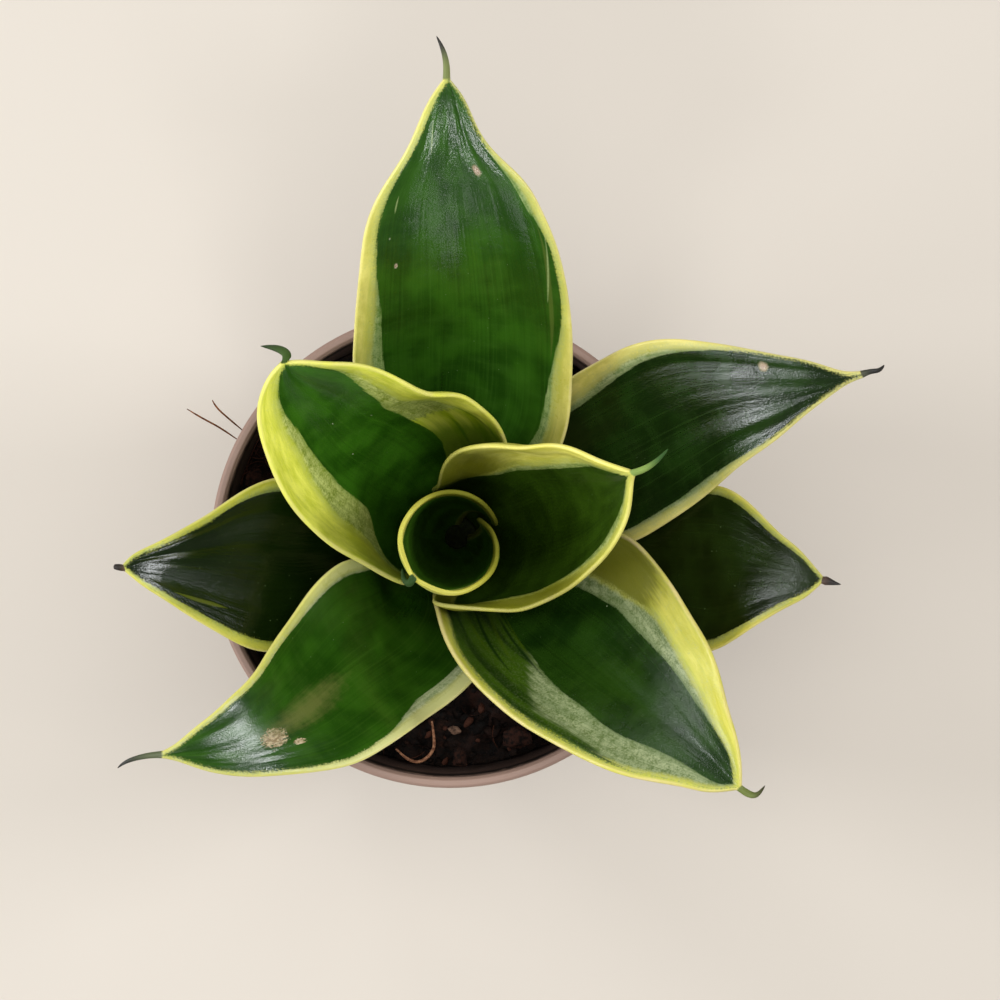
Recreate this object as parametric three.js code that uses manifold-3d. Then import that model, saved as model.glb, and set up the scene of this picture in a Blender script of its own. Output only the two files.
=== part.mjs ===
// Golden hahnii snake plant (a low rosette of nine variegated leaves) growing
// in a round 10 cm nursery pot.  Millimetres, +Z up, origin at the centre of
// the pot's underside.
import * as THREE from 'three';
import { mergeVertices } from 'three/addons/utils/BufferGeometryUtils.js';
import Module from 'manifold-3d';

// ---------------------------------------------------------------- pot
const POT_RIM_R = 50;          // outer radius of the rim band
const POT_H = 88;              // height to the top of the rim
const POT_RIM_BAND = 5.0;      // height of the thick rim band
const POT_RIM_W = 2.3;         // width of the rim seen from above
const POT_TOP_R = 48.6;        // outer wall just below the rim band
const POT_FOOT_R = 35.2;       // outer wall at the foot
const POT_WALL = 1.1;
const POT_FLOOR = 1.6;
const FOOT_RING_IN = 30;       // foot ring from here to the wall
const FOOT_DISC_R = 13;        // flat middle disc that also stands on the table
const FOOT_RECESS = 1.3;       // the channel between them is lifted this much
const DRAIN_N = 8, DRAIN_R = 3.0, DRAIN_AT = 21.5;

// ---------------------------------------------------------------- soil
const SOIL_TOP = 78.2;         // mean level of the potting mix
const SOIL_GAP = 0.35;         // running clearance to the pot and the leaves
const CROWN_TOP = 75.55, CROWN_R = 20.4;
const AXIS_X = 1.2, AXIS_Y = 2.2;   // axis of the rosette
const BASE_Z = 76;             // the leaves start here, just over the crown

// ---------------------------------------------------------------- leaves
const LEAF_GAP = 0.35;
const EDGE_T = 0.75;           // thickness of a leaf's edge
const LOFT_V = 19;             // rings along a blade
const AWN_RINGS = 5;           // rings along the pointed tip

// Each leaf is a thick sheet through a net of surveyed points: 17 stations
// from the base to the tip, 9 points across each station from the right edge
// to the left one, then the thorn-like tip as x, y, z, half width.
const LEAVES = [
  { // oldest and lowest, towards +X
    name: 'leaf_1', t: [1.7, 2.2], color: 0x26331a, across: 8,
    net: [
      [14.91, -11.29, 76, 16.79, -8.8, 76, 18.31, -6, 76, 19.42, -2.96, 76, 20.1, 0.21, 76, 20.31, 3.44, 76, 20.06, 6.62, 76, 19.35, 9.65, 76, 18.2, 12.47, 76],
      [17.64, -12.33, 82.83, 19.65, -9.78, 81.96, 21.29, -6.89, 81.32, 22.52, -3.74, 80.93, 23.29, -0.41, 80.81, 23.59, 2.92, 80.94, 23.42, 6.24, 81.33, 22.78, 9.43, 81.96, 21.69, 12.42, 82.81],
      [21.04, -13.6, 88.07, 23.01, -10.83, 86.97, 24.61, -7.75, 86.16, 25.79, -4.42, 85.67, 26.53, -0.93, 85.5, 26.8, 2.52, 85.66, 26.63, 5.94, 86.12, 26.02, 9.27, 86.88, 24.99, 12.41, 87.92],
      [24.81, -14.87, 92.59, 26.64, -11.83, 91.51, 28.1, -8.52, 90.71, 29.16, -5, 90.23, 29.8, -1.35, 90.07, 29.99, 2.2, 90.22, 29.79, 5.72, 90.66, 29.18, 9.15, 91.39, 28.18, 12.41, 92.39],
      [28.83, -16.07, 96.78, 30.42, -12.73, 95.8, 31.68, -9.18, 95.08, 32.57, -5.48, 94.65, 33.1, -1.68, 94.5, 33.25, 1.95, 94.63, 33.06, 5.57, 95.02, 32.52, 9.11, 95.67, 31.66, 12.53, 96.57],
      [32.86, -17.05, 100.82, 34.21, -13.46, 99.94, 35.27, -9.71, 99.3, 36.01, -5.86, 98.91, 36.45, -1.94, 98.78, 36.56, 1.76, 98.9, 36.38, 5.46, 99.24, 35.93, 9.1, 99.81, 35.19, 12.66, 100.59],
      [36.72, -17.85, 104.8, 37.9, -14.06, 103.97, 38.82, -10.17, 103.38, 39.47, -6.19, 103.02, 39.83, -2.15, 102.9, 39.91, 1.63, 103, 39.74, 5.41, 103.32, 39.33, 9.13, 103.84, 38.66, 12.79, 104.57],
      [40.43, -18.52, 108.69, 41.51, -14.59, 107.88, 42.35, -10.56, 107.3, 42.93, -6.47, 106.95, 43.25, -2.32, 106.83, 43.31, 1.53, 106.93, 43.15, 5.38, 107.23, 42.77, 9.19, 107.74, 42.16, 12.93, 108.44],
      [44.07, -19.09, 112.38, 45.08, -15.05, 111.59, 45.85, -10.91, 111.02, 46.4, -6.71, 110.68, 46.7, -2.48, 110.56, 46.77, 1.44, 110.66, 46.64, 5.35, 110.95, 46.3, 9.22, 111.44, 45.76, 13.04, 112.11],
      [47.61, -19.54, 115.89, 48.58, -15.41, 115.1, 49.33, -11.2, 114.53, 49.87, -6.94, 114.18, 50.19, -2.63, 114.07, 50.29, 1.32, 114.17, 50.2, 5.27, 114.45, 49.92, 9.19, 114.94, 49.46, 13.07, 115.61],
      [51.01, -19.9, 119.22, 51.99, -15.73, 118.39, 52.76, -11.48, 117.81, 53.34, -7.17, 117.45, 53.7, -2.82, 117.33, 53.85, 1.15, 117.43, 53.82, 5.13, 117.73, 53.62, 9.08, 118.22, 53.25, 12.98, 118.9],
      [54.72, -18.39, 121.93, 55.58, -14.63, 121.23, 56.29, -10.82, 120.73, 56.83, -6.96, 120.42, 57.22, -3.06, 120.32, 57.43, 0.52, 120.41, 57.5, 4.11, 120.66, 57.44, 7.68, 121.09, 57.23, 11.22, 121.68],
      [58.61, -15.67, 124.16, 59.29, -12.65, 123.66, 59.87, -9.59, 123.3, 60.34, -6.5, 123.08, 60.72, -3.38, 123.01, 60.96, -0.63, 123.06, 61.12, 2.13, 123.23, 61.2, 4.88, 123.51, 61.2, 7.62, 123.9],
      [62.4, -13.08, 126.12, 62.93, -10.78, 125.79, 63.4, -8.47, 125.55, 63.8, -6.14, 125.41, 64.15, -3.78, 125.36, 64.39, -1.9, 125.39, 64.59, 0.01, 125.48, 64.74, 1.9, 125.64, 64.86, 3.8, 125.85],
      [66.06, -10.84, 127.81, 66.45, -9.22, 127.61, 66.82, -7.58, 127.46, 67.15, -5.95, 127.38, 67.45, -4.29, 127.35, 67.66, -2.99, 127.37, 67.86, -1.68, 127.42, 68.03, -0.37, 127.51, 68.19, 0.93, 127.63],
      [69.51, -8.89, 129.15, 69.77, -7.89, 129.06, 70.02, -6.89, 128.99, 70.25, -5.89, 128.95, 70.47, -4.87, 128.94, 70.61, -4.21, 128.94, 70.74, -3.54, 128.96, 70.87, -2.88, 128.99, 70.99, -2.22, 129.03],
      [72.61, -6.13, 130.01, 72.65, -5.95, 130, 72.7, -5.76, 130, 72.74, -5.58, 130, 72.79, -5.4, 130, 72.83, -5.22, 130, 72.88, -5.04, 130, 72.92, -4.85, 130, 72.96, -4.67, 130.01],
    ],
    awn: [[72.79, -5.4, 130, 1.05], [73.87, -5.63, 130.7, 0.78], [74.96, -5.94, 131.3, 0.45], [76.23, -6.21, 132, 0.1]],
  },
  { // towards -X
    name: 'leaf_2', t: [1.7, 2.2], color: 0x2b4316, across: 8,
    net: [
      [-14.54, 11.49, 76, -15.56, 9.12, 76, -16.11, 6.52, 76, -16.17, 3.8, 76, -15.76, 1.01, 76, -14.87, -1.73, 76, -13.54, -4.37, 76, -11.81, -6.8, 76, -9.73, -8.95, 76],
      [-19.73, 11.6, 83.01, -20.12, 8.56, 82.04, -19.97, 5.39, 81.29, -19.29, 2.21, 80.78, -18.12, -0.91, 80.51, -16.62, -3.83, 80.44, -14.91, -6.68, 80.5, -12.78, -9.22, 80.81, -10.18, -11.14, 81.46],
      [-22.41, 11.6, 87.75, -22.78, 8.17, 86.61, -22.58, 4.63, 85.76, -21.85, 1.1, 85.22, -20.61, -2.35, 85.01, -19.02, -5.47, 85.09, -17.08, -8.38, 85.44, -14.84, -10.98, 86.05, -12.27, -13.06, 86.97],
      [-23.27, 11.78, 92.3, -24.07, 8.16, 91.1, -24.33, 4.37, 90.22, -24.04, 0.51, 89.67, -23.22, -3.32, 89.46, -21.99, -6.78, 89.58, -20.35, -10.05, 90, -18.32, -13.02, 90.72, -15.94, -15.58, 91.74],
      [-24.69, 12.08, 96.48, -25.75, 8.27, 95.32, -26.33, 4.28, 94.47, -26.41, 0.19, 93.95, -26, -3.92, 93.77, -25.2, -7.65, 93.9, -24, -11.25, 94.33, -22.42, -14.65, 95.03, -20.48, -17.77, 96.02],
      [-26.42, 12.57, 100.5, -27.69, 8.58, 99.37, -28.54, 4.41, 98.55, -28.97, 0.12, 98.05, -28.95, -4.22, 97.88, -28.55, -8.16, 98.02, -27.8, -12.04, 98.43, -26.69, -15.79, 99.11, -25.24, -19.36, 100.05],
      [-28.34, 13.22, 104.43, -29.84, 9.08, 103.29, -30.96, 4.75, 102.46, -31.7, 0.29, 101.96, -32.02, -4.25, 101.79, -31.97, -8.35, 101.93, -31.59, -12.42, 102.34, -30.88, -16.41, 103.01, -29.85, -20.27, 103.94],
      [-30.57, 13.89, 108.22, -32.26, 9.65, 107.03, -33.61, 5.2, 106.18, -34.59, 0.62, 105.66, -35.19, -4.06, 105.49, -35.4, -8.24, 105.62, -35.31, -12.41, 106.03, -34.91, -16.52, 106.71, -34.22, -20.54, 107.64],
      [-33.29, 14.54, 111.72, -35.06, 10.22, 110.52, -36.52, 5.7, 109.65, -37.64, 1.05, 109.12, -38.42, -3.71, 108.95, -38.8, -7.82, 109.08, -38.93, -11.95, 109.46, -38.78, -16.03, 110.1, -38.37, -20.05, 110.99],
      [-37.07, 13.67, 114.51, -38.61, 9.62, 113.49, -39.9, 5.42, 112.76, -40.93, 1.12, 112.32, -41.7, -3.27, 112.17, -42.14, -7.05, 112.28, -42.38, -10.85, 112.6, -42.41, -14.63, 113.15, -42.24, -18.36, 113.9],
      [-41.64, 11.25, 116.76, -42.73, 7.84, 116.06, -43.65, 4.35, 115.56, -44.41, 0.8, 115.25, -45, -2.79, 115.15, -45.4, -6.14, 115.24, -45.65, -9.51, 115.5, -45.75, -12.86, 115.93, -45.7, -16.18, 116.53],
      [-46.41, 7.92, 118.77, -47.01, 5.39, 118.38, -47.53, 2.83, 118.11, -47.97, 0.24, 117.94, -48.32, -2.36, 117.88, -48.61, -5.32, 117.95, -48.78, -8.27, 118.17, -48.85, -11.21, 118.52, -48.8, -14.14, 119.01],
      [-50.75, 5.23, 120.83, -51.03, 3.43, 120.63, -51.26, 1.61, 120.48, -51.46, -0.22, 120.39, -51.61, -2.04, 120.36, -51.74, -4.59, 120.41, -51.8, -7.12, 120.59, -51.77, -9.65, 120.87, -51.66, -12.16, 121.27],
      [-54.69, 2.95, 122.79, -54.75, 1.74, 122.69, -54.8, 0.52, 122.61, -54.83, -0.72, 122.56, -54.83, -1.93, 122.55, -54.8, -4, 122.59, -54.71, -6.05, 122.72, -54.57, -8.1, 122.94, -54.37, -10.14, 123.24],
      [-58.18, 1.15, 124.56, -58.13, 0.34, 124.51, -58.07, -0.46, 124.47, -58, -1.28, 124.44, -57.92, -2.08, 124.43, -57.74, -3.65, 124.46, -57.53, -5.19, 124.55, -57.29, -6.74, 124.7, -57.01, -8.27, 124.91],
      [-61.17, -0.47, 126.03, -61.07, -0.99, 126, -60.96, -1.5, 125.98, -60.84, -2.03, 125.97, -60.73, -2.54, 125.97, -60.5, -3.49, 125.98, -60.27, -4.42, 126.02, -60.02, -5.36, 126.09, -59.75, -6.29, 126.19],
      [-63.08, -2.44, 127.01, -63.02, -2.61, 127.01, -62.96, -2.79, 127, -62.9, -2.97, 127, -62.84, -3.15, 127, -62.78, -3.32, 127, -62.72, -3.5, 127, -62.65, -3.68, 127.01, -62.59, -3.85, 127.01],
    ],
    awn: [[-62.84, -3.15, 127, 0.7], [-63.47, -3.04, 127.4, 0.66], [-64.1, -2.93, 127.8, 0.6], [-64.75, -2.87, 128, 0.42]],
  },
  { // towards +X and a little +Y
    name: 'leaf_3', t: [1.7, 2.3], color: 0x27401c, across: 8,
    net: [
      [16.8, -2.74, 76, 17.19, -0.19, 76, 17.03, 2.49, 76, 16.33, 5.2, 76, 15.11, 7.82, 76, 13.42, 10.25, 76, 11.34, 12.4, 76, 8.94, 14.18, 76, 6.33, 15.52, 76],
      [21.49, -1.71, 85.05, 21.66, 1.41, 83.82, 21.15, 4.64, 82.87, 19.98, 7.81, 82.25, 18.2, 10.79, 81.99, 15.99, 13.35, 82.1, 13.4, 15.49, 82.54, 10.57, 17.14, 83.28, 7.64, 18.28, 84.24],
      [25.27, -0.85, 91.63, 25.41, 2.72, 90.05, 24.82, 6.4, 88.86, 23.52, 10.01, 88.12, 21.58, 13.4, 87.87, 19.23, 16.25, 88.09, 16.48, 18.66, 88.74, 13.47, 20.53, 89.78, 10.29, 21.75, 91.19],
      [28.45, -0.09, 97.55, 28.7, 3.82, 95.87, 28.22, 7.85, 94.62, 27.04, 11.86, 93.85, 25.19, 15.7, 93.59, 22.95, 18.96, 93.81, 20.27, 21.83, 94.48, 17.26, 24.18, 95.56, 14.02, 25.94, 97.03],
      [32.71, 0.55, 102.84, 32.71, 4.85, 101.25, 32.08, 9.23, 100.07, 30.84, 13.58, 99.36, 29.01, 17.78, 99.12, 26.86, 21.4, 99.32, 24.31, 24.71, 99.92, 21.42, 27.62, 100.92, 18.26, 30.07, 102.28],
      [37.47, 1.8, 107.65, 37.09, 6.32, 106.26, 36.19, 10.87, 105.24, 34.81, 15.37, 104.63, 32.96, 19.74, 104.42, 30.86, 23.6, 104.6, 28.41, 27.23, 105.13, 25.67, 30.56, 106, 22.66, 33.54, 107.2],
      [42.32, 4.58, 112.02, 41.52, 8.93, 110.92, 40.36, 13.27, 110.13, 38.84, 17.54, 109.65, 36.99, 21.7, 109.49, 34.87, 25.63, 109.64, 32.47, 29.37, 110.1, 29.81, 32.88, 110.87, 26.93, 36.12, 111.93],
      [47.03, 7.85, 116.29, 45.92, 11.91, 115.42, 44.54, 15.93, 114.79, 42.92, 19.89, 114.42, 41.05, 23.76, 114.29, 38.87, 27.66, 114.43, 36.46, 31.4, 114.83, 33.83, 34.95, 115.51, 31.02, 38.29, 116.45],
      [50.8, 10.85, 120.38, 49.66, 14.66, 119.7, 48.34, 18.45, 119.21, 46.83, 22.19, 118.91, 45.16, 25.85, 118.81, 43.15, 29.73, 118.93, 40.97, 33.48, 119.27, 38.61, 37.1, 119.84, 36.09, 40.56, 120.64],
      [53.63, 13.52, 124.28, 52.78, 17.1, 123.74, 51.79, 20.67, 123.35, 50.66, 24.21, 123.12, 49.41, 27.71, 123.04, 47.97, 31.3, 123.12, 46.41, 34.82, 123.38, 44.71, 38.26, 123.79, 42.9, 41.62, 124.37],
      [56.02, 15.88, 127.94, 55.64, 19.18, 127.5, 55.16, 22.48, 127.18, 54.57, 25.77, 126.99, 53.89, 29.06, 126.93, 53.18, 32.05, 126.98, 52.39, 35.02, 127.14, 51.52, 37.96, 127.41, 50.57, 40.87, 127.78],
      [59.44, 18.61, 131.18, 59.32, 21.42, 130.84, 59.13, 24.23, 130.6, 58.87, 27.03, 130.46, 58.54, 29.84, 130.41, 58.2, 32.31, 130.45, 57.81, 34.78, 130.56, 57.37, 37.23, 130.75, 56.88, 39.66, 131.01],
      [63.78, 21.85, 133.93, 63.7, 23.97, 133.72, 63.58, 26.1, 133.57, 63.43, 28.22, 133.48, 63.24, 30.35, 133.45, 63.02, 32.37, 133.47, 62.77, 34.39, 133.56, 62.49, 36.4, 133.7, 62.18, 38.39, 133.89],
      [68.39, 25.92, 136.23, 68.27, 27.15, 136.14, 68.14, 28.39, 136.08, 68, 29.63, 136.05, 67.84, 30.86, 136.04, 67.62, 32.5, 136.06, 67.37, 34.13, 136.12, 67.1, 35.75, 136.23, 66.81, 37.37, 136.38],
      [72.69, 29.35, 138.23, 72.58, 29.91, 138.21, 72.46, 30.47, 138.2, 72.33, 31.05, 138.19, 72.21, 31.6, 138.18, 71.95, 32.76, 138.2, 71.68, 33.9, 138.24, 71.4, 35.05, 138.3, 71.1, 36.18, 138.39],
      [76.37, 31.98, 139.88, 76.31, 32.16, 139.88, 76.24, 32.34, 139.88, 76.17, 32.53, 139.88, 76.11, 32.71, 139.87, 75.92, 33.23, 139.88, 75.74, 33.74, 139.89, 75.54, 34.26, 139.91, 75.35, 34.77, 139.93],
      [79.3, 33.26, 141.01, 79.22, 33.43, 141, 79.13, 33.6, 141, 79.05, 33.77, 141, 78.96, 33.94, 141, 78.88, 34.1, 141, 78.8, 34.27, 141, 78.71, 34.44, 141, 78.63, 34.61, 141.01],
    ],
    awn: [[78.96, 33.94, 141, 0.7], [80.76, 34.47, 141.8, 0.5], [82.12, 34.7, 143, 0.42], [82.86, 35.55, 145, 0.15]],
  },
  { // towards -X and -Y
    name: 'leaf_4', t: [1.7, 2.3], color: 0x2c4a18, across: 8,
    net: [
      [-12.52, -0.52, 76, -11.92, -2.78, 76, -10.73, -4.86, 76, -8.99, -6.64, 76, -6.8, -8.04, 76, -4.26, -9, 76, -1.5, -9.46, 76, 1.36, -9.41, 76, 4.17, -8.84, 76],
      [-16.09, -2.49, 84.77, -14.67, -5.29, 83.58, -12.36, -7.59, 82.76, -9.49, -9.45, 82.24, -6.52, -11.28, 81.75, -2.62, -12.35, 81.75, 1.43, -12.35, 82.32, 5.34, -11.52, 83.3, 8.69, -9.8, 84.64],
      [-16.31, -1.7, 91.23, -15.45, -5.33, 89.61, -13.59, -8.72, 88.42, -10.89, -11.73, 87.69, -7.72, -14.43, 87.3, -3.51, -16.59, 87.5, 1.01, -17.57, 88.38, 5.47, -17.35, 89.83, 9.46, -15.92, 91.74],
      [-15.81, -1.24, 97.11, -15.79, -5.37, 95.24, -14.76, -9.56, 93.83, -12.8, -13.59, 92.94, -10.05, -17.25, 92.61, -6.34, -20.53, 92.91, -2.1, -22.87, 93.87, 2.4, -24.09, 95.45, 6.82, -24.08, 97.56],
      [-17.79, -1.71, 102.37, -17.87, -6.19, 100.41, -17.07, -10.79, 98.95, -15.41, -15.32, 98.04, -12.97, -19.58, 97.72, -10.01, -23.21, 97.98, -6.55, -26.27, 98.79, -2.73, -28.61, 100.11, 1.28, -30.14, 101.89],
      [-21.64, -2.59, 107.16, -21.42, -7.41, 105.21, -20.41, -12.3, 103.77, -18.65, -17.11, 102.89, -16.17, -21.69, 102.59, -13.57, -25.28, 102.8, -10.57, -28.52, 103.45, -7.25, -31.29, 104.5, -3.69, -33.53, 105.95],
      [-26.71, -6.87, 110.69, -25.67, -11.27, 109.21, -24.08, -15.63, 108.13, -21.98, -19.84, 107.47, -19.41, -23.85, 107.25, -16.64, -27.28, 107.44, -13.56, -30.4, 108, -10.23, -33.14, 108.93, -6.69, -35.45, 110.22],
      [-30.66, -12.42, 114.1, -29.1, -16.06, 113.07, -27.19, -19.61, 112.32, -24.97, -23.03, 111.87, -22.47, -26.26, 111.72, -19.53, -29.46, 111.89, -16.35, -32.36, 112.39, -12.96, -34.93, 113.23, -9.41, -37.15, 114.38],
      [-33.46, -16.58, 117.8, -31.79, -19.79, 117, -29.9, -22.92, 116.42, -27.77, -25.95, 116.07, -25.46, -28.84, 115.95, -22.67, -31.86, 116.09, -19.69, -34.65, 116.52, -16.55, -37.19, 117.23, -13.27, -39.45, 118.22],
      [-35.43, -19.86, 121.41, -33.97, -22.84, 120.75, -32.33, -25.76, 120.28, -30.53, -28.61, 119.99, -28.57, -31.37, 119.9, -26.3, -34.24, 120.01, -23.87, -36.96, 120.34, -21.31, -39.51, 120.9, -18.64, -41.89, 121.67],
      [-37.03, -22.75, 124.73, -35.96, -25.52, 124.18, -34.77, -28.27, 123.79, -33.45, -30.97, 123.55, -32.01, -33.63, 123.48, -30.54, -36.1, 123.55, -28.96, -38.51, 123.76, -27.3, -40.84, 124.12, -25.56, -43.08, 124.62],
      [-39.2, -25.52, 127.67, -38.48, -28.03, 127.22, -37.67, -30.53, 126.9, -36.77, -33.01, 126.7, -35.78, -35.48, 126.64, -34.88, -37.53, 126.69, -33.92, -39.55, 126.82, -32.91, -41.54, 127.06, -31.84, -43.48, 127.38],
      [-41.89, -28.1, 130.2, -41.45, -30.31, 129.83, -40.95, -32.51, 129.57, -40.38, -34.71, 129.42, -39.75, -36.91, 129.37, -39.23, -38.59, 129.4, -38.67, -40.27, 129.49, -38.07, -41.92, 129.65, -37.44, -43.56, 129.86],
      [-44.89, -30.94, 132.21, -44.67, -32.68, 131.97, -44.41, -34.42, 131.8, -44.13, -36.16, 131.69, -43.8, -37.91, 131.66, -43.54, -39.18, 131.68, -43.26, -40.46, 131.73, -42.97, -41.72, 131.83, -42.65, -42.98, 131.96],
      [-48.13, -33.52, 133.84, -48.06, -34.76, 133.7, -47.98, -36.01, 133.61, -47.88, -37.25, 133.55, -47.76, -38.5, 133.53, -47.67, -39.3, 133.54, -47.58, -40.11, 133.56, -47.48, -40.91, 133.6, -47.38, -41.71, 133.66],
      [-51.42, -36.29, 135.08, -51.42, -36.9, 135.05, -51.42, -37.51, 135.02, -51.41, -38.11, 135, -51.4, -38.72, 135, -51.4, -39.08, 135, -51.39, -39.44, 135.01, -51.38, -39.8, 135.02, -51.37, -40.16, 135.03],
      [-54.15, -37.93, 136.01, -54.16, -38.12, 136, -54.17, -38.3, 136, -54.18, -38.49, 136, -54.19, -38.68, 136, -54.2, -38.87, 136, -54.21, -39.05, 136, -54.22, -39.24, 136, -54.22, -39.43, 136.01],
    ],
    awn: [[-54.19, -38.68, 136, 0.7], [-57.4, -38.93, 136.4, 0.55], [-60.9, -39.93, 136, 0.38], [-63.13, -41.42, 134.4, 0.12]],
  },
  { // towards +Y, the longest
    name: 'leaf_5', t: [1.7, 2.4], color: 0x2c4a1b, across: 8,
    net: [
      [10.84, 8.55, 76, 9.08, 10.54, 76, 6.73, 12.04, 76, 3.97, 12.95, 76, 1.01, 13.2, 76, -1.95, 12.76, 76, -4.67, 11.68, 76, -6.96, 10.03, 76, -8.66, 7.94, 76],
      [12.73, 9.51, 87.56, 11.26, 12.72, 85.7, 8.54, 15.29, 84.22, 4.92, 16.98, 83.26, 0.86, 17.68, 82.89, -2.71, 17.28, 83.16, -5.97, 15.99, 83.93, -8.62, 13.94, 85.12, -10.4, 11.32, 86.61],
      [14.44, 11.09, 96.67, 13.16, 15.17, 93.91, 10.2, 18.62, 91.65, 5.99, 21.08, 90.16, 1.04, 22.24, 89.6, -3.1, 22.05, 89.93, -6.99, 20.86, 90.94, -10.24, 18.77, 92.55, -12.58, 15.96, 94.6],
      [16.96, 13.69, 104.35, 15.43, 18.39, 101.1, 12.04, 22.46, 98.44, 7.21, 25.4, 96.7, 1.48, 26.86, 96.09, -3.15, 26.84, 96.46, -7.58, 25.8, 97.55, -11.42, 23.8, 99.28, -14.4, 20.99, 101.52],
      [20.98, 17.8, 110.94, 18.34, 22.76, 107.48, 14.01, 26.93, 104.74, 8.42, 29.94, 103, 2.02, 31.51, 102.4, -3.05, 31.63, 102.75, -8, 30.81, 103.81, -12.5, 29.07, 105.51, -16.3, 26.51, 107.76],
      [23.82, 25, 115.5, 19.82, 29.16, 112.57, 14.76, 32.53, 110.35, 8.91, 34.91, 108.96, 2.56, 36.18, 108.49, -2.93, 36.33, 108.83, -8.32, 35.62, 109.84, -13.35, 34.07, 111.47, -17.84, 31.74, 113.67],
      [24.53, 33.11, 119.72, 19.88, 36.16, 117.43, 14.62, 38.52, 115.75, 8.92, 40.12, 114.71, 2.97, 40.92, 114.36, -2.76, 40.89, 114.68, -8.38, 40.1, 115.63, -13.7, 38.57, 117.18, -18.57, 36.35, 119.28],
      [24.57, 40.74, 124.4, 19.65, 42.89, 122.49, 14.35, 44.45, 121.1, 8.8, 45.41, 120.25, 3.12, 45.72, 119.97, -2.53, 45.4, 120.25, -8.06, 44.45, 121.09, -13.34, 42.89, 122.47, -18.24, 40.76, 124.36],
      [23.91, 47.68, 129, 18.95, 49.13, 127.39, 13.75, 50.11, 126.22, 8.41, 50.61, 125.51, 3, 50.6, 125.27, -2.44, 50.1, 125.51, -7.76, 49.1, 126.23, -12.88, 47.61, 127.42, -17.71, 45.68, 129.06],
      [22.7, 53.88, 133.44, 17.87, 54.87, 132.05, 12.89, 55.49, 131.04, 7.81, 55.71, 130.44, 2.7, 55.55, 130.23, -2.43, 54.99, 130.44, -7.46, 54.04, 131.06, -12.34, 52.71, 132.08, -17, 51.03, 133.49],
      [20.93, 59.49, 137.61, 16.41, 60.21, 136.39, 11.77, 60.63, 135.52, 7.06, 60.75, 134.99, 2.33, 60.55, 134.81, -2.45, 60.04, 135, -7.16, 59.22, 135.54, -11.76, 58.09, 136.44, -16.18, 56.68, 137.69],
      [18.37, 65, 141.27, 14.36, 65.48, 140.27, 10.26, 65.75, 139.55, 6.12, 65.78, 139.12, 1.96, 65.59, 138.97, -2.39, 65.15, 139.13, -6.69, 64.47, 139.61, -10.89, 63.55, 140.4, -14.97, 62.4, 141.5],
      [14.82, 70.47, 144.28, 11.57, 70.72, 143.57, 8.26, 70.84, 143.07, 4.93, 70.81, 142.77, 1.6, 70.64, 142.66, -1.9, 70.32, 142.78, -5.35, 69.84, 143.11, -8.76, 69.22, 143.67, -12.1, 68.46, 144.44],
      [9.21, 75.78, 146.5, 7.23, 75.82, 146.22, 5.24, 75.8, 146.01, 3.24, 75.74, 145.89, 1.25, 75.63, 145.85, -1.1, 75.43, 145.91, -3.43, 75.17, 146.07, -5.75, 74.85, 146.36, -8.04, 74.46, 146.75],
      [5.88, 80.61, 148.79, 4.65, 80.6, 148.66, 3.41, 80.56, 148.57, 2.17, 80.51, 148.52, 0.93, 80.44, 148.5, -0.63, 80.32, 148.53, -2.18, 80.17, 148.61, -3.73, 80, 148.75, -5.27, 79.8, 148.95],
      [3.75, 85, 150.72, 2.97, 84.98, 150.66, 2.2, 84.94, 150.62, 1.42, 84.91, 150.6, 0.65, 84.86, 150.59, -0.26, 84.8, 150.6, -1.16, 84.73, 150.63, -2.06, 84.65, 150.69, -2.95, 84.56, 150.77],
      [1.19, 88.31, 152.01, 1, 88.3, 152, 0.82, 88.29, 152, 0.63, 88.28, 152, 0.44, 88.27, 152, 0.26, 88.26, 152, 0.07, 88.24, 152, -0.12, 88.23, 152, -0.31, 88.22, 152.01],
    ],
    awn: [[0.44, 88.27, 152, 0.75], [0.42, 91.06, 153.2, 0.6], [-0.24, 93.72, 154, 0.42], [-1.37, 96.1, 154.2, 0.12]],
  },
  { // towards +X and -Y, broad and cupped
    name: 'leaf_6', t: [1.7, 2.3], color: 0x34541c, across: 9,
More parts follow.
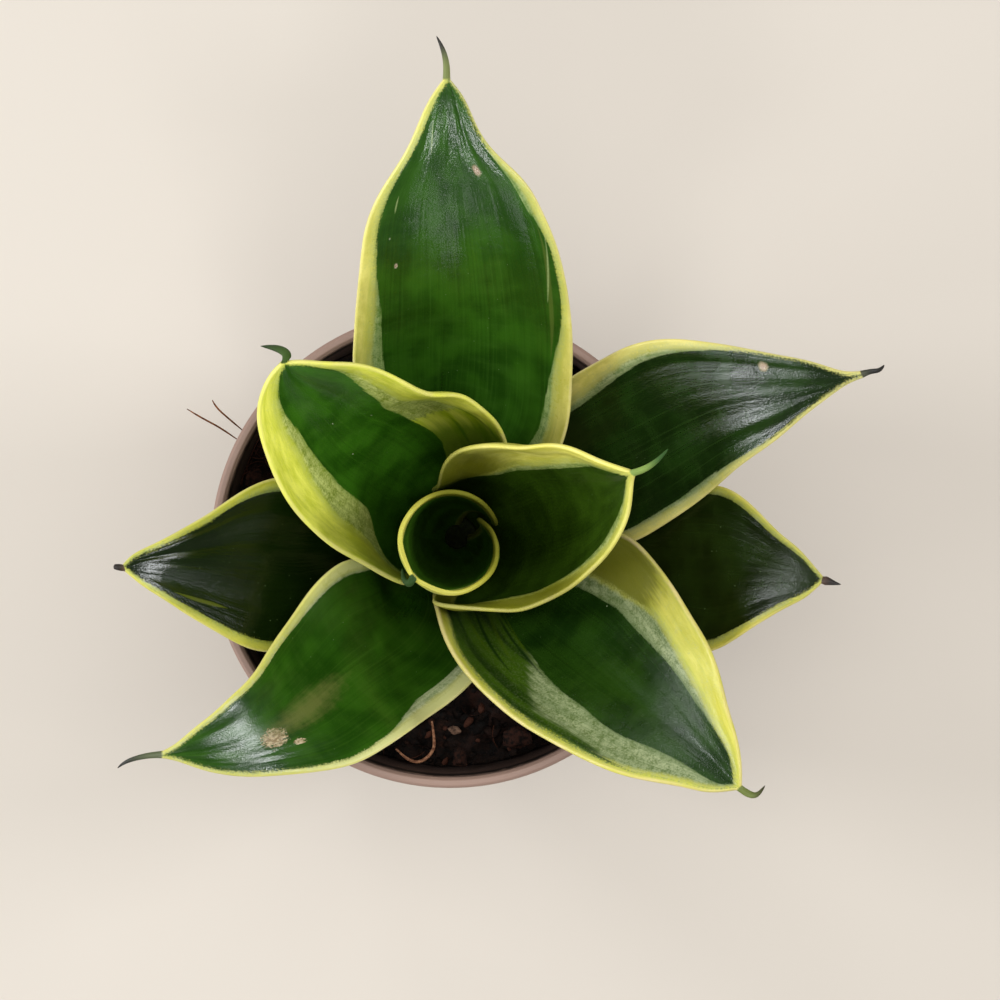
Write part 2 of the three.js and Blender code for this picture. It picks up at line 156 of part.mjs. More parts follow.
    net: [
      [-2.16, -6.54, 76, 0.33, -7.27, 76, 3.02, -7.05, 76, 5.59, -5.9, 76, 7.78, -3.94, 76, 9.34, -1.39, 76, 10.09, 1.47, 76, 9.96, 4.32, 76, 8.95, 6.85, 76],
      [-3.16, -8.05, 87.66, -0.02, -9.87, 85.81, 3.65, -9.76, 84.25, 7.23, -7.89, 83.2, 10.57, -5.27, 82.5, 12.36, -2.27, 82.57, 12.9, 1.16, 83.29, 12.18, 4.42, 84.49, 10.31, 7.03, 86],
      [-3.3, -10.02, 96.23, 0.41, -12.56, 93.49, 4.99, -12.81, 91.07, 9.6, -10.73, 89.46, 13.61, -7.23, 88.61, 15.59, -3.63, 88.85, 16.15, 0.34, 89.94, 15.22, 4.06, 91.7, 12.96, 6.98, 93.85],
      [-2.51, -12.04, 103.49, 1.51, -15.19, 100.18, 6.81, -15.82, 97.19, 12.29, -13.86, 95.09, 16.85, -9.69, 94.3, 19.1, -5.51, 94.71, 19.94, -0.97, 95.98, 19.21, 3.32, 97.97, 17.02, 6.84, 100.43],
      [-1.24, -16.13, 109.56, 3.57, -18.73, 105.93, 9.34, -18.86, 102.8, 15.12, -16.54, 100.68, 19.95, -12.09, 99.93, 22.57, -7.55, 100.38, 23.85, -2.6, 101.72, 23.61, 2.23, 103.82, 21.9, 6.47, 106.46],
      [1.23, -21.01, 114.58, 6.58, -22.47, 110.98, 12.47, -21.77, 108.03, 18.16, -19, 106.1, 22.98, -14.48, 105.43, 25.97, -9.68, 105.9, 27.71, -4.43, 107.25, 28.03, 0.83, 109.39, 26.92, 5.69, 112.13],
      [4.9, -25.58, 118.94, 10.37, -25.89, 115.61, 16.04, -24.44, 112.99, 21.41, -21.37, 111.33, 26, -16.93, 110.75, 29.28, -11.92, 111.22, 31.4, -6.45, 112.58, 32.19, -0.89, 114.74, 31.62, 4.38, 117.58],
      [9.22, -29.59, 122.96, 14.5, -28.96, 120, 19.8, -26.96, 117.74, 24.75, -23.71, 116.33, 29.06, -19.44, 115.84, 32.56, -14.29, 116.3, 34.99, -8.71, 117.65, 36.22, -2.99, 119.82, 36.17, 2.55, 122.68],
      [13.81, -33.07, 126.73, 18.76, -31.74, 124.17, 23.61, -29.38, 122.26, 28.15, -26.08, 121.07, 32.16, -22.02, 120.67, 35.5, -17.4, 121.02, 38.09, -12.43, 122.08, 39.85, -7.28, 123.79, 40.71, -2.14, 126.1],
      [18.77, -35.88, 130.23, 23.24, -34.12, 128.08, 27.57, -31.61, 126.49, 31.64, -28.43, 125.52, 35.31, -24.68, 125.19, 38.39, -20.64, 125.46, 40.97, -16.32, 126.28, 42.98, -11.84, 127.61, 44.37, -7.29, 129.42],
      [23.52, -38.24, 133.74, 27.53, -36.34, 131.87, 31.43, -33.86, 130.49, 35.11, -30.87, 129.65, 38.48, -27.43, 129.37, 41.28, -23.94, 129.59, 43.73, -20.23, 130.23, 45.79, -16.38, 131.29, 47.41, -12.46, 132.75],
      [28.27, -40.35, 136.96, 31.84, -38.45, 135.32, 35.3, -36.1, 134.13, 38.6, -33.36, 133.41, 41.67, -30.28, 133.16, 44.21, -27.25, 133.34, 46.51, -24.05, 133.88, 48.51, -20.75, 134.76, 50.2, -17.37, 135.98],
      [33.42, -42.14, 139.53, 36.42, -40.33, 138.23, 39.36, -38.21, 137.29, 42.17, -35.83, 136.72, 44.84, -33.2, 136.53, 46.94, -30.83, 136.65, 48.91, -28.35, 137.02, 50.7, -25.79, 137.64, 52.3, -23.18, 138.49],
      [39.22, -43.31, 141.34, 41.49, -41.75, 140.51, 43.71, -40.03, 139.91, 45.85, -38.17, 139.54, 47.93, -36.17, 139.42, 49.49, -34.52, 139.49, 51, -32.8, 139.7, 52.42, -31.04, 140.05, 53.76, -29.25, 140.54],
      [44.8, -44.22, 142.84, 46.36, -43.04, 142.4, 47.89, -41.8, 142.08, 49.39, -40.49, 141.89, 50.85, -39.12, 141.82, 51.99, -37.99, 141.86, 53.1, -36.83, 141.98, 54.17, -35.65, 142.17, 55.21, -34.45, 142.44],
      [49.77, -45.07, 144.13, 50.71, -44.31, 143.95, 51.65, -43.53, 143.82, 52.57, -42.73, 143.75, 53.48, -41.91, 143.72, 54.13, -41.31, 143.73, 54.77, -40.7, 143.77, 55.39, -40.08, 143.84, 56.01, -39.46, 143.93],
      [54.9, -44.6, 145.01, 55.04, -44.48, 145.01, 55.18, -44.35, 145, 55.32, -44.23, 145, 55.46, -44.11, 145, 55.6, -43.98, 145, 55.74, -43.86, 145, 55.88, -43.73, 145.01, 56.02, -43.61, 145.01],
    ],
    awn: [[55.46, -44.11, 145, 0.75], [57.11, -45.18, 145.6, 0.68], [58.68, -45.22, 147, 0.5], [59.95, -43.28, 149.5, 0.15]],
  },
  { // towards -X and +Y, with a wave in its right edge
    name: 'leaf_7', t: [1.7, 2.1], color: 0x3f6a22, across: 10,
    net: [
      [6.19, 6.87, 76, 4.04, 8.36, 76, 1.4, 8.95, 76, -1.3, 8.56, 76, -3.66, 7.24, 76, -5.33, 5.19, 76, -6.04, 2.73, 76, -5.68, 0.23, 76, -4.32, -1.93, 76],
      [8.46, 9.99, 83.82, 5.47, 11.45, 83.03, 2.11, 11.94, 82.45, -1.29, 11.38, 82.17, -4.33, 9.72, 82.24, -7.2, 6.6, 82.79, -8.65, 2.77, 83.75, -8.47, -1.23, 84.98, -6.67, -4.77, 86.3],
      [10.35, 12.7, 91.25, 6.68, 14.41, 89.82, 2.53, 14.84, 88.82, -1.64, 13.91, 88.36, -5.33, 11.74, 88.5, -8.53, 7.94, 89.4, -10, 3.39, 90.95, -9.55, -1.21, 92.9, -7.24, -5.16, 94.97],
      [12.1, 15.11, 98.57, 7.76, 17.22, 96.54, 2.74, 17.65, 95.1, -2.3, 16.34, 94.45, -6.67, 13.46, 94.68, -10.01, 8.99, 95.88, -11.34, 3.83, 97.89, -10.48, -1.22, 100.4, -7.55, -5.36, 103],
      [12.47, 17.36, 105.88, 7.68, 19.66, 103.31, 2.1, 20, 101.44, -3.49, 18.35, 100.54, -8.29, 14.94, 100.73, -11.88, 9.71, 102.18, -13.06, 3.82, 104.68, -11.64, -1.71, 107.8, -7.86, -5.93, 111],
      [12.14, 19.42, 113.2, 7.02, 21.86, 110.13, 1.01, 22.11, 107.81, -5.02, 20.13, 106.59, -10.14, 16.23, 106.64, -13.93, 10.22, 108.23, -14.9, 3.63, 111.13, -12.88, -2.31, 114.8, -8.26, -6.49, 118.55],
      [11.46, 21.95, 120.09, 6, 24.28, 116.45, -0.41, 24.23, 113.71, -6.78, 21.82, 112.28, -12.16, 17.39, 112.38, -15.73, 11.63, 114, -16.95, 5.41, 116.88, -15.64, -0.34, 120.6, -11.99, -4.73, 124.59],
      [9.79, 25.03, 126.47, 4.1, 26.8, 122.38, -2.42, 26.19, 119.34, -8.85, 23.3, 117.79, -14.27, 18.53, 117.95, -17.58, 13.32, 119.49, -19.15, 7.76, 122.17, -18.78, 2.47, 125.69, -16.52, -1.97, 129.66],
      [6.87, 27.76, 132.31, 1.3, 28.72, 128.01, -4.94, 27.56, 124.86, -11.09, 24.45, 123.23, -16.41, 19.74, 123.33, -19.71, 14.99, 124.75, -21.69, 9.92, 127.26, -22.12, 5.02, 130.65, -20.98, 0.7, 134.6],
      [2.85, 30.01, 137.41, -2.23, 30.14, 133.19, -7.86, 28.58, 130.12, -13.45, 25.49, 128.5, -18.46, 21.15, 128.52, -21.75, 16.98, 129.77, -24.06, 12.55, 132.05, -25.19, 8.21, 135.19, -25.07, 4.26, 138.98],
      [-2.17, 30.09, 141.75, -6.34, 30, 138, -11.03, 28.68, 135.23, -15.83, 26.25, 133.67, -20.34, 22.9, 133.47, -23.76, 19.4, 134.44, -26.41, 15.65, 136.43, -28.07, 11.91, 139.31, -28.65, 8.44, 142.86],
      [-6.52, 31.67, 146.13, -9.95, 31.2, 142.63, -13.89, 29.84, 140.01, -18.04, 27.69, 138.47, -22.1, 24.91, 138.13, -25.35, 22.1, 138.85, -28.09, 19.13, 140.47, -30.16, 16.18, 142.92, -31.43, 13.41, 146.04],
      [-11.2, 34.02, 149.33, -13.9, 32.95, 146.33, -17.05, 31.35, 144.1, -20.46, 29.33, 142.79, -23.92, 27, 142.46, -26.79, 24.84, 143.01, -29.41, 22.65, 144.3, -31.64, 20.55, 146.27, -33.38, 18.63, 148.83],
      [-16.27, 35.4, 151.84, -18.17, 34.06, 149.48, -20.5, 32.49, 147.73, -23.13, 30.77, 146.69, -25.92, 29, 146.42, -28.35, 27.49, 146.82, -30.68, 26.08, 147.8, -32.81, 24.84, 149.32, -34.63, 23.81, 151.3],
      [-21.31, 35.58, 153.77, -22.45, 34.47, 152.11, -23.99, 33.29, 150.87, -25.82, 32.13, 150.13, -27.84, 31.05, 149.95, -29.59, 30.26, 150.23, -31.3, 29.61, 150.9, -32.88, 29.14, 151.93, -34.27, 28.87, 153.26],
      [-25.99, 35.9, 154.92, -26.4, 35.18, 154.05, -27.12, 34.48, 153.4, -28.07, 33.85, 153.02, -29.17, 33.37, 152.95, -30.03, 33.13, 153.11, -30.88, 33, 153.44, -31.66, 33.01, 153.94, -32.31, 33.15, 154.56],
      [-28.86, 35.75, 154.94, -29.04, 35.7, 154.95, -29.22, 35.65, 154.97, -29.4, 35.6, 154.98, -29.58, 35.55, 155, -29.76, 35.5, 155.02, -29.94, 35.45, 155.03, -30.12, 35.4, 155.05, -30.3, 35.35, 155.06],
    ],
    awn: [[-29.58, 35.55, 155, 0.8], [-29.25, 37.12, 153.2, 0.85], [-31.17, 38.34, 151.2, 0.72], [-34.49, 38.96, 148.2, 0.12]],
  },
  { // inner cup, towards +X
    name: 'leaf_8', t: [1.6, 1.9], color: 0x2c4a12, across: 11,
    net: [
      [0.53, -2.65, 76, 2.9, -2.51, 76, 4.9, -1.21, 76, 6.05, 0.94, 76, 6.05, 3.41, 76, 4.92, 5.6, 76, 2.92, 6.96, 76, 0.55, 7.18, 76, -1.61, 6.18, 76],
      [-1.22, -6.3, 84.38, 2.65, -5.95, 83.55, 5.91, -3.79, 82.84, 7.83, -0.31, 82.43, 7.95, 3.71, 82.4, 6.72, 6.64, 82.65, 4.51, 8.88, 83.11, 1.65, 10.07, 83.71, -1.46, 10.09, 84.37],
      [-2.28, -8.27, 92.42, 2.85, -8.54, 90.94, 7.35, -6.01, 89.59, 9.95, -1.4, 88.77, 9.88, 4.01, 88.69, 8.16, 7.47, 89.12, 5.32, 10.05, 89.9, 1.76, 11.31, 90.89, -2, 11.09, 91.97],
      [-3.06, -9.64, 100.24, 3.13, -10.74, 98.21, 8.8, -8, 96.26, 12.08, -2.38, 95, 11.83, 4.32, 94.86, 9.52, 8.44, 95.48, 5.83, 11.31, 96.58, 1.37, 12.39, 97.99, -3.1, 11.51, 99.46],
      [-2.68, -10.71, 106.69, 4.11, -11.81, 104.33, 10.34, -8.79, 102.15, 13.97, -2.65, 100.87, 13.79, 4.64, 100.91, 11.15, 9.37, 101.81, 6.85, 12.52, 103.29, 1.71, 13.44, 105.07, -3.31, 11.98, 106.81],
      [2.53, -11.42, 111.89, 8.4, -10.65, 109.59, 13.24, -7.01, 107.72, 15.91, -1.35, 106.72, 15.77, 4.99, 106.83, 13.04, 10.29, 107.96, 8.37, 13.7, 109.83, 2.77, 14.45, 112.04, -2.56, 12.4, 114.11],
      [9.15, -11.83, 116.89, 13.56, -9.34, 114.89, 16.74, -5.2, 113.38, 18.2, -0.02, 112.59, 17.76, 5.39, 112.62, 14.76, 11.1, 113.75, 9.74, 14.71, 115.83, 3.78, 15.48, 118.4, -1.81, 13.21, 120.9],
      [13.43, -11.7, 122.65, 16.94, -8.49, 120.76, 19.3, -4.19, 119.31, 20.25, 0.78, 118.45, 19.74, 5.84, 118.26, 16.7, 12.13, 119.14, 11.56, 16.42, 121.16, 5.3, 17.95, 123.92, -0.86, 16.4, 126.9],
      [16.73, -10.61, 128.77, 19.63, -7.28, 126.77, 21.51, -3.1, 125.19, 22.21, 1.61, 124.16, 21.71, 6.38, 123.74, 18.85, 12.86, 124.33, 13.96, 17.58, 126.23, 7.89, 19.81, 129.11, 1.69, 19.14, 132.46],
      [20.31, -8.82, 134.26, 22.54, -5.56, 132.24, 23.89, -1.65, 130.63, 24.26, 2.67, 129.55, 23.66, 7.01, 129.06, 20.99, 13.08, 129.5, 16.62, 17.69, 131.29, 11.2, 20.2, 134.14, 5.56, 20.22, 137.62],
      [23.7, -6.67, 139.5, 25.35, -3.61, 137.46, 26.24, -0.04, 135.82, 26.3, 3.85, 134.71, 25.57, 7.75, 134.18, 23.09, 13.14, 134.52, 19.29, 17.33, 136.16, 14.66, 19.84, 138.86, 9.85, 20.3, 142.26],
      [26.94, -3.83, 144.14, 28, -1.13, 142.21, 28.44, 1.97, 140.67, 28.24, 5.3, 139.6, 27.43, 8.63, 139.08, 25.23, 13.16, 139.33, 22.09, 16.8, 140.73, 18.36, 19.17, 143.12, 14.49, 19.99, 146.21],
      [30.13, -0.44, 148.06, 30.49, 1.84, 146.42, 30.46, 4.35, 145.12, 30.01, 7.02, 144.21, 29.21, 9.67, 143.73, 27.37, 13.45, 143.86, 24.95, 16.66, 144.96, 22.15, 19.07, 146.93, 19.23, 20.43, 149.6],
      [32.62, 3.46, 151.47, 32.53, 5.15, 150.18, 32.2, 7, 149.17, 31.64, 8.94, 148.46, 30.88, 10.88, 148.08, 29.39, 13.74, 148.15, 27.6, 16.26, 149.01, 25.65, 18.28, 150.57, 23.68, 19.63, 152.72],
      [34.25, 7.83, 154.01, 33.95, 8.86, 153.25, 33.53, 9.96, 152.66, 33.01, 11.11, 152.25, 32.41, 12.25, 152.04, 31.35, 13.97, 152.11, 30.2, 15.51, 152.66, 29.02, 16.81, 153.63, 27.88, 17.77, 154.98],
      [34.73, 12.05, 156.12, 34.52, 12.45, 155.87, 34.28, 12.87, 155.68, 34.01, 13.31, 155.55, 33.74, 13.74, 155.49, 33.22, 14.51, 155.55, 32.69, 15.22, 155.82, 32.19, 15.83, 156.29, 31.73, 16.32, 156.93],
      [35.21, 14.54, 158.08, 35.08, 14.67, 158.06, 34.95, 14.81, 158.04, 34.82, 14.94, 158.02, 34.69, 15.07, 158, 34.56, 15.2, 157.98, 34.43, 15.33, 157.96, 34.3, 15.47, 157.94, 34.17, 15.6, 157.92],
    ],
    awn: [[34.69, 15.07, 158, 0.75], [36.8, 15.78, 160, 0.62], [39.07, 17.31, 162, 0.45], [40.95, 19.37, 164.3, 0.12]],
  },
  { // youngest, still rolled into a tube
    name: 'leaf_9', t: [1.5, 1.7], color: 0x2c4a12, across: 12,
    net: [
      [2.11, 5.16, 76, 0.11, 5.1, 76, -1.43, 3.84, 76, -1.89, 1.9, 76, -1.07, 0.09, 76, 0.69, -0.86, 76, 2.66, -0.54, 76, 3.94, 0.94, 76, 3.71, 2.78, 76],
      [2.79, 6.38, 82.38, -0.14, 6.46, 82.38, -2.48, 4.7, 82.38, -3.22, 1.86, 82.38, -2.04, -0.82, 82.38, 0.56, -2.19, 82.38, 3.44, -1.64, 82.38, 5.21, 0.61, 82.38, 4.69, 3.26, 82.38],
      [3.7, 7.33, 88.67, -0.12, 7.72, 88.67, -3.31, 5.59, 88.67, -4.4, 1.91, 88.67, -2.89, -1.62, 88.67, 0.49, -3.37, 88.67, 4.21, -2.58, 88.67, 6.35, 0.45, 88.67, 5.47, 3.79, 88.67],
      [4.86, 7.91, 94.86, 0.22, 8.87, 94.86, -3.9, 6.54, 94.86, -5.44, 2.06, 94.86, -3.64, -2.32, 94.86, 0.46, -4.4, 94.86, 4.94, -3.36, 94.86, 7.36, 0.42, 94.86, 6.06, 4.35, 94.86],
      [6.16, 7.88, 100.95, 0.96, 9.69, 100.95, -4.07, 7.43, 100.95, -6.16, 2.33, 100.95, -4.16, -2.8, 100.95, 0.5, -5.12, 100.95, 5.53, -3.83, 100.95, 8.06, 0.53, 100.95, 6.37, 4.83, 100.95],
      [7.47, 7.4, 106.93, 1.93, 10.26, 106.93, -3.99, 8.3, 106.93, -6.7, 2.68, 106.93, -4.56, -3.18, 106.93, 0.57, -5.68, 106.93, 6.08, -4.15, 106.93, 8.61, 0.76, 106.93, 6.49, 5.3, 106.93],
      [8.83, 6.14, 112.79, 3.35, 10.48, 112.79, -3.52, 9.21, 112.79, -7.08, 3.18, 112.79, -4.85, -3.45, 112.79, 0.7, -6.1, 112.79, 6.58, -4.29, 112.79, 9, 1.11, 112.79, 6.42, 5.76, 112.79],
      [9.61, 5.09, 118.52, 4.37, 10.48, 118.52, -3.12, 9.81, 118.52, -7.31, 3.56, 118.52, -5.04, -3.63, 118.52, 0.84, -6.37, 118.52, 7.01, -4.31, 118.52, 9.23, 1.5, 118.52, 6.22, 6.14, 118.52],
      [9.82, 5.2, 124.11, 4.44, 10.7, 124.11, -3.22, 10, 124.11, -7.49, 3.59, 124.11, -5.17, -3.76, 124.11, 1, -6.57, 124.11, 7.39, -4.26, 124.11, 9.36, 1.92, 124.11, 5.95, 6.46, 124.11],
      [9.6, 6.15, 129.55, 3.81, 11.07, 129.55, -3.68, 9.87, 129.55, -7.64, 3.39, 129.55, -5.26, -3.84, 129.55, 0.89, -6.69, 129.55, 7.32, -4.5, 129.55, 9.56, 1.59, 129.55, 6.36, 6.37, 129.55],
      [7.98, 8.74, 134.82, 1.58, 11.52, 134.82, -4.92, 9.01, 134.82, -7.78, 2.64, 134.82, -5.31, -3.9, 134.82, 0.28, -6.73, 134.82, 6.4, -5.33, 134.82, 9.73, -0.21, 134.82, 8.01, 5.18, 134.82],
      [4.73, 11.01, 139.9, -1.37, 11.19, 139.9, -6.26, 7.55, 139.9, -7.81, 1.65, 139.9, -5.35, -3.94, 139.9, -0.29, -6.72, 139.9, 5.44, -5.96, 139.9, 9.41, -1.86, 139.9, 9.18, 3.55, 139.9],
      [0.84, 11.69, 144.76, -4.04, 9.93, 144.76, -7.23, 5.83, 144.76, -7.73, 0.66, 144.76, -5.39, -3.97, 144.76, -0.99, -6.61, 144.76, 4.15, -6.52, 144.76, 8.44, -3.71, 144.76, 9.89, 1.04, 144.76],
      [-2.74, 10.78, 149.36, -6.05, 8.02, 149.36, -7.77, 4.07, 149.36, -7.54, -0.24, 149.36, -5.41, -3.99, 149.36, -1.86, -6.36, 149.36, 2.38, -6.92, 149.36, 6.42, -5.54, 149.36, 9.35, -2.46, 149.36],
      [-6.04, 8.08, 153.63, -7.53, 5.17, 153.63, -7.93, 1.92, 153.63, -7.2, -1.26, 153.63, -5.42, -4, 153.63, -2.84, -5.96, 153.63, 0.26, -6.91, 153.63, 3.5, -6.76, 153.63, 6.49, -5.52, 153.63],
      [-7.96, 3.2, 157.44, -7.91, 1.24, 157.44, -7.46, -0.67, 157.44, -6.62, -2.45, 157.44, -5.44, -4.02, 157.44, -3.95, -5.31, 157.44, -2.24, -6.27, 157.44, -0.37, -6.85, 157.44, 1.59, -7.04, 157.44],
      [-5.94, -3.45, 160.3, -5.82, -3.6, 160.3, -5.7, -3.75, 160.3, -5.57, -3.89, 160.3, -5.45, -4.03, 160.3, -5.31, -4.17, 160.3, -5.18, -4.3, 160.3, -5.04, -4.43, 160.3, -4.91, -4.56, 160.3],
    ],
    awn: [[-5.45, -4.03, 160.3, 0.75], [-6.28, -5.15, 159.8, 0.72], [-7.23, -4.41, 158.6, 0.6], [-7.61, -2.53, 157, 0.2]],
  },
];

// ================================================================ helpers
const wasm = await Module();
wasm.setup();

function secondDerivatives(y) {
  const n = y.length, m = new Array(n).fill(0), c = new Array(n).fill(0), d = new Array(n).fill(0);
  for (let i = 1; i < n - 1; i++) {
    const r = 6 * (y[i + 1] - 2 * y[i] + y[i - 1]);
    const w = 4 - (i > 1 ? c[i - 1] : 0);
    c[i] = 1 / w;
    d[i] = (r - (i > 1 ? d[i - 1] : 0)) / w;
  }
  for (let i = n - 2; i > 0; i--) m[i] = d[i] - c[i] * m[i + 1];
  return m;
}
// natural cubic spline through equally spaced values, t in 0..1
function spline(y, m, t) {
  const n = y.length;
  const x = Math.min(Math.max(t, 0), 1) * (n - 1);
  const i = Math.min(Math.floor(x), n - 2), f = x - i, a = 1 - f;
  return a * y[i] + f * y[i + 1] + ((a * a * a - a) * m[i] + (f * f * f - f) * m[i + 1]) / 6;
}

// surface of a leaf: at(t, u) with t 0..1 along, u -1..1 across
function leafSurface(leaf) {
  const NS = leaf.net.length, NC = leaf.net[0].length / 3;
  const cols = [];
  for (let j = 0; j < NC * 3; j++) {
    const y = leaf.net.map(r => r[j]);
    cols.push([y, secondDerivatives(y)]);
  }
  const rowCache = new Map();
  const row = t => {
    if (!rowCache.has(t)) {
      const r = [[], [], []];
      for (let j = 0; j < NC; j++) for (let k = 0; k < 3; k++) {
        const [y, m] = cols[j * 3 + k];
        r[k].push(spline(y, m, t));
      }
      rowCache.set(t, r.map(y => [y, secondDerivatives(y)]));
    }
    return rowCache.get(t);
  };
  const at = (t, u) => {
    const r = row(t), s = (u + 1) / 2;
    return new THREE.Vector3(spline(r[0][0], r[0][1], s), spline(r[1][0], r[1][1], s), spline(r[2][0], r[2][1], s));
  };
  const normal = (t, u) => {
    const e = 0.004, t0 = Math.max(t - e, 0), t1 = Math.min(t + e, 1);
    const u0 = Math.max(u - 0.02, -1), u1 = Math.min(u + 0.02, 1);
    const dv = at(t1, u).sub(at(t0, u)), du = at(t, u1).sub(at(t, u0));
    return dv.cross(du).normalize();
  };
  return { at, normal };
}

const along = t => 1 - Math.pow(1 - t, 1.22);     // net station -> share of the length
function leafThickness(leaf, u, v) {
  const a = Math.abs(u);
  let b = Math.min(v / 0.25, 1); b = b * b * (3 - 2 * b);
  let T = leaf.t[0] + (leaf.t[1] - leaf.t[0]) * b;
  T *= 1 - 0.45 * Math.min(Math.max((v - 0.55) / 0.45, 0), 1);
  return Math.max(T * Math.pow(Math.max(1 - Math.pow(a, 2.2), 0), 0.62) + EDGE_T * a * a * a, 0.7);
}

// closed body from rings of equal length, fanned shut at both ends
function loft(rings) {
  const n = rings[0].length, pos = [], idx = [];
  for (const r of rings) for (const p of r) pos.push(p.x, p.y, p.z);
  for (let i = 0; i + 1 < rings.length; i++) for (let j = 0; j < n; j++) {
    const a = i * n + j, b = i * n + (j + 1) % n, c = a + n, d = b + n;
    idx.push(a, b, d, a, d, c);
  }
  const h = n / 2;
  const last = (rings.length - 1) * n;
  // the ends are strips between the two faces of the sheet
  for (let j = 0; j + 1 < h; j++) {
    const a = j, b = j + 1, c = n - 1 - j, d = n - 2 - j;
    idx.push(a, d, b, a, c, d);
    idx.push(last + a, last + b, last + d, last + a, last + d, last + c);
  }
  const g = new THREE.BufferGeometry();
  g.setAttribute('position', new THREE.Float32BufferAttribute(pos, 3));
  g.setIndex(idx);
  return outward(g);
}
function signedVolume(g) {
  const p = g.attributes.position, ix = g.index.array;
  let v = 0;
  const a = new THREE.Vector3(), b = new THREE.Vector3(), c = new THREE.Vector3();
  for (let i = 0; i < ix.length; i += 3) {
    a.fromBufferAttribute(p, ix[i]); b.fromBufferAttribute(p, ix[i + 1]); c.fromBufferAttribute(p, ix[i + 2]);
    v += a.dot(b.clone().cross(c)) / 6;
  }
  return v;
}
function outward(g) {
  if (signedVolume(g) < 0) {
    const ix = g.index.array;
    for (let i = 0; i < ix.length; i += 3) { const t = ix[i]; ix[i] = ix[i + 1]; ix[i + 1] = t; }
  }
  g.computeVertexNormals();
  return g;
}

function leafBody(leaf, { tEnd = 1, extra = 0, drop = 0, nv = LOFT_V, nu = leaf.across, tip = true } = {}) {
  const S = leafSurface(leaf), rings = [];
  const ring = (t, dz = 0) => {
    const top = [], bottom = [];
    for (let j = 0; j <= nu; j++) {
      const u = -1 + 2 * j / nu, P = S.at(t, u), N = S.normal(t, u);
      if (extra > 0 && (j === 0 || j === nu)) {      // widen sideways too
        const Q = S.at(t, u * 0.96), e = P.clone().sub(Q).normalize();
        P.addScaledVector(e, extra);
      }
      const h = leafThickness(leaf, u, along(t)) / 2 + extra;
      const A = P.clone().addScaledVector(N, h), B = P.clone().addScaledVector(N, -h);
      if (t === 0) { A.z = BASE_Z; B.z = BASE_Z; }
      A.z += dz; B.z += dz;
      top.push(A); bottom.unshift(B);
    }
    return top.concat(bottom);
  };
  if (drop > 0) rings.push(ring(0, -drop));
  for (let i = 0; i <= nv; i++) rings.push(ring(tEnd * i / nv));
  if (tip) {
    const pts = leaf.awn, m = [0, 1, 2, 3].map(k => secondDerivatives(pts.map(p => p[k])));
    const at = s => [0, 1, 2, 3].map(k => spline(pts.map(p => p[k]), m[k], s));
    const side0 = S.at(1, 1).sub(S.at(1, -1)).normalize();
    let side = side0;
    for (let i = 1; i <= AWN_RINGS; i++) {
      const s = 0.1 + 0.9 * i / AWN_RINGS;
      const p = at(s), a = at(Math.max(s - 0.04, 0)), b = at(Math.min(s + 0.04, 1));
      const T = new THREE.Vector3(b[0] - a[0], b[1] - a[1], b[2] - a[2]).normalize();
      side = side.clone().addScaledVector(T, -side.dot(T)).normalize();
      const N = T.clone().cross(side).normalize();
      const w = Math.max(p[3], 0.14), C = new THREE.Vector3(p[0], p[1], p[2]), loop = [];
      for (let j = 0; j <= nu; j++) {
        const x = Math.PI * (1 - j / nu) * 0.9 + Math.PI * 0.05;
        loop.push(C.clone().addScaledVector(side, w * Math.cos(x)).addScaledVector(N, 0.8 * w * Math.sin(x)));
      }
      for (let j = nu; j >= 0; j--) {
        const x = -(Math.PI * (1 - j / nu) * 0.9 + Math.PI * 0.05);
        loop.push(C.clone().addScaledVector(side, w * Math.cos(x)).addScaledVector(N, 0.8 * w * Math.sin(x)));
      }
      rings.push(loop);
    }
  }
  return loft(rings);
}

function toManifold(geometry) {
  const g0 = geometry.clone();
  g0.deleteAttribute('normal'); g0.deleteAttribute('uv');
  const g = mergeVertices(g0, 1e-4);
  return new wasm.Manifold(new wasm.Mesh({
    numProp: 3,
    vertProperties: Float32Array.from(g.attributes.position.array),
    triVerts: Uint32Array.from(g.index.array),
  }));
}
function fromManifold(m) {
  const mesh = m.getMesh(), g = new THREE.BufferGeometry(), n = mesh.numProp, pos = [];
  for (let i = 0; i < mesh.vertProperties.length / n; i++)
    pos.push(mesh.vertProperties[i * n], mesh.vertProperties[i * n + 1], mesh.vertProperties[i * n + 2]);
  g.setAttribute('position', new THREE.Float32BufferAttribute(pos, 3));
  g.setIndex(Array.from(mesh.triVerts));
  g.computeVertexNormals();
  return g;
}
// closed turned body: profile as [r, z] pairs, starting and ending on the axis
// or closing on itself
function turned(profile, segments) {
  const g = new THREE.LatheGeometry(profile.map(([r, z]) => new THREE.Vector2(r, z)), segments);
  g.rotateX(Math.PI / 2);
  g.deleteAttribute('uv'); g.deleteAttribute('normal');
  return outward(mergeVertices(g, 1e-4));
}
function largest(m) {
  let best = null;
  for (const part of m.decompose()) if (!best || part.volume() > best.volume()) best = part;
  return best;
}
// round strand of radius r swept along points [x, y, z]
function strand(pts, r, steps, sides = 6) {
  const section = new THREE.Shape();
  for (let j = 0; j < sides; j++) {
    const a = 2 * Math.PI * j / sides;
    if (j) section.lineTo(r * Math.cos(a), r * Math.sin(a)); else section.moveTo(r * Math.cos(a), r * Math.sin(a));
  }
  const path = new THREE.CatmullRomCurve3(pts.map(p => new THREE.Vector3(...p)), false, 'centripetal');
  const g = new THREE.ExtrudeGeometry(section, { steps, bevelEnabled: false, extrudePath: path });
  g.deleteAttribute('uv'); g.deleteAttribute('normal');
  return outward(mergeVertices(g, 1e-4));
}
function material(name, color, roughness, metalness = 0) {
  const m = new THREE.MeshStandardMaterial({ color, roughness, metalness });
  m.name = name;
  return m;
}

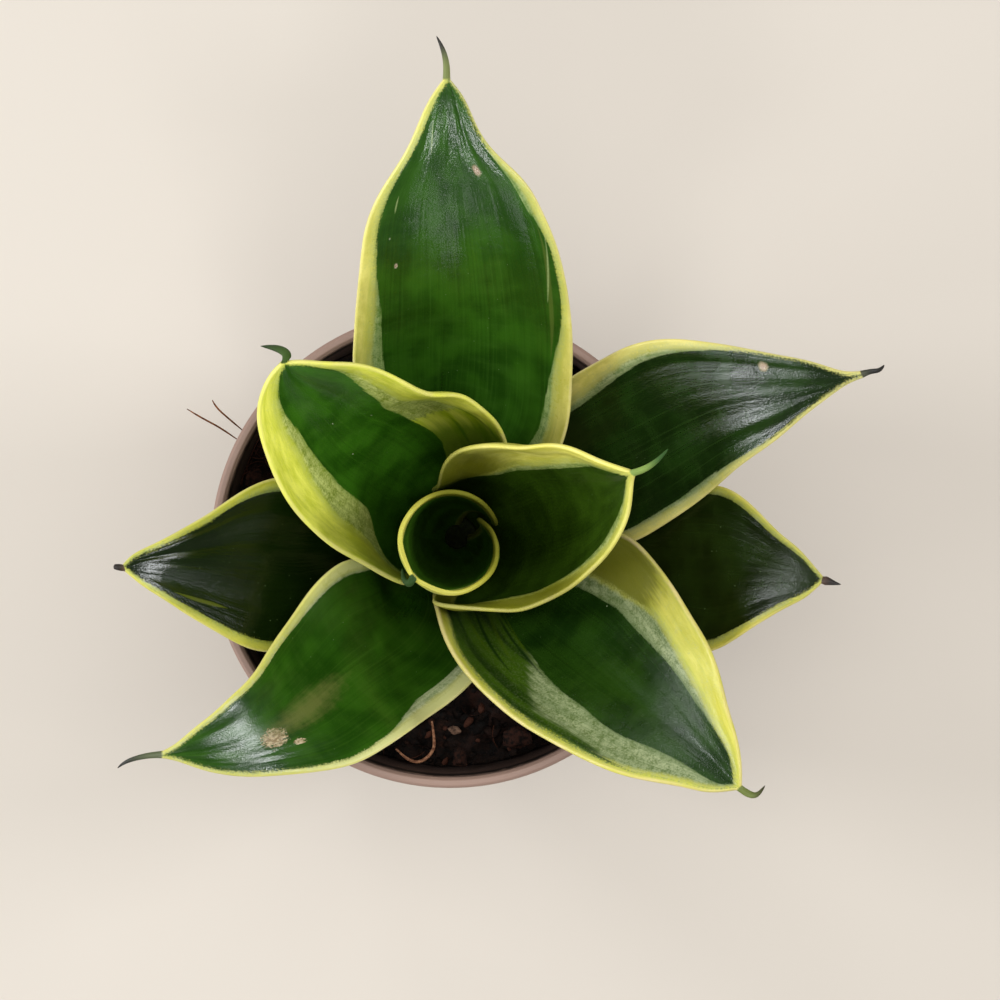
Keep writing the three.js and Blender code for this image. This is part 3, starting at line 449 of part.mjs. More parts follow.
const root = new THREE.Group();
root.name = 'potted_golden_hahnii';
function add(name, geometry, mat) {
  const mesh = new THREE.Mesh(geometry, mat);
  mesh.name = name;
  root.add(mesh);
  return mesh;
}

// ================================================================ pot
const wallR = z => POT_FOOT_R + (POT_TOP_R - POT_FOOT_R) * z / (POT_H - POT_RIM_BAND);
const potInner = z => wallR(z) - POT_WALL;
{
  const rimZ = POT_H - POT_RIM_BAND;
  const inTop = POT_RIM_R - POT_RIM_W;
  const shell = turned([
    [0, 0], [FOOT_DISC_R, 0], [FOOT_DISC_R + 1.2, FOOT_RECESS], [FOOT_RING_IN - 1.2, FOOT_RECESS],
    [FOOT_RING_IN, 0], [POT_FOOT_R - 0.9, 0], [POT_FOOT_R, 0.9],
    [POT_TOP_R, rimZ], [POT_RIM_R - 0.3, rimZ], [POT_RIM_R, rimZ + 0.35],
    [POT_RIM_R, POT_H - 0.7], [POT_RIM_R - 0.7, POT_H],
    [inTop + 0.6, POT_H], [inTop, POT_H - 0.7],
    [potInner(rimZ), rimZ - 1.5], [potInner(POT_FLOOR + 3.2), POT_FLOOR + 3.2],
    [potInner(POT_FLOOR) - 2.2, POT_FLOOR + FOOT_RECESS], [0, POT_FLOOR + FOOT_RECESS],
  ], 48);
  let pot = toManifold(shell);
  for (let i = 0; i < DRAIN_N; i++) {
    const a = 2 * Math.PI * (i + 0.5) / DRAIN_N;
    const hole = new THREE.CylinderGeometry(DRAIN_R, DRAIN_R, 12, 12);
    hole.rotateX(Math.PI / 2);
    hole.translate(DRAIN_AT * Math.cos(a), DRAIN_AT * Math.sin(a), 1);
    pot = pot.subtract(toManifold(hole));
  }
  add('pot', fromManifold(pot), material('pot_plastic', 0x8e7468, 0.55));
}

// ================================================================ leaves
const crownProfile = grow => [
  [0, 52 - grow], [5 + grow, 52 - grow], [9 + grow, 56], [CROWN_R - 4 + grow, 66],
  [CROWN_R + grow, 71.5], [CROWN_R + grow, CROWN_TOP - 0.9 + grow * 0.5], [CROWN_R - 0.9 + grow, CROWN_TOP + grow], [0, CROWN_TOP + grow],
];
for (const leaf of LEAVES)
  add(leaf.name, leafBody(leaf), material(leaf.name + '_blade', leaf.color, 0.35));
add('crown', turned(crownProfile(0), 24).translate(AXIS_X, AXIS_Y, 0), material('crown_stem', 0xb9a67c, 0.8));

// ================================================================ soil
// lumpy top of the potting mix, a little higher round the plant
function soilTop(x, y) {
  const r = Math.hypot(x, y);
  const lumps = 0.75 * Math.sin(0.31 * x + 1.3) * Math.cos(0.27 * y - 0.6)
    + 0.5 * Math.sin(0.62 * x - 0.55 * y + 2.1) + 0.35 * Math.cos(0.9 * y + 0.45 * x);
  const mound = 1.1 * Math.exp(-Math.pow((r - 20) / 12, 2));
  return SOIL_TOP + lumps + mound - 0.9 * Math.max(0, (r - 38) / 9);
}
{
  const RINGS = 9, SEG = 44, pos = [], idx = [];
  const floorZ = POT_FLOOR + FOOT_RECESS + SOIL_GAP;
  const rimOf = z => potInner(z) - SOIL_GAP - 0.06;
  pos.push(0, 0, soilTop(0, 0));
  for (let i = 1; i <= RINGS; i++) for (let j = 0; j < SEG; j++) {
    const a = 2 * Math.PI * j / SEG, f = Math.sqrt(i / RINGS) * 0.55 + 0.45 * i / RINGS;
    const R = rimOf(SOIL_TOP - 2) * f, x = R * Math.cos(a), y = R * Math.sin(a);
    pos.push(x, y, soilTop(x, y));
  }
  const side = [SOIL_TOP - 8, 40, floorZ + 3.2];
  for (const z of side) for (let j = 0; j < SEG; j++) {
    const a = 2 * Math.PI * j / SEG, R = Math.min(rimOf(z), rimOf(SOIL_TOP - 2));
    pos.push(R * Math.cos(a), R * Math.sin(a), z);
  }
  for (let j = 0; j < SEG; j++) {
    const a = 2 * Math.PI * j / SEG, R = rimOf(floorZ) - 2.4;
    pos.push(R * Math.cos(a), R * Math.sin(a), floorZ);
  }
  pos.push(0, 0, floorZ);
  const rings = RINGS + side.length + 1, at = (i, j) => 1 + (i - 1) * SEG + (j % SEG);
  for (let j = 0; j < SEG; j++) {
    idx.push(0, at(1, j), at(1, j + 1));
    for (let i = 1; i < rings; i++) idx.push(at(i, j), at(i + 1, j), at(i + 1, j + 1), at(i, j), at(i + 1, j + 1), at(i, j + 1));
    idx.push(at(rings, j), 1 + rings * SEG, at(rings, j + 1));
  }
  const g = new THREE.BufferGeometry();
  g.setAttribute('position', new THREE.Float32BufferAttribute(pos, 3));
  g.setIndex(idx);
  let soil = toManifold(outward(g));
  // room for the crown and for the foot of every leaf
  let room = toManifold(turned(crownProfile(SOIL_GAP), 24).translate(AXIS_X, AXIS_Y, 0));
  const plug = new THREE.CylinderGeometry(13, 11, 30, 20);
  plug.rotateX(Math.PI / 2);
  plug.translate(AXIS_X, AXIS_Y, 87);
  room = room.add(toManifold(plug));
  for (const leaf of LEAVES.slice(0, 6))    // the three inmost stand on the crown alone
    room = room.add(toManifold(leafBody(leaf, { tEnd: 6 / LOFT_V, extra: SOIL_GAP, drop: 0.5, nv: 6, tip: false })));
  soil = largest(soil.subtract(room));
  add('soil', fromManifold(soil), material('potting_mix', 0x2a1a12, 0.95));
}

// ================================================================ loose bits
const onSoil = (x, y, lift) => soilTop(x, y) + lift;
// a thin root that comes up and loops over the mix near the front rim
add('surface_root', strand([[-11.6, -42.6], [-9.2, -44.6], [-6.6, -45.2], [-4.3, -43.6], [-3.5, -41.0], [-4.0, -36.6]]
  .map(([x, y], i) => [x, y, onSoil(x, y, [1.0, 1.5, 2.0, 2.1, 1.6, 1.1][i])]), 0.33, 20), material('root_skin', 0x9a6a4c, 0.7));
// two coir fibres that stick out over the rim on the left
add('coir_fibre_1', strand([[-44.6, 22.6], [-48.0, 25.2], [-51.2, 27.0], [-54.6, 29.0]]
  .map(([x, y], i) => [x, y, [80.6, 88.9, 90.4, 89.6][i] + 0.25]), 0.2, 12, 5), material('coir', 0x7a4a2e, 0.85));
add('coir_fibre_2', strand([[-43.6, 24.6], [-46.2, 27.2], [-48.2, 29.2], [-49.2, 30.8]]
  .map(([x, y], i) => [x, y, [81.2, 89.2, 91.0, 91.2][i] + 0.25]), 0.2, 12, 5), material('coir', 0x7a4a2e, 0.85));
const CHIPS = [   // x, y, size, turn, colour, flatness
  ['bark_chip_1', 14.2, -40.2, 2.6, 0.4, 0x6b3a26, 0.45],
  ['bark_chip_2', 2.0, -44.0, 1.9, 1.3, 0x3a2419, 0.6],
  ['bark_chip_3', -41.2, 14.6, 2.3, 2.2, 0x5a3220, 0.5],
  ['bark_chip_4', -38.5, 21.5, 1.8, 0.9, 0x4a2b1c, 0.55],
  ['perlite_grain', 0.8, -38.6, 1.1, 0.2, 0xb59c92, 0.8],
];
for (const [name, x, y, s, turn, color, flat] of CHIPS) {
  const g0 = new THREE.IcosahedronGeometry(s, 1);
  g0.deleteAttribute('normal'); g0.deleteAttribute('uv');
  const g = mergeVertices(g0, 1e-3), p = g.attributes.position;
  for (let i = 0; i < p.count; i++) {
    const k = 1 + 0.2 * Math.sin(5.1 * p.getX(i) + 2.3 * p.getY(i) + turn * 7) * Math.cos(3.7 * p.getZ(i) + turn);
    p.setXYZ(i, p.getX(i) * k * 1.2, p.getY(i) * k * 0.85, p.getZ(i) * k * flat);
  }
  g.rotateZ(turn);
  g.computeBoundingBox();
  let top = -1e9;
  for (let i = 0; i < p.count; i++) top = Math.max(top, soilTop(x + p.getX(i), y + p.getY(i)) - p.getZ(i));
  g.translate(x, y, top + 0.45);
  add(name, outward(g), material(name, color, 0.9));
}

export default root;
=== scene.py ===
# A dwarf snake plant in a small nursery pot, seen from straight above.
# All lengths in the tables are millimetres; the objects are in metres.
import math

import bmesh
import bpy
import numpy as np
from mathutils import Matrix, Vector


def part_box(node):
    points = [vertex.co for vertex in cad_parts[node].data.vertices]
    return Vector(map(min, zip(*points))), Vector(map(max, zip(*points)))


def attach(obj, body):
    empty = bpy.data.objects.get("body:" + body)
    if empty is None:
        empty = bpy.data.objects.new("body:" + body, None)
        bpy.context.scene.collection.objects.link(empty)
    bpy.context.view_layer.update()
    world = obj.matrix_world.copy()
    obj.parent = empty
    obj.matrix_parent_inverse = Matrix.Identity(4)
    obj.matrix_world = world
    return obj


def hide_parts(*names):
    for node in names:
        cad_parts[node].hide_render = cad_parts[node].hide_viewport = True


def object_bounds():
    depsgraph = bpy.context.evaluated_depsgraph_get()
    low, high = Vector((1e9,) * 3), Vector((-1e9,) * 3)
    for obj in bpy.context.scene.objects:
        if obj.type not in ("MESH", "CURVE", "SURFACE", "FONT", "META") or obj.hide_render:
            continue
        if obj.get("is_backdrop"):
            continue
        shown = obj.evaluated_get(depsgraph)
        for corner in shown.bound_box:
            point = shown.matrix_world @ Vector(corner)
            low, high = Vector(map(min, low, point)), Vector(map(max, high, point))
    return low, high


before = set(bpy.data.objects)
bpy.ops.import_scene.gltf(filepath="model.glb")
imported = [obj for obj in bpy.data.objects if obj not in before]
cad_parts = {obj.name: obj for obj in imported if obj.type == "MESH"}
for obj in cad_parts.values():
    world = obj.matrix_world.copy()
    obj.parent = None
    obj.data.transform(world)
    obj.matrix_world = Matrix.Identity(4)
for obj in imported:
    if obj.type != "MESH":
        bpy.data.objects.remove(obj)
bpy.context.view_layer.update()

MM = 0.001
C = bpy.context.scene.collection

# ------------------------------------------------------------------ camera
cam_data = bpy.data.cameras.new("camera")
cam_data.lens = 103.68
cam_data.sensor_width = 36.0
cam_data.clip_start, cam_data.clip_end = 0.01, 20.0
cam = bpy.data.objects.new("camera", cam_data)
cam.location = (0.0104, 0.0101, 0.688)
cam.rotation_euler = (0, 0, 0)
C.objects.link(cam)
bpy.context.scene.camera = cam

# Each leaf: a net of 17 stations from base to tip, 9 points across each from
# the right edge to the left one; then the point as x, y, z, half width; and
# the thickness at the base and in the blade.
LEAVES = [
 {"name": "leaf_1", "t": (1.7, 2.2), "awn": [(72.79, -5.4, 130, 1.05), (73.87, -5.63, 130.7, 0.78), (74.96, -5.94, 131.3, 0.45), (76.23, -6.21, 132, 0.1)],
  "net": [
   14.91, -11.29, 76, 16.79, -8.8, 76, 18.31, -6, 76, 19.42, -2.96, 76, 20.1, 0.21, 76, 20.31, 3.44, 76, 20.06, 6.62, 76, 19.35, 9.65, 76, 18.2, 12.47, 76,
   17.64, -12.33, 82.83, 19.65, -9.78, 81.96, 21.29, -6.89, 81.32, 22.52, -3.74, 80.93, 23.29, -0.41, 80.81, 23.59, 2.92, 80.94, 23.42, 6.24, 81.33, 22.78, 9.43, 81.96, 21.69, 12.42, 82.81,
   21.04, -13.6, 88.07, 23.01, -10.83, 86.97, 24.61, -7.75, 86.16, 25.79, -4.42, 85.67, 26.53, -0.93, 85.5, 26.8, 2.52, 85.66, 26.63, 5.94, 86.12, 26.02, 9.27, 86.88, 24.99, 12.41, 87.92,
   24.81, -14.87, 92.59, 26.64, -11.83, 91.51, 28.1, -8.52, 90.71, 29.16, -5, 90.23, 29.8, -1.35, 90.07, 29.99, 2.2, 90.22, 29.79, 5.72, 90.66, 29.18, 9.15, 91.39, 28.18, 12.41, 92.39,
   28.83, -16.07, 96.78, 30.42, -12.73, 95.8, 31.68, -9.18, 95.08, 32.57, -5.48, 94.65, 33.1, -1.68, 94.5, 33.25, 1.95, 94.63, 33.06, 5.57, 95.02, 32.52, 9.11, 95.67, 31.66, 12.53, 96.57,
   32.86, -17.05, 100.82, 34.21, -13.46, 99.94, 35.27, -9.71, 99.3, 36.01, -5.86, 98.91, 36.45, -1.94, 98.78, 36.56, 1.76, 98.9, 36.38, 5.46, 99.24, 35.93, 9.1, 99.81, 35.19, 12.66, 100.59,
   36.72, -17.85, 104.8, 37.9, -14.06, 103.97, 38.82, -10.17, 103.38, 39.47, -6.19, 103.02, 39.83, -2.15, 102.9, 39.91, 1.63, 103, 39.74, 5.41, 103.32, 39.33, 9.13, 103.84, 38.66, 12.79, 104.57,
   40.43, -18.52, 108.69, 41.51, -14.59, 107.88, 42.35, -10.56, 107.3, 42.93, -6.47, 106.95, 43.25, -2.32, 106.83, 43.31, 1.53, 106.93, 43.15, 5.38, 107.23, 42.77, 9.19, 107.74, 42.16, 12.93, 108.44,
   44.07, -19.09, 112.38, 45.08, -15.05, 111.59, 45.85, -10.91, 111.02, 46.4, -6.71, 110.68, 46.7, -2.48, 110.56, 46.77, 1.44, 110.66, 46.64, 5.35, 110.95, 46.3, 9.22, 111.44, 45.76, 13.04, 112.11,
   47.61, -19.54, 115.89, 48.58, -15.41, 115.1, 49.33, -11.2, 114.53, 49.87, -6.94, 114.18, 50.19, -2.63, 114.07, 50.29, 1.32, 114.17, 50.2, 5.27, 114.45, 49.92, 9.19, 114.94, 49.46, 13.07, 115.61,
   51.01, -19.9, 119.22, 51.99, -15.73, 118.39, 52.76, -11.48, 117.81, 53.34, -7.17, 117.45, 53.7, -2.82, 117.33, 53.85, 1.15, 117.43, 53.82, 5.13, 117.73, 53.62, 9.08, 118.22, 53.25, 12.98, 118.9,
   54.72, -18.39, 121.93, 55.58, -14.63, 121.23, 56.29, -10.82, 120.73, 56.83, -6.96, 120.42, 57.22, -3.06, 120.32, 57.43, 0.52, 120.41, 57.5, 4.11, 120.66, 57.44, 7.68, 121.09, 57.23, 11.22, 121.68,
   58.61, -15.67, 124.16, 59.29, -12.65, 123.66, 59.87, -9.59, 123.3, 60.34, -6.5, 123.08, 60.72, -3.38, 123.01, 60.96, -0.63, 123.06, 61.12, 2.13, 123.23, 61.2, 4.88, 123.51, 61.2, 7.62, 123.9,
   62.4, -13.08, 126.12, 62.93, -10.78, 125.79, 63.4, -8.47, 125.55, 63.8, -6.14, 125.41, 64.15, -3.78, 125.36, 64.39, -1.9, 125.39, 64.59, 0.01, 125.48, 64.74, 1.9, 125.64, 64.86, 3.8, 125.85,
   66.06, -10.84, 127.81, 66.45, -9.22, 127.61, 66.82, -7.58, 127.46, 67.15, -5.95, 127.38, 67.45, -4.29, 127.35, 67.66, -2.99, 127.37, 67.86, -1.68, 127.42, 68.03, -0.37, 127.51, 68.19, 0.93, 127.63,
   69.51, -8.89, 129.15, 69.77, -7.89, 129.06, 70.02, -6.89, 128.99, 70.25, -5.89, 128.95, 70.47, -4.87, 128.94, 70.61, -4.21, 128.94, 70.74, -3.54, 128.96, 70.87, -2.88, 128.99, 70.99, -2.22, 129.03,
   72.61, -6.13, 130.01, 72.65, -5.95, 130, 72.7, -5.76, 130, 72.74, -5.58, 130, 72.79, -5.4, 130, 72.83, -5.22, 130, 72.88, -5.04, 130, 72.92, -4.85, 130, 72.96, -4.67, 130.01,
  ]},
 {"name": "leaf_2", "t": (1.7, 2.2), "awn": [(-62.84, -3.15, 127, 0.7), (-63.47, -3.04, 127.4, 0.66), (-64.1, -2.93, 127.8, 0.6), (-64.75, -2.87, 128, 0.42)],
  "net": [
   -14.54, 11.49, 76, -15.56, 9.12, 76, -16.11, 6.52, 76, -16.17, 3.8, 76, -15.76, 1.01, 76, -14.87, -1.73, 76, -13.54, -4.37, 76, -11.81, -6.8, 76, -9.73, -8.95, 76,
   -19.73, 11.6, 83.01, -20.12, 8.56, 82.04, -19.97, 5.39, 81.29, -19.29, 2.21, 80.78, -18.12, -0.91, 80.51, -16.62, -3.83, 80.44, -14.91, -6.68, 80.5, -12.78, -9.22, 80.81, -10.18, -11.14, 81.46,
   -22.41, 11.6, 87.75, -22.78, 8.17, 86.61, -22.58, 4.63, 85.76, -21.85, 1.1, 85.22, -20.61, -2.35, 85.01, -19.02, -5.47, 85.09, -17.08, -8.38, 85.44, -14.84, -10.98, 86.05, -12.27, -13.06, 86.97,
   -23.27, 11.78, 92.3, -24.07, 8.16, 91.1, -24.33, 4.37, 90.22, -24.04, 0.51, 89.67, -23.22, -3.32, 89.46, -21.99, -6.78, 89.58, -20.35, -10.05, 90, -18.32, -13.02, 90.72, -15.94, -15.58, 91.74,
   -24.69, 12.08, 96.48, -25.75, 8.27, 95.32, -26.33, 4.28, 94.47, -26.41, 0.19, 93.95, -26, -3.92, 93.77, -25.2, -7.65, 93.9, -24, -11.25, 94.33, -22.42, -14.65, 95.03, -20.48, -17.77, 96.02,
   -26.42, 12.57, 100.5, -27.69, 8.58, 99.37, -28.54, 4.41, 98.55, -28.97, 0.12, 98.05, -28.95, -4.22, 97.88, -28.55, -8.16, 98.02, -27.8, -12.04, 98.43, -26.69, -15.79, 99.11, -25.24, -19.36, 100.05,
   -28.34, 13.22, 104.43, -29.84, 9.08, 103.29, -30.96, 4.75, 102.46, -31.7, 0.29, 101.96, -32.02, -4.25, 101.79, -31.97, -8.35, 101.93, -31.59, -12.42, 102.34, -30.88, -16.41, 103.01, -29.85, -20.27, 103.94,
   -30.57, 13.89, 108.22, -32.26, 9.65, 107.03, -33.61, 5.2, 106.18, -34.59, 0.62, 105.66, -35.19, -4.06, 105.49, -35.4, -8.24, 105.62, -35.31, -12.41, 106.03, -34.91, -16.52, 106.71, -34.22, -20.54, 107.64,
   -33.29, 14.54, 111.72, -35.06, 10.22, 110.52, -36.52, 5.7, 109.65, -37.64, 1.05, 109.12, -38.42, -3.71, 108.95, -38.8, -7.82, 109.08, -38.93, -11.95, 109.46, -38.78, -16.03, 110.1, -38.37, -20.05, 110.99,
   -37.07, 13.67, 114.51, -38.61, 9.62, 113.49, -39.9, 5.42, 112.76, -40.93, 1.12, 112.32, -41.7, -3.27, 112.17, -42.14, -7.05, 112.28, -42.38, -10.85, 112.6, -42.41, -14.63, 113.15, -42.24, -18.36, 113.9,
   -41.64, 11.25, 116.76, -42.73, 7.84, 116.06, -43.65, 4.35, 115.56, -44.41, 0.8, 115.25, -45, -2.79, 115.15, -45.4, -6.14, 115.24, -45.65, -9.51, 115.5, -45.75, -12.86, 115.93, -45.7, -16.18, 116.53,
   -46.41, 7.92, 118.77, -47.01, 5.39, 118.38, -47.53, 2.83, 118.11, -47.97, 0.24, 117.94, -48.32, -2.36, 117.88, -48.61, -5.32, 117.95, -48.78, -8.27, 118.17, -48.85, -11.21, 118.52, -48.8, -14.14, 119.01,
   -50.75, 5.23, 120.83, -51.03, 3.43, 120.63, -51.26, 1.61, 120.48, -51.46, -0.22, 120.39, -51.61, -2.04, 120.36, -51.74, -4.59, 120.41, -51.8, -7.12, 120.59, -51.77, -9.65, 120.87, -51.66, -12.16, 121.27,
   -54.69, 2.95, 122.79, -54.75, 1.74, 122.69, -54.8, 0.52, 122.61, -54.83, -0.72, 122.56, -54.83, -1.93, 122.55, -54.8, -4, 122.59, -54.71, -6.05, 122.72, -54.57, -8.1, 122.94, -54.37, -10.14, 123.24,
   -58.18, 1.15, 124.56, -58.13, 0.34, 124.51, -58.07, -0.46, 124.47, -58, -1.28, 124.44, -57.92, -2.08, 124.43, -57.74, -3.65, 124.46, -57.53, -5.19, 124.55, -57.29, -6.74, 124.7, -57.01, -8.27, 124.91,
   -61.17, -0.47, 126.03, -61.07, -0.99, 126, -60.96, -1.5, 125.98, -60.84, -2.03, 125.97, -60.73, -2.54, 125.97, -60.5, -3.49, 125.98, -60.27, -4.42, 126.02, -60.02, -5.36, 126.09, -59.75, -6.29, 126.19,
   -63.08, -2.44, 127.01, -63.02, -2.61, 127.01, -62.96, -2.79, 127, -62.9, -2.97, 127, -62.84, -3.15, 127, -62.78, -3.32, 127, -62.72, -3.5, 127, -62.65, -3.68, 127.01, -62.59, -3.85, 127.01,
  ]},
 {"name": "leaf_3", "t": (1.7, 2.3), "awn": [(78.96, 33.94, 141, 0.7), (80.76, 34.47, 141.8, 0.5), (82.12, 34.7, 143, 0.42), (82.86, 35.55, 145, 0.15)],
  "net": [
   16.8, -2.74, 76, 17.19, -0.19, 76, 17.03, 2.49, 76, 16.33, 5.2, 76, 15.11, 7.82, 76, 13.42, 10.25, 76, 11.34, 12.4, 76, 8.94, 14.18, 76, 6.33, 15.52, 76,
   21.49, -1.71, 85.05, 21.66, 1.41, 83.82, 21.15, 4.64, 82.87, 19.98, 7.81, 82.25, 18.2, 10.79, 81.99, 15.99, 13.35, 82.1, 13.4, 15.49, 82.54, 10.57, 17.14, 83.28, 7.64, 18.28, 84.24,
   25.27, -0.85, 91.63, 25.41, 2.72, 90.05, 24.82, 6.4, 88.86, 23.52, 10.01, 88.12, 21.58, 13.4, 87.87, 19.23, 16.25, 88.09, 16.48, 18.66, 88.74, 13.47, 20.53, 89.78, 10.29, 21.75, 91.19,
   28.45, -0.09, 97.55, 28.7, 3.82, 95.87, 28.22, 7.85, 94.62, 27.04, 11.86, 93.85, 25.19, 15.7, 93.59, 22.95, 18.96, 93.81, 20.27, 21.83, 94.48, 17.26, 24.18, 95.56, 14.02, 25.94, 97.03,
   32.71, 0.55, 102.84, 32.71, 4.85, 101.25, 32.08, 9.23, 100.07, 30.84, 13.58, 99.36, 29.01, 17.78, 99.12, 26.86, 21.4, 99.32, 24.31, 24.71, 99.92, 21.42, 27.62, 100.92, 18.26, 30.07, 102.28,
   37.47, 1.8, 107.65, 37.09, 6.32, 106.26, 36.19, 10.87, 105.24, 34.81, 15.37, 104.63, 32.96, 19.74, 104.42, 30.86, 23.6, 104.6, 28.41, 27.23, 105.13, 25.67, 30.56, 106, 22.66, 33.54, 107.2,
   42.32, 4.58, 112.02, 41.52, 8.93, 110.92, 40.36, 13.27, 110.13, 38.84, 17.54, 109.65, 36.99, 21.7, 109.49, 34.87, 25.63, 109.64, 32.47, 29.37, 110.1, 29.81, 32.88, 110.87, 26.93, 36.12, 111.93,
   47.03, 7.85, 116.29, 45.92, 11.91, 115.42, 44.54, 15.93, 114.79, 42.92, 19.89, 114.42, 41.05, 23.76, 114.29, 38.87, 27.66, 114.43, 36.46, 31.4, 114.83, 33.83, 34.95, 115.51, 31.02, 38.29, 116.45,
   50.8, 10.85, 120.38, 49.66, 14.66, 119.7, 48.34, 18.45, 119.21, 46.83, 22.19, 118.91, 45.16, 25.85, 118.81, 43.15, 29.73, 118.93, 40.97, 33.48, 119.27, 38.61, 37.1, 119.84, 36.09, 40.56, 120.64,
   53.63, 13.52, 124.28, 52.78, 17.1, 123.74, 51.79, 20.67, 123.35, 50.66, 24.21, 123.12, 49.41, 27.71, 123.04, 47.97, 31.3, 123.12, 46.41, 34.82, 123.38, 44.71, 38.26, 123.79, 42.9, 41.62, 124.37,
   56.02, 15.88, 127.94, 55.64, 19.18, 127.5, 55.16, 22.48, 127.18, 54.57, 25.77, 126.99, 53.89, 29.06, 126.93, 53.18, 32.05, 126.98, 52.39, 35.02, 127.14, 51.52, 37.96, 127.41, 50.57, 40.87, 127.78,
   59.44, 18.61, 131.18, 59.32, 21.42, 130.84, 59.13, 24.23, 130.6, 58.87, 27.03, 130.46, 58.54, 29.84, 130.41, 58.2, 32.31, 130.45, 57.81, 34.78, 130.56, 57.37, 37.23, 130.75, 56.88, 39.66, 131.01,
   63.78, 21.85, 133.93, 63.7, 23.97, 133.72, 63.58, 26.1, 133.57, 63.43, 28.22, 133.48, 63.24, 30.35, 133.45, 63.02, 32.37, 133.47, 62.77, 34.39, 133.56, 62.49, 36.4, 133.7, 62.18, 38.39, 133.89,
   68.39, 25.92, 136.23, 68.27, 27.15, 136.14, 68.14, 28.39, 136.08, 68, 29.63, 136.05, 67.84, 30.86, 136.04, 67.62, 32.5, 136.06, 67.37, 34.13, 136.12, 67.1, 35.75, 136.23, 66.81, 37.37, 136.38,
   72.69, 29.35, 138.23, 72.58, 29.91, 138.21, 72.46, 30.47, 138.2, 72.33, 31.05, 138.19, 72.21, 31.6, 138.18, 71.95, 32.76, 138.2, 71.68, 33.9, 138.24, 71.4, 35.05, 138.3, 71.1, 36.18, 138.39,
   76.37, 31.98, 139.88, 76.31, 32.16, 139.88, 76.24, 32.34, 139.88, 76.17, 32.53, 139.88, 76.11, 32.71, 139.87, 75.92, 33.23, 139.88, 75.74, 33.74, 139.89, 75.54, 34.26, 139.91, 75.35, 34.77, 139.93,
   79.3, 33.26, 141.01, 79.22, 33.43, 141, 79.13, 33.6, 141, 79.05, 33.77, 141, 78.96, 33.94, 141, 78.88, 34.1, 141, 78.8, 34.27, 141, 78.71, 34.44, 141, 78.63, 34.61, 141.01,
  ]},
 {"name": "leaf_4", "t": (1.7, 2.3), "awn": [(-54.19, -38.68, 136, 0.7), (-57.4, -38.93, 136.4, 0.55), (-60.9, -39.93, 136, 0.38), (-63.13, -41.42, 134.4, 0.12)],
  "net": [
   -12.52, -0.52, 76, -11.92, -2.78, 76, -10.73, -4.86, 76, -8.99, -6.64, 76, -6.8, -8.04, 76, -4.26, -9, 76, -1.5, -9.46, 76, 1.36, -9.41, 76, 4.17, -8.84, 76,
   -16.09, -2.49, 84.77, -14.67, -5.29, 83.58, -12.36, -7.59, 82.76, -9.49, -9.45, 82.24, -6.52, -11.28, 81.75, -2.62, -12.35, 81.75, 1.43, -12.35, 82.32, 5.34, -11.52, 83.3, 8.69, -9.8, 84.64,
   -16.31, -1.7, 91.23, -15.45, -5.33, 89.61, -13.59, -8.72, 88.42, -10.89, -11.73, 87.69, -7.72, -14.43, 87.3, -3.51, -16.59, 87.5, 1.01, -17.57, 88.38, 5.47, -17.35, 89.83, 9.46, -15.92, 91.74,
   -15.81, -1.24, 97.11, -15.79, -5.37, 95.24, -14.76, -9.56, 93.83, -12.8, -13.59, 92.94, -10.05, -17.25, 92.61, -6.34, -20.53, 92.91, -2.1, -22.87, 93.87, 2.4, -24.09, 95.45, 6.82, -24.08, 97.56,
   -17.79, -1.71, 102.37, -17.87, -6.19, 100.41, -17.07, -10.79, 98.95, -15.41, -15.32, 98.04, -12.97, -19.58, 97.72, -10.01, -23.21, 97.98, -6.55, -26.27, 98.79, -2.73, -28.61, 100.11, 1.28, -30.14, 101.89,
   -21.64, -2.59, 107.16, -21.42, -7.41, 105.21, -20.41, -12.3, 103.77, -18.65, -17.11, 102.89, -16.17, -21.69, 102.59, -13.57, -25.28, 102.8, -10.57, -28.52, 103.45, -7.25, -31.29, 104.5, -3.69, -33.53, 105.95,
   -26.71, -6.87, 110.69, -25.67, -11.27, 109.21, -24.08, -15.63, 108.13, -21.98, -19.84, 107.47, -19.41, -23.85, 107.25, -16.64, -27.28, 107.44, -13.56, -30.4, 108, -10.23, -33.14, 108.93, -6.69, -35.45, 110.22,
   -30.66, -12.42, 114.1, -29.1, -16.06, 113.07, -27.19, -19.61, 112.32, -24.97, -23.03, 111.87, -22.47, -26.26, 111.72, -19.53, -29.46, 111.89, -16.35, -32.36, 112.39, -12.96, -34.93, 113.23, -9.41, -37.15, 114.38,
   -33.46, -16.58, 117.8, -31.79, -19.79, 117, -29.9, -22.92, 116.42, -27.77, -25.95, 116.07, -25.46, -28.84, 115.95, -22.67, -31.86, 116.09, -19.69, -34.65, 116.52, -16.55, -37.19, 117.23, -13.27, -39.45, 118.22,
   -35.43, -19.86, 121.41, -33.97, -22.84, 120.75, -32.33, -25.76, 120.28, -30.53, -28.61, 119.99, -28.57, -31.37, 119.9, -26.3, -34.24, 120.01, -23.87, -36.96, 120.34, -21.31, -39.51, 120.9, -18.64, -41.89, 121.67,
   -37.03, -22.75, 124.73, -35.96, -25.52, 124.18, -34.77, -28.27, 123.79, -33.45, -30.97, 123.55, -32.01, -33.63, 123.48, -30.54, -36.1, 123.55, -28.96, -38.51, 123.76, -27.3, -40.84, 124.12, -25.56, -43.08, 124.62,
   -39.2, -25.52, 127.67, -38.48, -28.03, 127.22, -37.67, -30.53, 126.9, -36.77, -33.01, 126.7, -35.78, -35.48, 126.64, -34.88, -37.53, 126.69, -33.92, -39.55, 126.82, -32.91, -41.54, 127.06, -31.84, -43.48, 127.38,
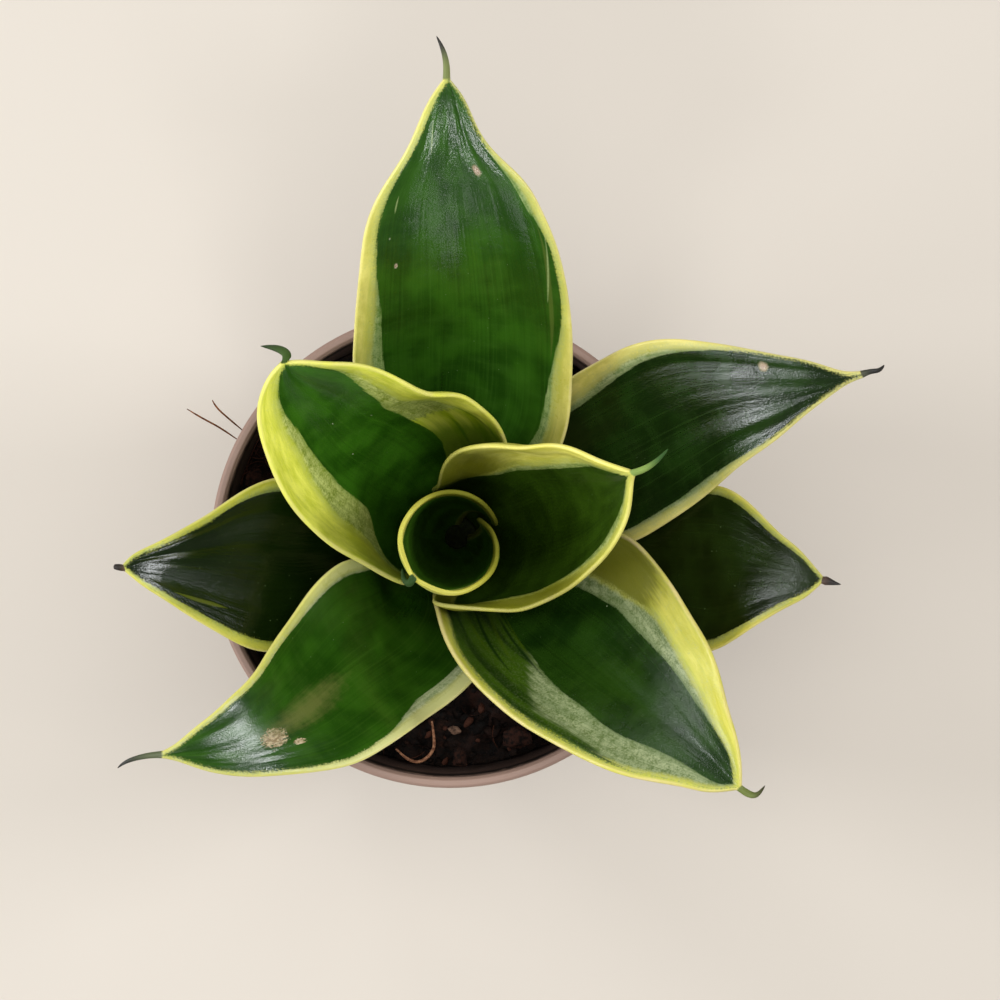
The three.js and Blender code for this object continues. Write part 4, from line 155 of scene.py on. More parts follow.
   -41.89, -28.1, 130.2, -41.45, -30.31, 129.83, -40.95, -32.51, 129.57, -40.38, -34.71, 129.42, -39.75, -36.91, 129.37, -39.23, -38.59, 129.4, -38.67, -40.27, 129.49, -38.07, -41.92, 129.65, -37.44, -43.56, 129.86,
   -44.89, -30.94, 132.21, -44.67, -32.68, 131.97, -44.41, -34.42, 131.8, -44.13, -36.16, 131.69, -43.8, -37.91, 131.66, -43.54, -39.18, 131.68, -43.26, -40.46, 131.73, -42.97, -41.72, 131.83, -42.65, -42.98, 131.96,
   -48.13, -33.52, 133.84, -48.06, -34.76, 133.7, -47.98, -36.01, 133.61, -47.88, -37.25, 133.55, -47.76, -38.5, 133.53, -47.67, -39.3, 133.54, -47.58, -40.11, 133.56, -47.48, -40.91, 133.6, -47.38, -41.71, 133.66,
   -51.42, -36.29, 135.08, -51.42, -36.9, 135.05, -51.42, -37.51, 135.02, -51.41, -38.11, 135, -51.4, -38.72, 135, -51.4, -39.08, 135, -51.39, -39.44, 135.01, -51.38, -39.8, 135.02, -51.37, -40.16, 135.03,
   -54.15, -37.93, 136.01, -54.16, -38.12, 136, -54.17, -38.3, 136, -54.18, -38.49, 136, -54.19, -38.68, 136, -54.2, -38.87, 136, -54.21, -39.05, 136, -54.22, -39.24, 136, -54.22, -39.43, 136.01,
  ]},
 {"name": "leaf_5", "t": (1.7, 2.4), "awn": [(0.44, 88.27, 152, 0.75), (0.42, 91.06, 153.2, 0.6), (-0.24, 93.72, 154, 0.42), (-1.37, 96.1, 154.2, 0.12)],
  "net": [
   10.84, 8.55, 76, 9.08, 10.54, 76, 6.73, 12.04, 76, 3.97, 12.95, 76, 1.01, 13.2, 76, -1.95, 12.76, 76, -4.67, 11.68, 76, -6.96, 10.03, 76, -8.66, 7.94, 76,
   12.73, 9.51, 87.56, 11.26, 12.72, 85.7, 8.54, 15.29, 84.22, 4.92, 16.98, 83.26, 0.86, 17.68, 82.89, -2.71, 17.28, 83.16, -5.97, 15.99, 83.93, -8.62, 13.94, 85.12, -10.4, 11.32, 86.61,
   14.44, 11.09, 96.67, 13.16, 15.17, 93.91, 10.2, 18.62, 91.65, 5.99, 21.08, 90.16, 1.04, 22.24, 89.6, -3.1, 22.05, 89.93, -6.99, 20.86, 90.94, -10.24, 18.77, 92.55, -12.58, 15.96, 94.6,
   16.96, 13.69, 104.35, 15.43, 18.39, 101.1, 12.04, 22.46, 98.44, 7.21, 25.4, 96.7, 1.48, 26.86, 96.09, -3.15, 26.84, 96.46, -7.58, 25.8, 97.55, -11.42, 23.8, 99.28, -14.4, 20.99, 101.52,
   20.98, 17.8, 110.94, 18.34, 22.76, 107.48, 14.01, 26.93, 104.74, 8.42, 29.94, 103, 2.02, 31.51, 102.4, -3.05, 31.63, 102.75, -8, 30.81, 103.81, -12.5, 29.07, 105.51, -16.3, 26.51, 107.76,
   23.82, 25, 115.5, 19.82, 29.16, 112.57, 14.76, 32.53, 110.35, 8.91, 34.91, 108.96, 2.56, 36.18, 108.49, -2.93, 36.33, 108.83, -8.32, 35.62, 109.84, -13.35, 34.07, 111.47, -17.84, 31.74, 113.67,
   24.53, 33.11, 119.72, 19.88, 36.16, 117.43, 14.62, 38.52, 115.75, 8.92, 40.12, 114.71, 2.97, 40.92, 114.36, -2.76, 40.89, 114.68, -8.38, 40.1, 115.63, -13.7, 38.57, 117.18, -18.57, 36.35, 119.28,
   24.57, 40.74, 124.4, 19.65, 42.89, 122.49, 14.35, 44.45, 121.1, 8.8, 45.41, 120.25, 3.12, 45.72, 119.97, -2.53, 45.4, 120.25, -8.06, 44.45, 121.09, -13.34, 42.89, 122.47, -18.24, 40.76, 124.36,
   23.91, 47.68, 129, 18.95, 49.13, 127.39, 13.75, 50.11, 126.22, 8.41, 50.61, 125.51, 3, 50.6, 125.27, -2.44, 50.1, 125.51, -7.76, 49.1, 126.23, -12.88, 47.61, 127.42, -17.71, 45.68, 129.06,
   22.7, 53.88, 133.44, 17.87, 54.87, 132.05, 12.89, 55.49, 131.04, 7.81, 55.71, 130.44, 2.7, 55.55, 130.23, -2.43, 54.99, 130.44, -7.46, 54.04, 131.06, -12.34, 52.71, 132.08, -17, 51.03, 133.49,
   20.93, 59.49, 137.61, 16.41, 60.21, 136.39, 11.77, 60.63, 135.52, 7.06, 60.75, 134.99, 2.33, 60.55, 134.81, -2.45, 60.04, 135, -7.16, 59.22, 135.54, -11.76, 58.09, 136.44, -16.18, 56.68, 137.69,
   18.37, 65, 141.27, 14.36, 65.48, 140.27, 10.26, 65.75, 139.55, 6.12, 65.78, 139.12, 1.96, 65.59, 138.97, -2.39, 65.15, 139.13, -6.69, 64.47, 139.61, -10.89, 63.55, 140.4, -14.97, 62.4, 141.5,
   14.82, 70.47, 144.28, 11.57, 70.72, 143.57, 8.26, 70.84, 143.07, 4.93, 70.81, 142.77, 1.6, 70.64, 142.66, -1.9, 70.32, 142.78, -5.35, 69.84, 143.11, -8.76, 69.22, 143.67, -12.1, 68.46, 144.44,
   9.21, 75.78, 146.5, 7.23, 75.82, 146.22, 5.24, 75.8, 146.01, 3.24, 75.74, 145.89, 1.25, 75.63, 145.85, -1.1, 75.43, 145.91, -3.43, 75.17, 146.07, -5.75, 74.85, 146.36, -8.04, 74.46, 146.75,
   5.88, 80.61, 148.79, 4.65, 80.6, 148.66, 3.41, 80.56, 148.57, 2.17, 80.51, 148.52, 0.93, 80.44, 148.5, -0.63, 80.32, 148.53, -2.18, 80.17, 148.61, -3.73, 80, 148.75, -5.27, 79.8, 148.95,
   3.75, 85, 150.72, 2.97, 84.98, 150.66, 2.2, 84.94, 150.62, 1.42, 84.91, 150.6, 0.65, 84.86, 150.59, -0.26, 84.8, 150.6, -1.16, 84.73, 150.63, -2.06, 84.65, 150.69, -2.95, 84.56, 150.77,
   1.19, 88.31, 152.01, 1, 88.3, 152, 0.82, 88.29, 152, 0.63, 88.28, 152, 0.44, 88.27, 152, 0.26, 88.26, 152, 0.07, 88.24, 152, -0.12, 88.23, 152, -0.31, 88.22, 152.01,
  ]},
 {"name": "leaf_6", "t": (1.7, 2.3), "awn": [(55.46, -44.11, 145, 0.75), (57.11, -45.18, 145.6, 0.68), (58.68, -45.22, 147, 0.5), (59.95, -43.28, 149.5, 0.15)],
  "net": [
   -2.16, -6.54, 76, 0.33, -7.27, 76, 3.02, -7.05, 76, 5.59, -5.9, 76, 7.78, -3.94, 76, 9.34, -1.39, 76, 10.09, 1.47, 76, 9.96, 4.32, 76, 8.95, 6.85, 76,
   -3.16, -8.05, 87.66, -0.02, -9.87, 85.81, 3.65, -9.76, 84.25, 7.23, -7.89, 83.2, 10.57, -5.27, 82.5, 12.36, -2.27, 82.57, 12.9, 1.16, 83.29, 12.18, 4.42, 84.49, 10.31, 7.03, 86,
   -3.3, -10.02, 96.23, 0.41, -12.56, 93.49, 4.99, -12.81, 91.07, 9.6, -10.73, 89.46, 13.61, -7.23, 88.61, 15.59, -3.63, 88.85, 16.15, 0.34, 89.94, 15.22, 4.06, 91.7, 12.96, 6.98, 93.85,
   -2.51, -12.04, 103.49, 1.51, -15.19, 100.18, 6.81, -15.82, 97.19, 12.29, -13.86, 95.09, 16.85, -9.69, 94.3, 19.1, -5.51, 94.71, 19.94, -0.97, 95.98, 19.21, 3.32, 97.97, 17.02, 6.84, 100.43,
   -1.24, -16.13, 109.56, 3.57, -18.73, 105.93, 9.34, -18.86, 102.8, 15.12, -16.54, 100.68, 19.95, -12.09, 99.93, 22.57, -7.55, 100.38, 23.85, -2.6, 101.72, 23.61, 2.23, 103.82, 21.9, 6.47, 106.46,
   1.23, -21.01, 114.58, 6.58, -22.47, 110.98, 12.47, -21.77, 108.03, 18.16, -19, 106.1, 22.98, -14.48, 105.43, 25.97, -9.68, 105.9, 27.71, -4.43, 107.25, 28.03, 0.83, 109.39, 26.92, 5.69, 112.13,
   4.9, -25.58, 118.94, 10.37, -25.89, 115.61, 16.04, -24.44, 112.99, 21.41, -21.37, 111.33, 26, -16.93, 110.75, 29.28, -11.92, 111.22, 31.4, -6.45, 112.58, 32.19, -0.89, 114.74, 31.62, 4.38, 117.58,
   9.22, -29.59, 122.96, 14.5, -28.96, 120, 19.8, -26.96, 117.74, 24.75, -23.71, 116.33, 29.06, -19.44, 115.84, 32.56, -14.29, 116.3, 34.99, -8.71, 117.65, 36.22, -2.99, 119.82, 36.17, 2.55, 122.68,
   13.81, -33.07, 126.73, 18.76, -31.74, 124.17, 23.61, -29.38, 122.26, 28.15, -26.08, 121.07, 32.16, -22.02, 120.67, 35.5, -17.4, 121.02, 38.09, -12.43, 122.08, 39.85, -7.28, 123.79, 40.71, -2.14, 126.1,
   18.77, -35.88, 130.23, 23.24, -34.12, 128.08, 27.57, -31.61, 126.49, 31.64, -28.43, 125.52, 35.31, -24.68, 125.19, 38.39, -20.64, 125.46, 40.97, -16.32, 126.28, 42.98, -11.84, 127.61, 44.37, -7.29, 129.42,
   23.52, -38.24, 133.74, 27.53, -36.34, 131.87, 31.43, -33.86, 130.49, 35.11, -30.87, 129.65, 38.48, -27.43, 129.37, 41.28, -23.94, 129.59, 43.73, -20.23, 130.23, 45.79, -16.38, 131.29, 47.41, -12.46, 132.75,
   28.27, -40.35, 136.96, 31.84, -38.45, 135.32, 35.3, -36.1, 134.13, 38.6, -33.36, 133.41, 41.67, -30.28, 133.16, 44.21, -27.25, 133.34, 46.51, -24.05, 133.88, 48.51, -20.75, 134.76, 50.2, -17.37, 135.98,
   33.42, -42.14, 139.53, 36.42, -40.33, 138.23, 39.36, -38.21, 137.29, 42.17, -35.83, 136.72, 44.84, -33.2, 136.53, 46.94, -30.83, 136.65, 48.91, -28.35, 137.02, 50.7, -25.79, 137.64, 52.3, -23.18, 138.49,
   39.22, -43.31, 141.34, 41.49, -41.75, 140.51, 43.71, -40.03, 139.91, 45.85, -38.17, 139.54, 47.93, -36.17, 139.42, 49.49, -34.52, 139.49, 51, -32.8, 139.7, 52.42, -31.04, 140.05, 53.76, -29.25, 140.54,
   44.8, -44.22, 142.84, 46.36, -43.04, 142.4, 47.89, -41.8, 142.08, 49.39, -40.49, 141.89, 50.85, -39.12, 141.82, 51.99, -37.99, 141.86, 53.1, -36.83, 141.98, 54.17, -35.65, 142.17, 55.21, -34.45, 142.44,
   49.77, -45.07, 144.13, 50.71, -44.31, 143.95, 51.65, -43.53, 143.82, 52.57, -42.73, 143.75, 53.48, -41.91, 143.72, 54.13, -41.31, 143.73, 54.77, -40.7, 143.77, 55.39, -40.08, 143.84, 56.01, -39.46, 143.93,
   54.9, -44.6, 145.01, 55.04, -44.48, 145.01, 55.18, -44.35, 145, 55.32, -44.23, 145, 55.46, -44.11, 145, 55.6, -43.98, 145, 55.74, -43.86, 145, 55.88, -43.73, 145.01, 56.02, -43.61, 145.01,
  ]},
 {"name": "leaf_7", "t": (1.7, 2.1), "awn": [(-29.58, 35.55, 155, 0.8), (-29.25, 37.12, 153.2, 0.85), (-31.17, 38.34, 151.2, 0.72), (-34.49, 38.96, 148.2, 0.12)],
  "net": [
   6.19, 6.87, 76, 4.04, 8.36, 76, 1.4, 8.95, 76, -1.3, 8.56, 76, -3.66, 7.24, 76, -5.33, 5.19, 76, -6.04, 2.73, 76, -5.68, 0.23, 76, -4.32, -1.93, 76,
   8.46, 9.99, 83.82, 5.47, 11.45, 83.03, 2.11, 11.94, 82.45, -1.29, 11.38, 82.17, -4.33, 9.72, 82.24, -7.2, 6.6, 82.79, -8.65, 2.77, 83.75, -8.47, -1.23, 84.98, -6.67, -4.77, 86.3,
   10.35, 12.7, 91.25, 6.68, 14.41, 89.82, 2.53, 14.84, 88.82, -1.64, 13.91, 88.36, -5.33, 11.74, 88.5, -8.53, 7.94, 89.4, -10, 3.39, 90.95, -9.55, -1.21, 92.9, -7.24, -5.16, 94.97,
   12.1, 15.11, 98.57, 7.76, 17.22, 96.54, 2.74, 17.65, 95.1, -2.3, 16.34, 94.45, -6.67, 13.46, 94.68, -10.01, 8.99, 95.88, -11.34, 3.83, 97.89, -10.48, -1.22, 100.4, -7.55, -5.36, 103,
   12.47, 17.36, 105.88, 7.68, 19.66, 103.31, 2.1, 20, 101.44, -3.49, 18.35, 100.54, -8.29, 14.94, 100.73, -11.88, 9.71, 102.18, -13.06, 3.82, 104.68, -11.64, -1.71, 107.8, -7.86, -5.93, 111,
   12.14, 19.42, 113.2, 7.02, 21.86, 110.13, 1.01, 22.11, 107.81, -5.02, 20.13, 106.59, -10.14, 16.23, 106.64, -13.93, 10.22, 108.23, -14.9, 3.63, 111.13, -12.88, -2.31, 114.8, -8.26, -6.49, 118.55,
   11.46, 21.95, 120.09, 6, 24.28, 116.45, -0.41, 24.23, 113.71, -6.78, 21.82, 112.28, -12.16, 17.39, 112.38, -15.73, 11.63, 114, -16.95, 5.41, 116.88, -15.64, -0.34, 120.6, -11.99, -4.73, 124.59,
   9.79, 25.03, 126.47, 4.1, 26.8, 122.38, -2.42, 26.19, 119.34, -8.85, 23.3, 117.79, -14.27, 18.53, 117.95, -17.58, 13.32, 119.49, -19.15, 7.76, 122.17, -18.78, 2.47, 125.69, -16.52, -1.97, 129.66,
   6.87, 27.76, 132.31, 1.3, 28.72, 128.01, -4.94, 27.56, 124.86, -11.09, 24.45, 123.23, -16.41, 19.74, 123.33, -19.71, 14.99, 124.75, -21.69, 9.92, 127.26, -22.12, 5.02, 130.65, -20.98, 0.7, 134.6,
   2.85, 30.01, 137.41, -2.23, 30.14, 133.19, -7.86, 28.58, 130.12, -13.45, 25.49, 128.5, -18.46, 21.15, 128.52, -21.75, 16.98, 129.77, -24.06, 12.55, 132.05, -25.19, 8.21, 135.19, -25.07, 4.26, 138.98,
   -2.17, 30.09, 141.75, -6.34, 30, 138, -11.03, 28.68, 135.23, -15.83, 26.25, 133.67, -20.34, 22.9, 133.47, -23.76, 19.4, 134.44, -26.41, 15.65, 136.43, -28.07, 11.91, 139.31, -28.65, 8.44, 142.86,
   -6.52, 31.67, 146.13, -9.95, 31.2, 142.63, -13.89, 29.84, 140.01, -18.04, 27.69, 138.47, -22.1, 24.91, 138.13, -25.35, 22.1, 138.85, -28.09, 19.13, 140.47, -30.16, 16.18, 142.92, -31.43, 13.41, 146.04,
   -11.2, 34.02, 149.33, -13.9, 32.95, 146.33, -17.05, 31.35, 144.1, -20.46, 29.33, 142.79, -23.92, 27, 142.46, -26.79, 24.84, 143.01, -29.41, 22.65, 144.3, -31.64, 20.55, 146.27, -33.38, 18.63, 148.83,
   -16.27, 35.4, 151.84, -18.17, 34.06, 149.48, -20.5, 32.49, 147.73, -23.13, 30.77, 146.69, -25.92, 29, 146.42, -28.35, 27.49, 146.82, -30.68, 26.08, 147.8, -32.81, 24.84, 149.32, -34.63, 23.81, 151.3,
   -21.31, 35.58, 153.77, -22.45, 34.47, 152.11, -23.99, 33.29, 150.87, -25.82, 32.13, 150.13, -27.84, 31.05, 149.95, -29.59, 30.26, 150.23, -31.3, 29.61, 150.9, -32.88, 29.14, 151.93, -34.27, 28.87, 153.26,
   -25.99, 35.9, 154.92, -26.4, 35.18, 154.05, -27.12, 34.48, 153.4, -28.07, 33.85, 153.02, -29.17, 33.37, 152.95, -30.03, 33.13, 153.11, -30.88, 33, 153.44, -31.66, 33.01, 153.94, -32.31, 33.15, 154.56,
   -28.86, 35.75, 154.94, -29.04, 35.7, 154.95, -29.22, 35.65, 154.97, -29.4, 35.6, 154.98, -29.58, 35.55, 155, -29.76, 35.5, 155.02, -29.94, 35.45, 155.03, -30.12, 35.4, 155.05, -30.3, 35.35, 155.06,
  ]},
 {"name": "leaf_8", "t": (1.6, 1.9), "awn": [(34.69, 15.07, 158, 0.75), (36.8, 15.78, 160, 0.62), (39.07, 17.31, 162, 0.45), (40.95, 19.37, 164.3, 0.12)],
  "net": [
   0.53, -2.65, 76, 2.9, -2.51, 76, 4.9, -1.21, 76, 6.05, 0.94, 76, 6.05, 3.41, 76, 4.92, 5.6, 76, 2.92, 6.96, 76, 0.55, 7.18, 76, -1.61, 6.18, 76,
   -1.22, -6.3, 84.38, 2.65, -5.95, 83.55, 5.91, -3.79, 82.84, 7.83, -0.31, 82.43, 7.95, 3.71, 82.4, 6.72, 6.64, 82.65, 4.51, 8.88, 83.11, 1.65, 10.07, 83.71, -1.46, 10.09, 84.37,
   -2.28, -8.27, 92.42, 2.85, -8.54, 90.94, 7.35, -6.01, 89.59, 9.95, -1.4, 88.77, 9.88, 4.01, 88.69, 8.16, 7.47, 89.12, 5.32, 10.05, 89.9, 1.76, 11.31, 90.89, -2, 11.09, 91.97,
   -3.06, -9.64, 100.24, 3.13, -10.74, 98.21, 8.8, -8, 96.26, 12.08, -2.38, 95, 11.83, 4.32, 94.86, 9.52, 8.44, 95.48, 5.83, 11.31, 96.58, 1.37, 12.39, 97.99, -3.1, 11.51, 99.46,
   -2.68, -10.71, 106.69, 4.11, -11.81, 104.33, 10.34, -8.79, 102.15, 13.97, -2.65, 100.87, 13.79, 4.64, 100.91, 11.15, 9.37, 101.81, 6.85, 12.52, 103.29, 1.71, 13.44, 105.07, -3.31, 11.98, 106.81,
   2.53, -11.42, 111.89, 8.4, -10.65, 109.59, 13.24, -7.01, 107.72, 15.91, -1.35, 106.72, 15.77, 4.99, 106.83, 13.04, 10.29, 107.96, 8.37, 13.7, 109.83, 2.77, 14.45, 112.04, -2.56, 12.4, 114.11,
   9.15, -11.83, 116.89, 13.56, -9.34, 114.89, 16.74, -5.2, 113.38, 18.2, -0.02, 112.59, 17.76, 5.39, 112.62, 14.76, 11.1, 113.75, 9.74, 14.71, 115.83, 3.78, 15.48, 118.4, -1.81, 13.21, 120.9,
   13.43, -11.7, 122.65, 16.94, -8.49, 120.76, 19.3, -4.19, 119.31, 20.25, 0.78, 118.45, 19.74, 5.84, 118.26, 16.7, 12.13, 119.14, 11.56, 16.42, 121.16, 5.3, 17.95, 123.92, -0.86, 16.4, 126.9,
   16.73, -10.61, 128.77, 19.63, -7.28, 126.77, 21.51, -3.1, 125.19, 22.21, 1.61, 124.16, 21.71, 6.38, 123.74, 18.85, 12.86, 124.33, 13.96, 17.58, 126.23, 7.89, 19.81, 129.11, 1.69, 19.14, 132.46,
   20.31, -8.82, 134.26, 22.54, -5.56, 132.24, 23.89, -1.65, 130.63, 24.26, 2.67, 129.55, 23.66, 7.01, 129.06, 20.99, 13.08, 129.5, 16.62, 17.69, 131.29, 11.2, 20.2, 134.14, 5.56, 20.22, 137.62,
   23.7, -6.67, 139.5, 25.35, -3.61, 137.46, 26.24, -0.04, 135.82, 26.3, 3.85, 134.71, 25.57, 7.75, 134.18, 23.09, 13.14, 134.52, 19.29, 17.33, 136.16, 14.66, 19.84, 138.86, 9.85, 20.3, 142.26,
   26.94, -3.83, 144.14, 28, -1.13, 142.21, 28.44, 1.97, 140.67, 28.24, 5.3, 139.6, 27.43, 8.63, 139.08, 25.23, 13.16, 139.33, 22.09, 16.8, 140.73, 18.36, 19.17, 143.12, 14.49, 19.99, 146.21,
   30.13, -0.44, 148.06, 30.49, 1.84, 146.42, 30.46, 4.35, 145.12, 30.01, 7.02, 144.21, 29.21, 9.67, 143.73, 27.37, 13.45, 143.86, 24.95, 16.66, 144.96, 22.15, 19.07, 146.93, 19.23, 20.43, 149.6,
   32.62, 3.46, 151.47, 32.53, 5.15, 150.18, 32.2, 7, 149.17, 31.64, 8.94, 148.46, 30.88, 10.88, 148.08, 29.39, 13.74, 148.15, 27.6, 16.26, 149.01, 25.65, 18.28, 150.57, 23.68, 19.63, 152.72,
   34.25, 7.83, 154.01, 33.95, 8.86, 153.25, 33.53, 9.96, 152.66, 33.01, 11.11, 152.25, 32.41, 12.25, 152.04, 31.35, 13.97, 152.11, 30.2, 15.51, 152.66, 29.02, 16.81, 153.63, 27.88, 17.77, 154.98,
   34.73, 12.05, 156.12, 34.52, 12.45, 155.87, 34.28, 12.87, 155.68, 34.01, 13.31, 155.55, 33.74, 13.74, 155.49, 33.22, 14.51, 155.55, 32.69, 15.22, 155.82, 32.19, 15.83, 156.29, 31.73, 16.32, 156.93,
   35.21, 14.54, 158.08, 35.08, 14.67, 158.06, 34.95, 14.81, 158.04, 34.82, 14.94, 158.02, 34.69, 15.07, 158, 34.56, 15.2, 157.98, 34.43, 15.33, 157.96, 34.3, 15.47, 157.94, 34.17, 15.6, 157.92,
  ]},
 {"name": "leaf_9", "t": (1.5, 1.7), "awn": [(-5.45, -4.03, 160.3, 0.75), (-6.28, -5.15, 159.8, 0.72), (-7.23, -4.41, 158.6, 0.6), (-7.61, -2.53, 157, 0.2)],
  "net": [
   2.11, 5.16, 76, 0.11, 5.1, 76, -1.43, 3.84, 76, -1.89, 1.9, 76, -1.07, 0.09, 76, 0.69, -0.86, 76, 2.66, -0.54, 76, 3.94, 0.94, 76, 3.71, 2.78, 76,
   2.79, 6.38, 82.38, -0.14, 6.46, 82.38, -2.48, 4.7, 82.38, -3.22, 1.86, 82.38, -2.04, -0.82, 82.38, 0.56, -2.19, 82.38, 3.44, -1.64, 82.38, 5.21, 0.61, 82.38, 4.69, 3.26, 82.38,
   3.7, 7.33, 88.67, -0.12, 7.72, 88.67, -3.31, 5.59, 88.67, -4.4, 1.91, 88.67, -2.89, -1.62, 88.67, 0.49, -3.37, 88.67, 4.21, -2.58, 88.67, 6.35, 0.45, 88.67, 5.47, 3.79, 88.67,
   4.86, 7.91, 94.86, 0.22, 8.87, 94.86, -3.9, 6.54, 94.86, -5.44, 2.06, 94.86, -3.64, -2.32, 94.86, 0.46, -4.4, 94.86, 4.94, -3.36, 94.86, 7.36, 0.42, 94.86, 6.06, 4.35, 94.86,
   6.16, 7.88, 100.95, 0.96, 9.69, 100.95, -4.07, 7.43, 100.95, -6.16, 2.33, 100.95, -4.16, -2.8, 100.95, 0.5, -5.12, 100.95, 5.53, -3.83, 100.95, 8.06, 0.53, 100.95, 6.37, 4.83, 100.95,
   7.47, 7.4, 106.93, 1.93, 10.26, 106.93, -3.99, 8.3, 106.93, -6.7, 2.68, 106.93, -4.56, -3.18, 106.93, 0.57, -5.68, 106.93, 6.08, -4.15, 106.93, 8.61, 0.76, 106.93, 6.49, 5.3, 106.93,
   8.83, 6.14, 112.79, 3.35, 10.48, 112.79, -3.52, 9.21, 112.79, -7.08, 3.18, 112.79, -4.85, -3.45, 112.79, 0.7, -6.1, 112.79, 6.58, -4.29, 112.79, 9, 1.11, 112.79, 6.42, 5.76, 112.79,
   9.61, 5.09, 118.52, 4.37, 10.48, 118.52, -3.12, 9.81, 118.52, -7.31, 3.56, 118.52, -5.04, -3.63, 118.52, 0.84, -6.37, 118.52, 7.01, -4.31, 118.52, 9.23, 1.5, 118.52, 6.22, 6.14, 118.52,
   9.82, 5.2, 124.11, 4.44, 10.7, 124.11, -3.22, 10, 124.11, -7.49, 3.59, 124.11, -5.17, -3.76, 124.11, 1, -6.57, 124.11, 7.39, -4.26, 124.11, 9.36, 1.92, 124.11, 5.95, 6.46, 124.11,
   9.6, 6.15, 129.55, 3.81, 11.07, 129.55, -3.68, 9.87, 129.55, -7.64, 3.39, 129.55, -5.26, -3.84, 129.55, 0.89, -6.69, 129.55, 7.32, -4.5, 129.55, 9.56, 1.59, 129.55, 6.36, 6.37, 129.55,
   7.98, 8.74, 134.82, 1.58, 11.52, 134.82, -4.92, 9.01, 134.82, -7.78, 2.64, 134.82, -5.31, -3.9, 134.82, 0.28, -6.73, 134.82, 6.4, -5.33, 134.82, 9.73, -0.21, 134.82, 8.01, 5.18, 134.82,
   4.73, 11.01, 139.9, -1.37, 11.19, 139.9, -6.26, 7.55, 139.9, -7.81, 1.65, 139.9, -5.35, -3.94, 139.9, -0.29, -6.72, 139.9, 5.44, -5.96, 139.9, 9.41, -1.86, 139.9, 9.18, 3.55, 139.9,
   0.84, 11.69, 144.76, -4.04, 9.93, 144.76, -7.23, 5.83, 144.76, -7.73, 0.66, 144.76, -5.39, -3.97, 144.76, -0.99, -6.61, 144.76, 4.15, -6.52, 144.76, 8.44, -3.71, 144.76, 9.89, 1.04, 144.76,
   -2.74, 10.78, 149.36, -6.05, 8.02, 149.36, -7.77, 4.07, 149.36, -7.54, -0.24, 149.36, -5.41, -3.99, 149.36, -1.86, -6.36, 149.36, 2.38, -6.92, 149.36, 6.42, -5.54, 149.36, 9.35, -2.46, 149.36,
   -6.04, 8.08, 153.63, -7.53, 5.17, 153.63, -7.93, 1.92, 153.63, -7.2, -1.26, 153.63, -5.42, -4, 153.63, -2.84, -5.96, 153.63, 0.26, -6.91, 153.63, 3.5, -6.76, 153.63, 6.49, -5.52, 153.63,
   -7.96, 3.2, 157.44, -7.91, 1.24, 157.44, -7.46, -0.67, 157.44, -6.62, -2.45, 157.44, -5.44, -4.02, 157.44, -3.95, -5.31, 157.44, -2.24, -6.27, 157.44, -0.37, -6.85, 157.44, 1.59, -7.04, 157.44,
   -5.94, -3.45, 160.3, -5.82, -3.6, 160.3, -5.7, -3.75, 160.3, -5.57, -3.89, 160.3, -5.45, -4.03, 160.3, -5.31, -4.17, 160.3, -5.18, -4.3, 160.3, -5.04, -4.43, 160.3, -4.91, -4.56, 160.3,
  ]},
]

# ------------------------------------------------------------------ curves
def nat_matrix(n):
    """Matrix that turns n equally spaced values into a natural cubic spline's second derivatives."""
    A = np.eye(n)
    B = np.zeros((n, n))
    for i in range(1, n - 1):
        A[i, i - 1], A[i, i], A[i, i + 1] = 1, 4, 1
        B[i, i - 1], B[i, i], B[i, i + 1] = 6, -12, 6
    return np.linalg.solve(A, B)


def spline(y, m, t):
    """Natural cubic spline through y (n, ...) at t (k,) in 0..1."""
    n = len(y)
    x = np.clip(t, 0, 1) * (n - 1)
    i = np.minimum(np.floor(x).astype(int), n - 2)
    f = (x - i).reshape((-1,) + (1,) * (y.ndim - 1))
    a = 1 - f
    return a * y[i] + f * y[i + 1] + ((a ** 3 - a) * m[i] + (f ** 3 - f) * m[i + 1]) / 6


def smooth(x, lo=0.0, hi=1.0):
    x = np.clip((np.asarray(x, float) - lo) / (hi - lo), 0, 1)
    return x * x * (3 - 2 * x)


def table(values, t):
    """Smooth curve through a short table of equally spaced values."""
    v = np.array(values, float)
    k = np.linspace(0, 1, len(v))
    fine = np.interp(np.linspace(0, 1, 401), k, v)
    box = np.ones(21) / 21
    pad = np.r_[np.full(20, fine[0]), fine, np.full(20, fine[-1])]
    for _ in range(2):
        pad = np.convolve(pad, box, "same")
    return np.interp(t, np.linspace(0, 1, 401), pad[20:-20])


def waves(seed, count, lo, hi):
    """Sum of sines as a function: fixed random wavelengths between lo and hi."""
    r = np.random.default_rng(seed)
    k = 2 * math.pi / r.uniform(lo, hi, count)
    p = r.uniform(0, 2 * math.pi, count)
    a = r.uniform(0.5, 1.0, count)
    a /= np.sqrt((a ** 2).sum() / 2)
    def f(x, bend=0.0):
        x = np.asarray(x, float)[..., None]
        b = np.asarray(bend, float)[..., None]
        return (a * np.sin(k * x + p + b * np.sin(p * 3))).sum(-1)
    return f


def hash_noise(seed):
    """Smooth value noise in 2D."""
    g = np.random.default_rng(seed).uniform(-1, 1, (64, 64))
    def f(x, y):
        x, y = np.asarray(x, float), np.asarray(y, float)
        i, j = np.floor(x).astype(int), np.floor(y).astype(int)
        u, v = x - i, y - j
        u, v = u * u * (3 - 2 * u), v * v * (3 - 2 * v)
        a, b = g[i % 64, j % 64], g[(i + 1) % 64, j % 64]
        c, d = g[i % 64, (j + 1) % 64], g[(i + 1) % 64, (j + 1) % 64]
        return (a * (1 - u) + b * u) * (1 - v) + (c * (1 - u) + d * u) * v
    return f


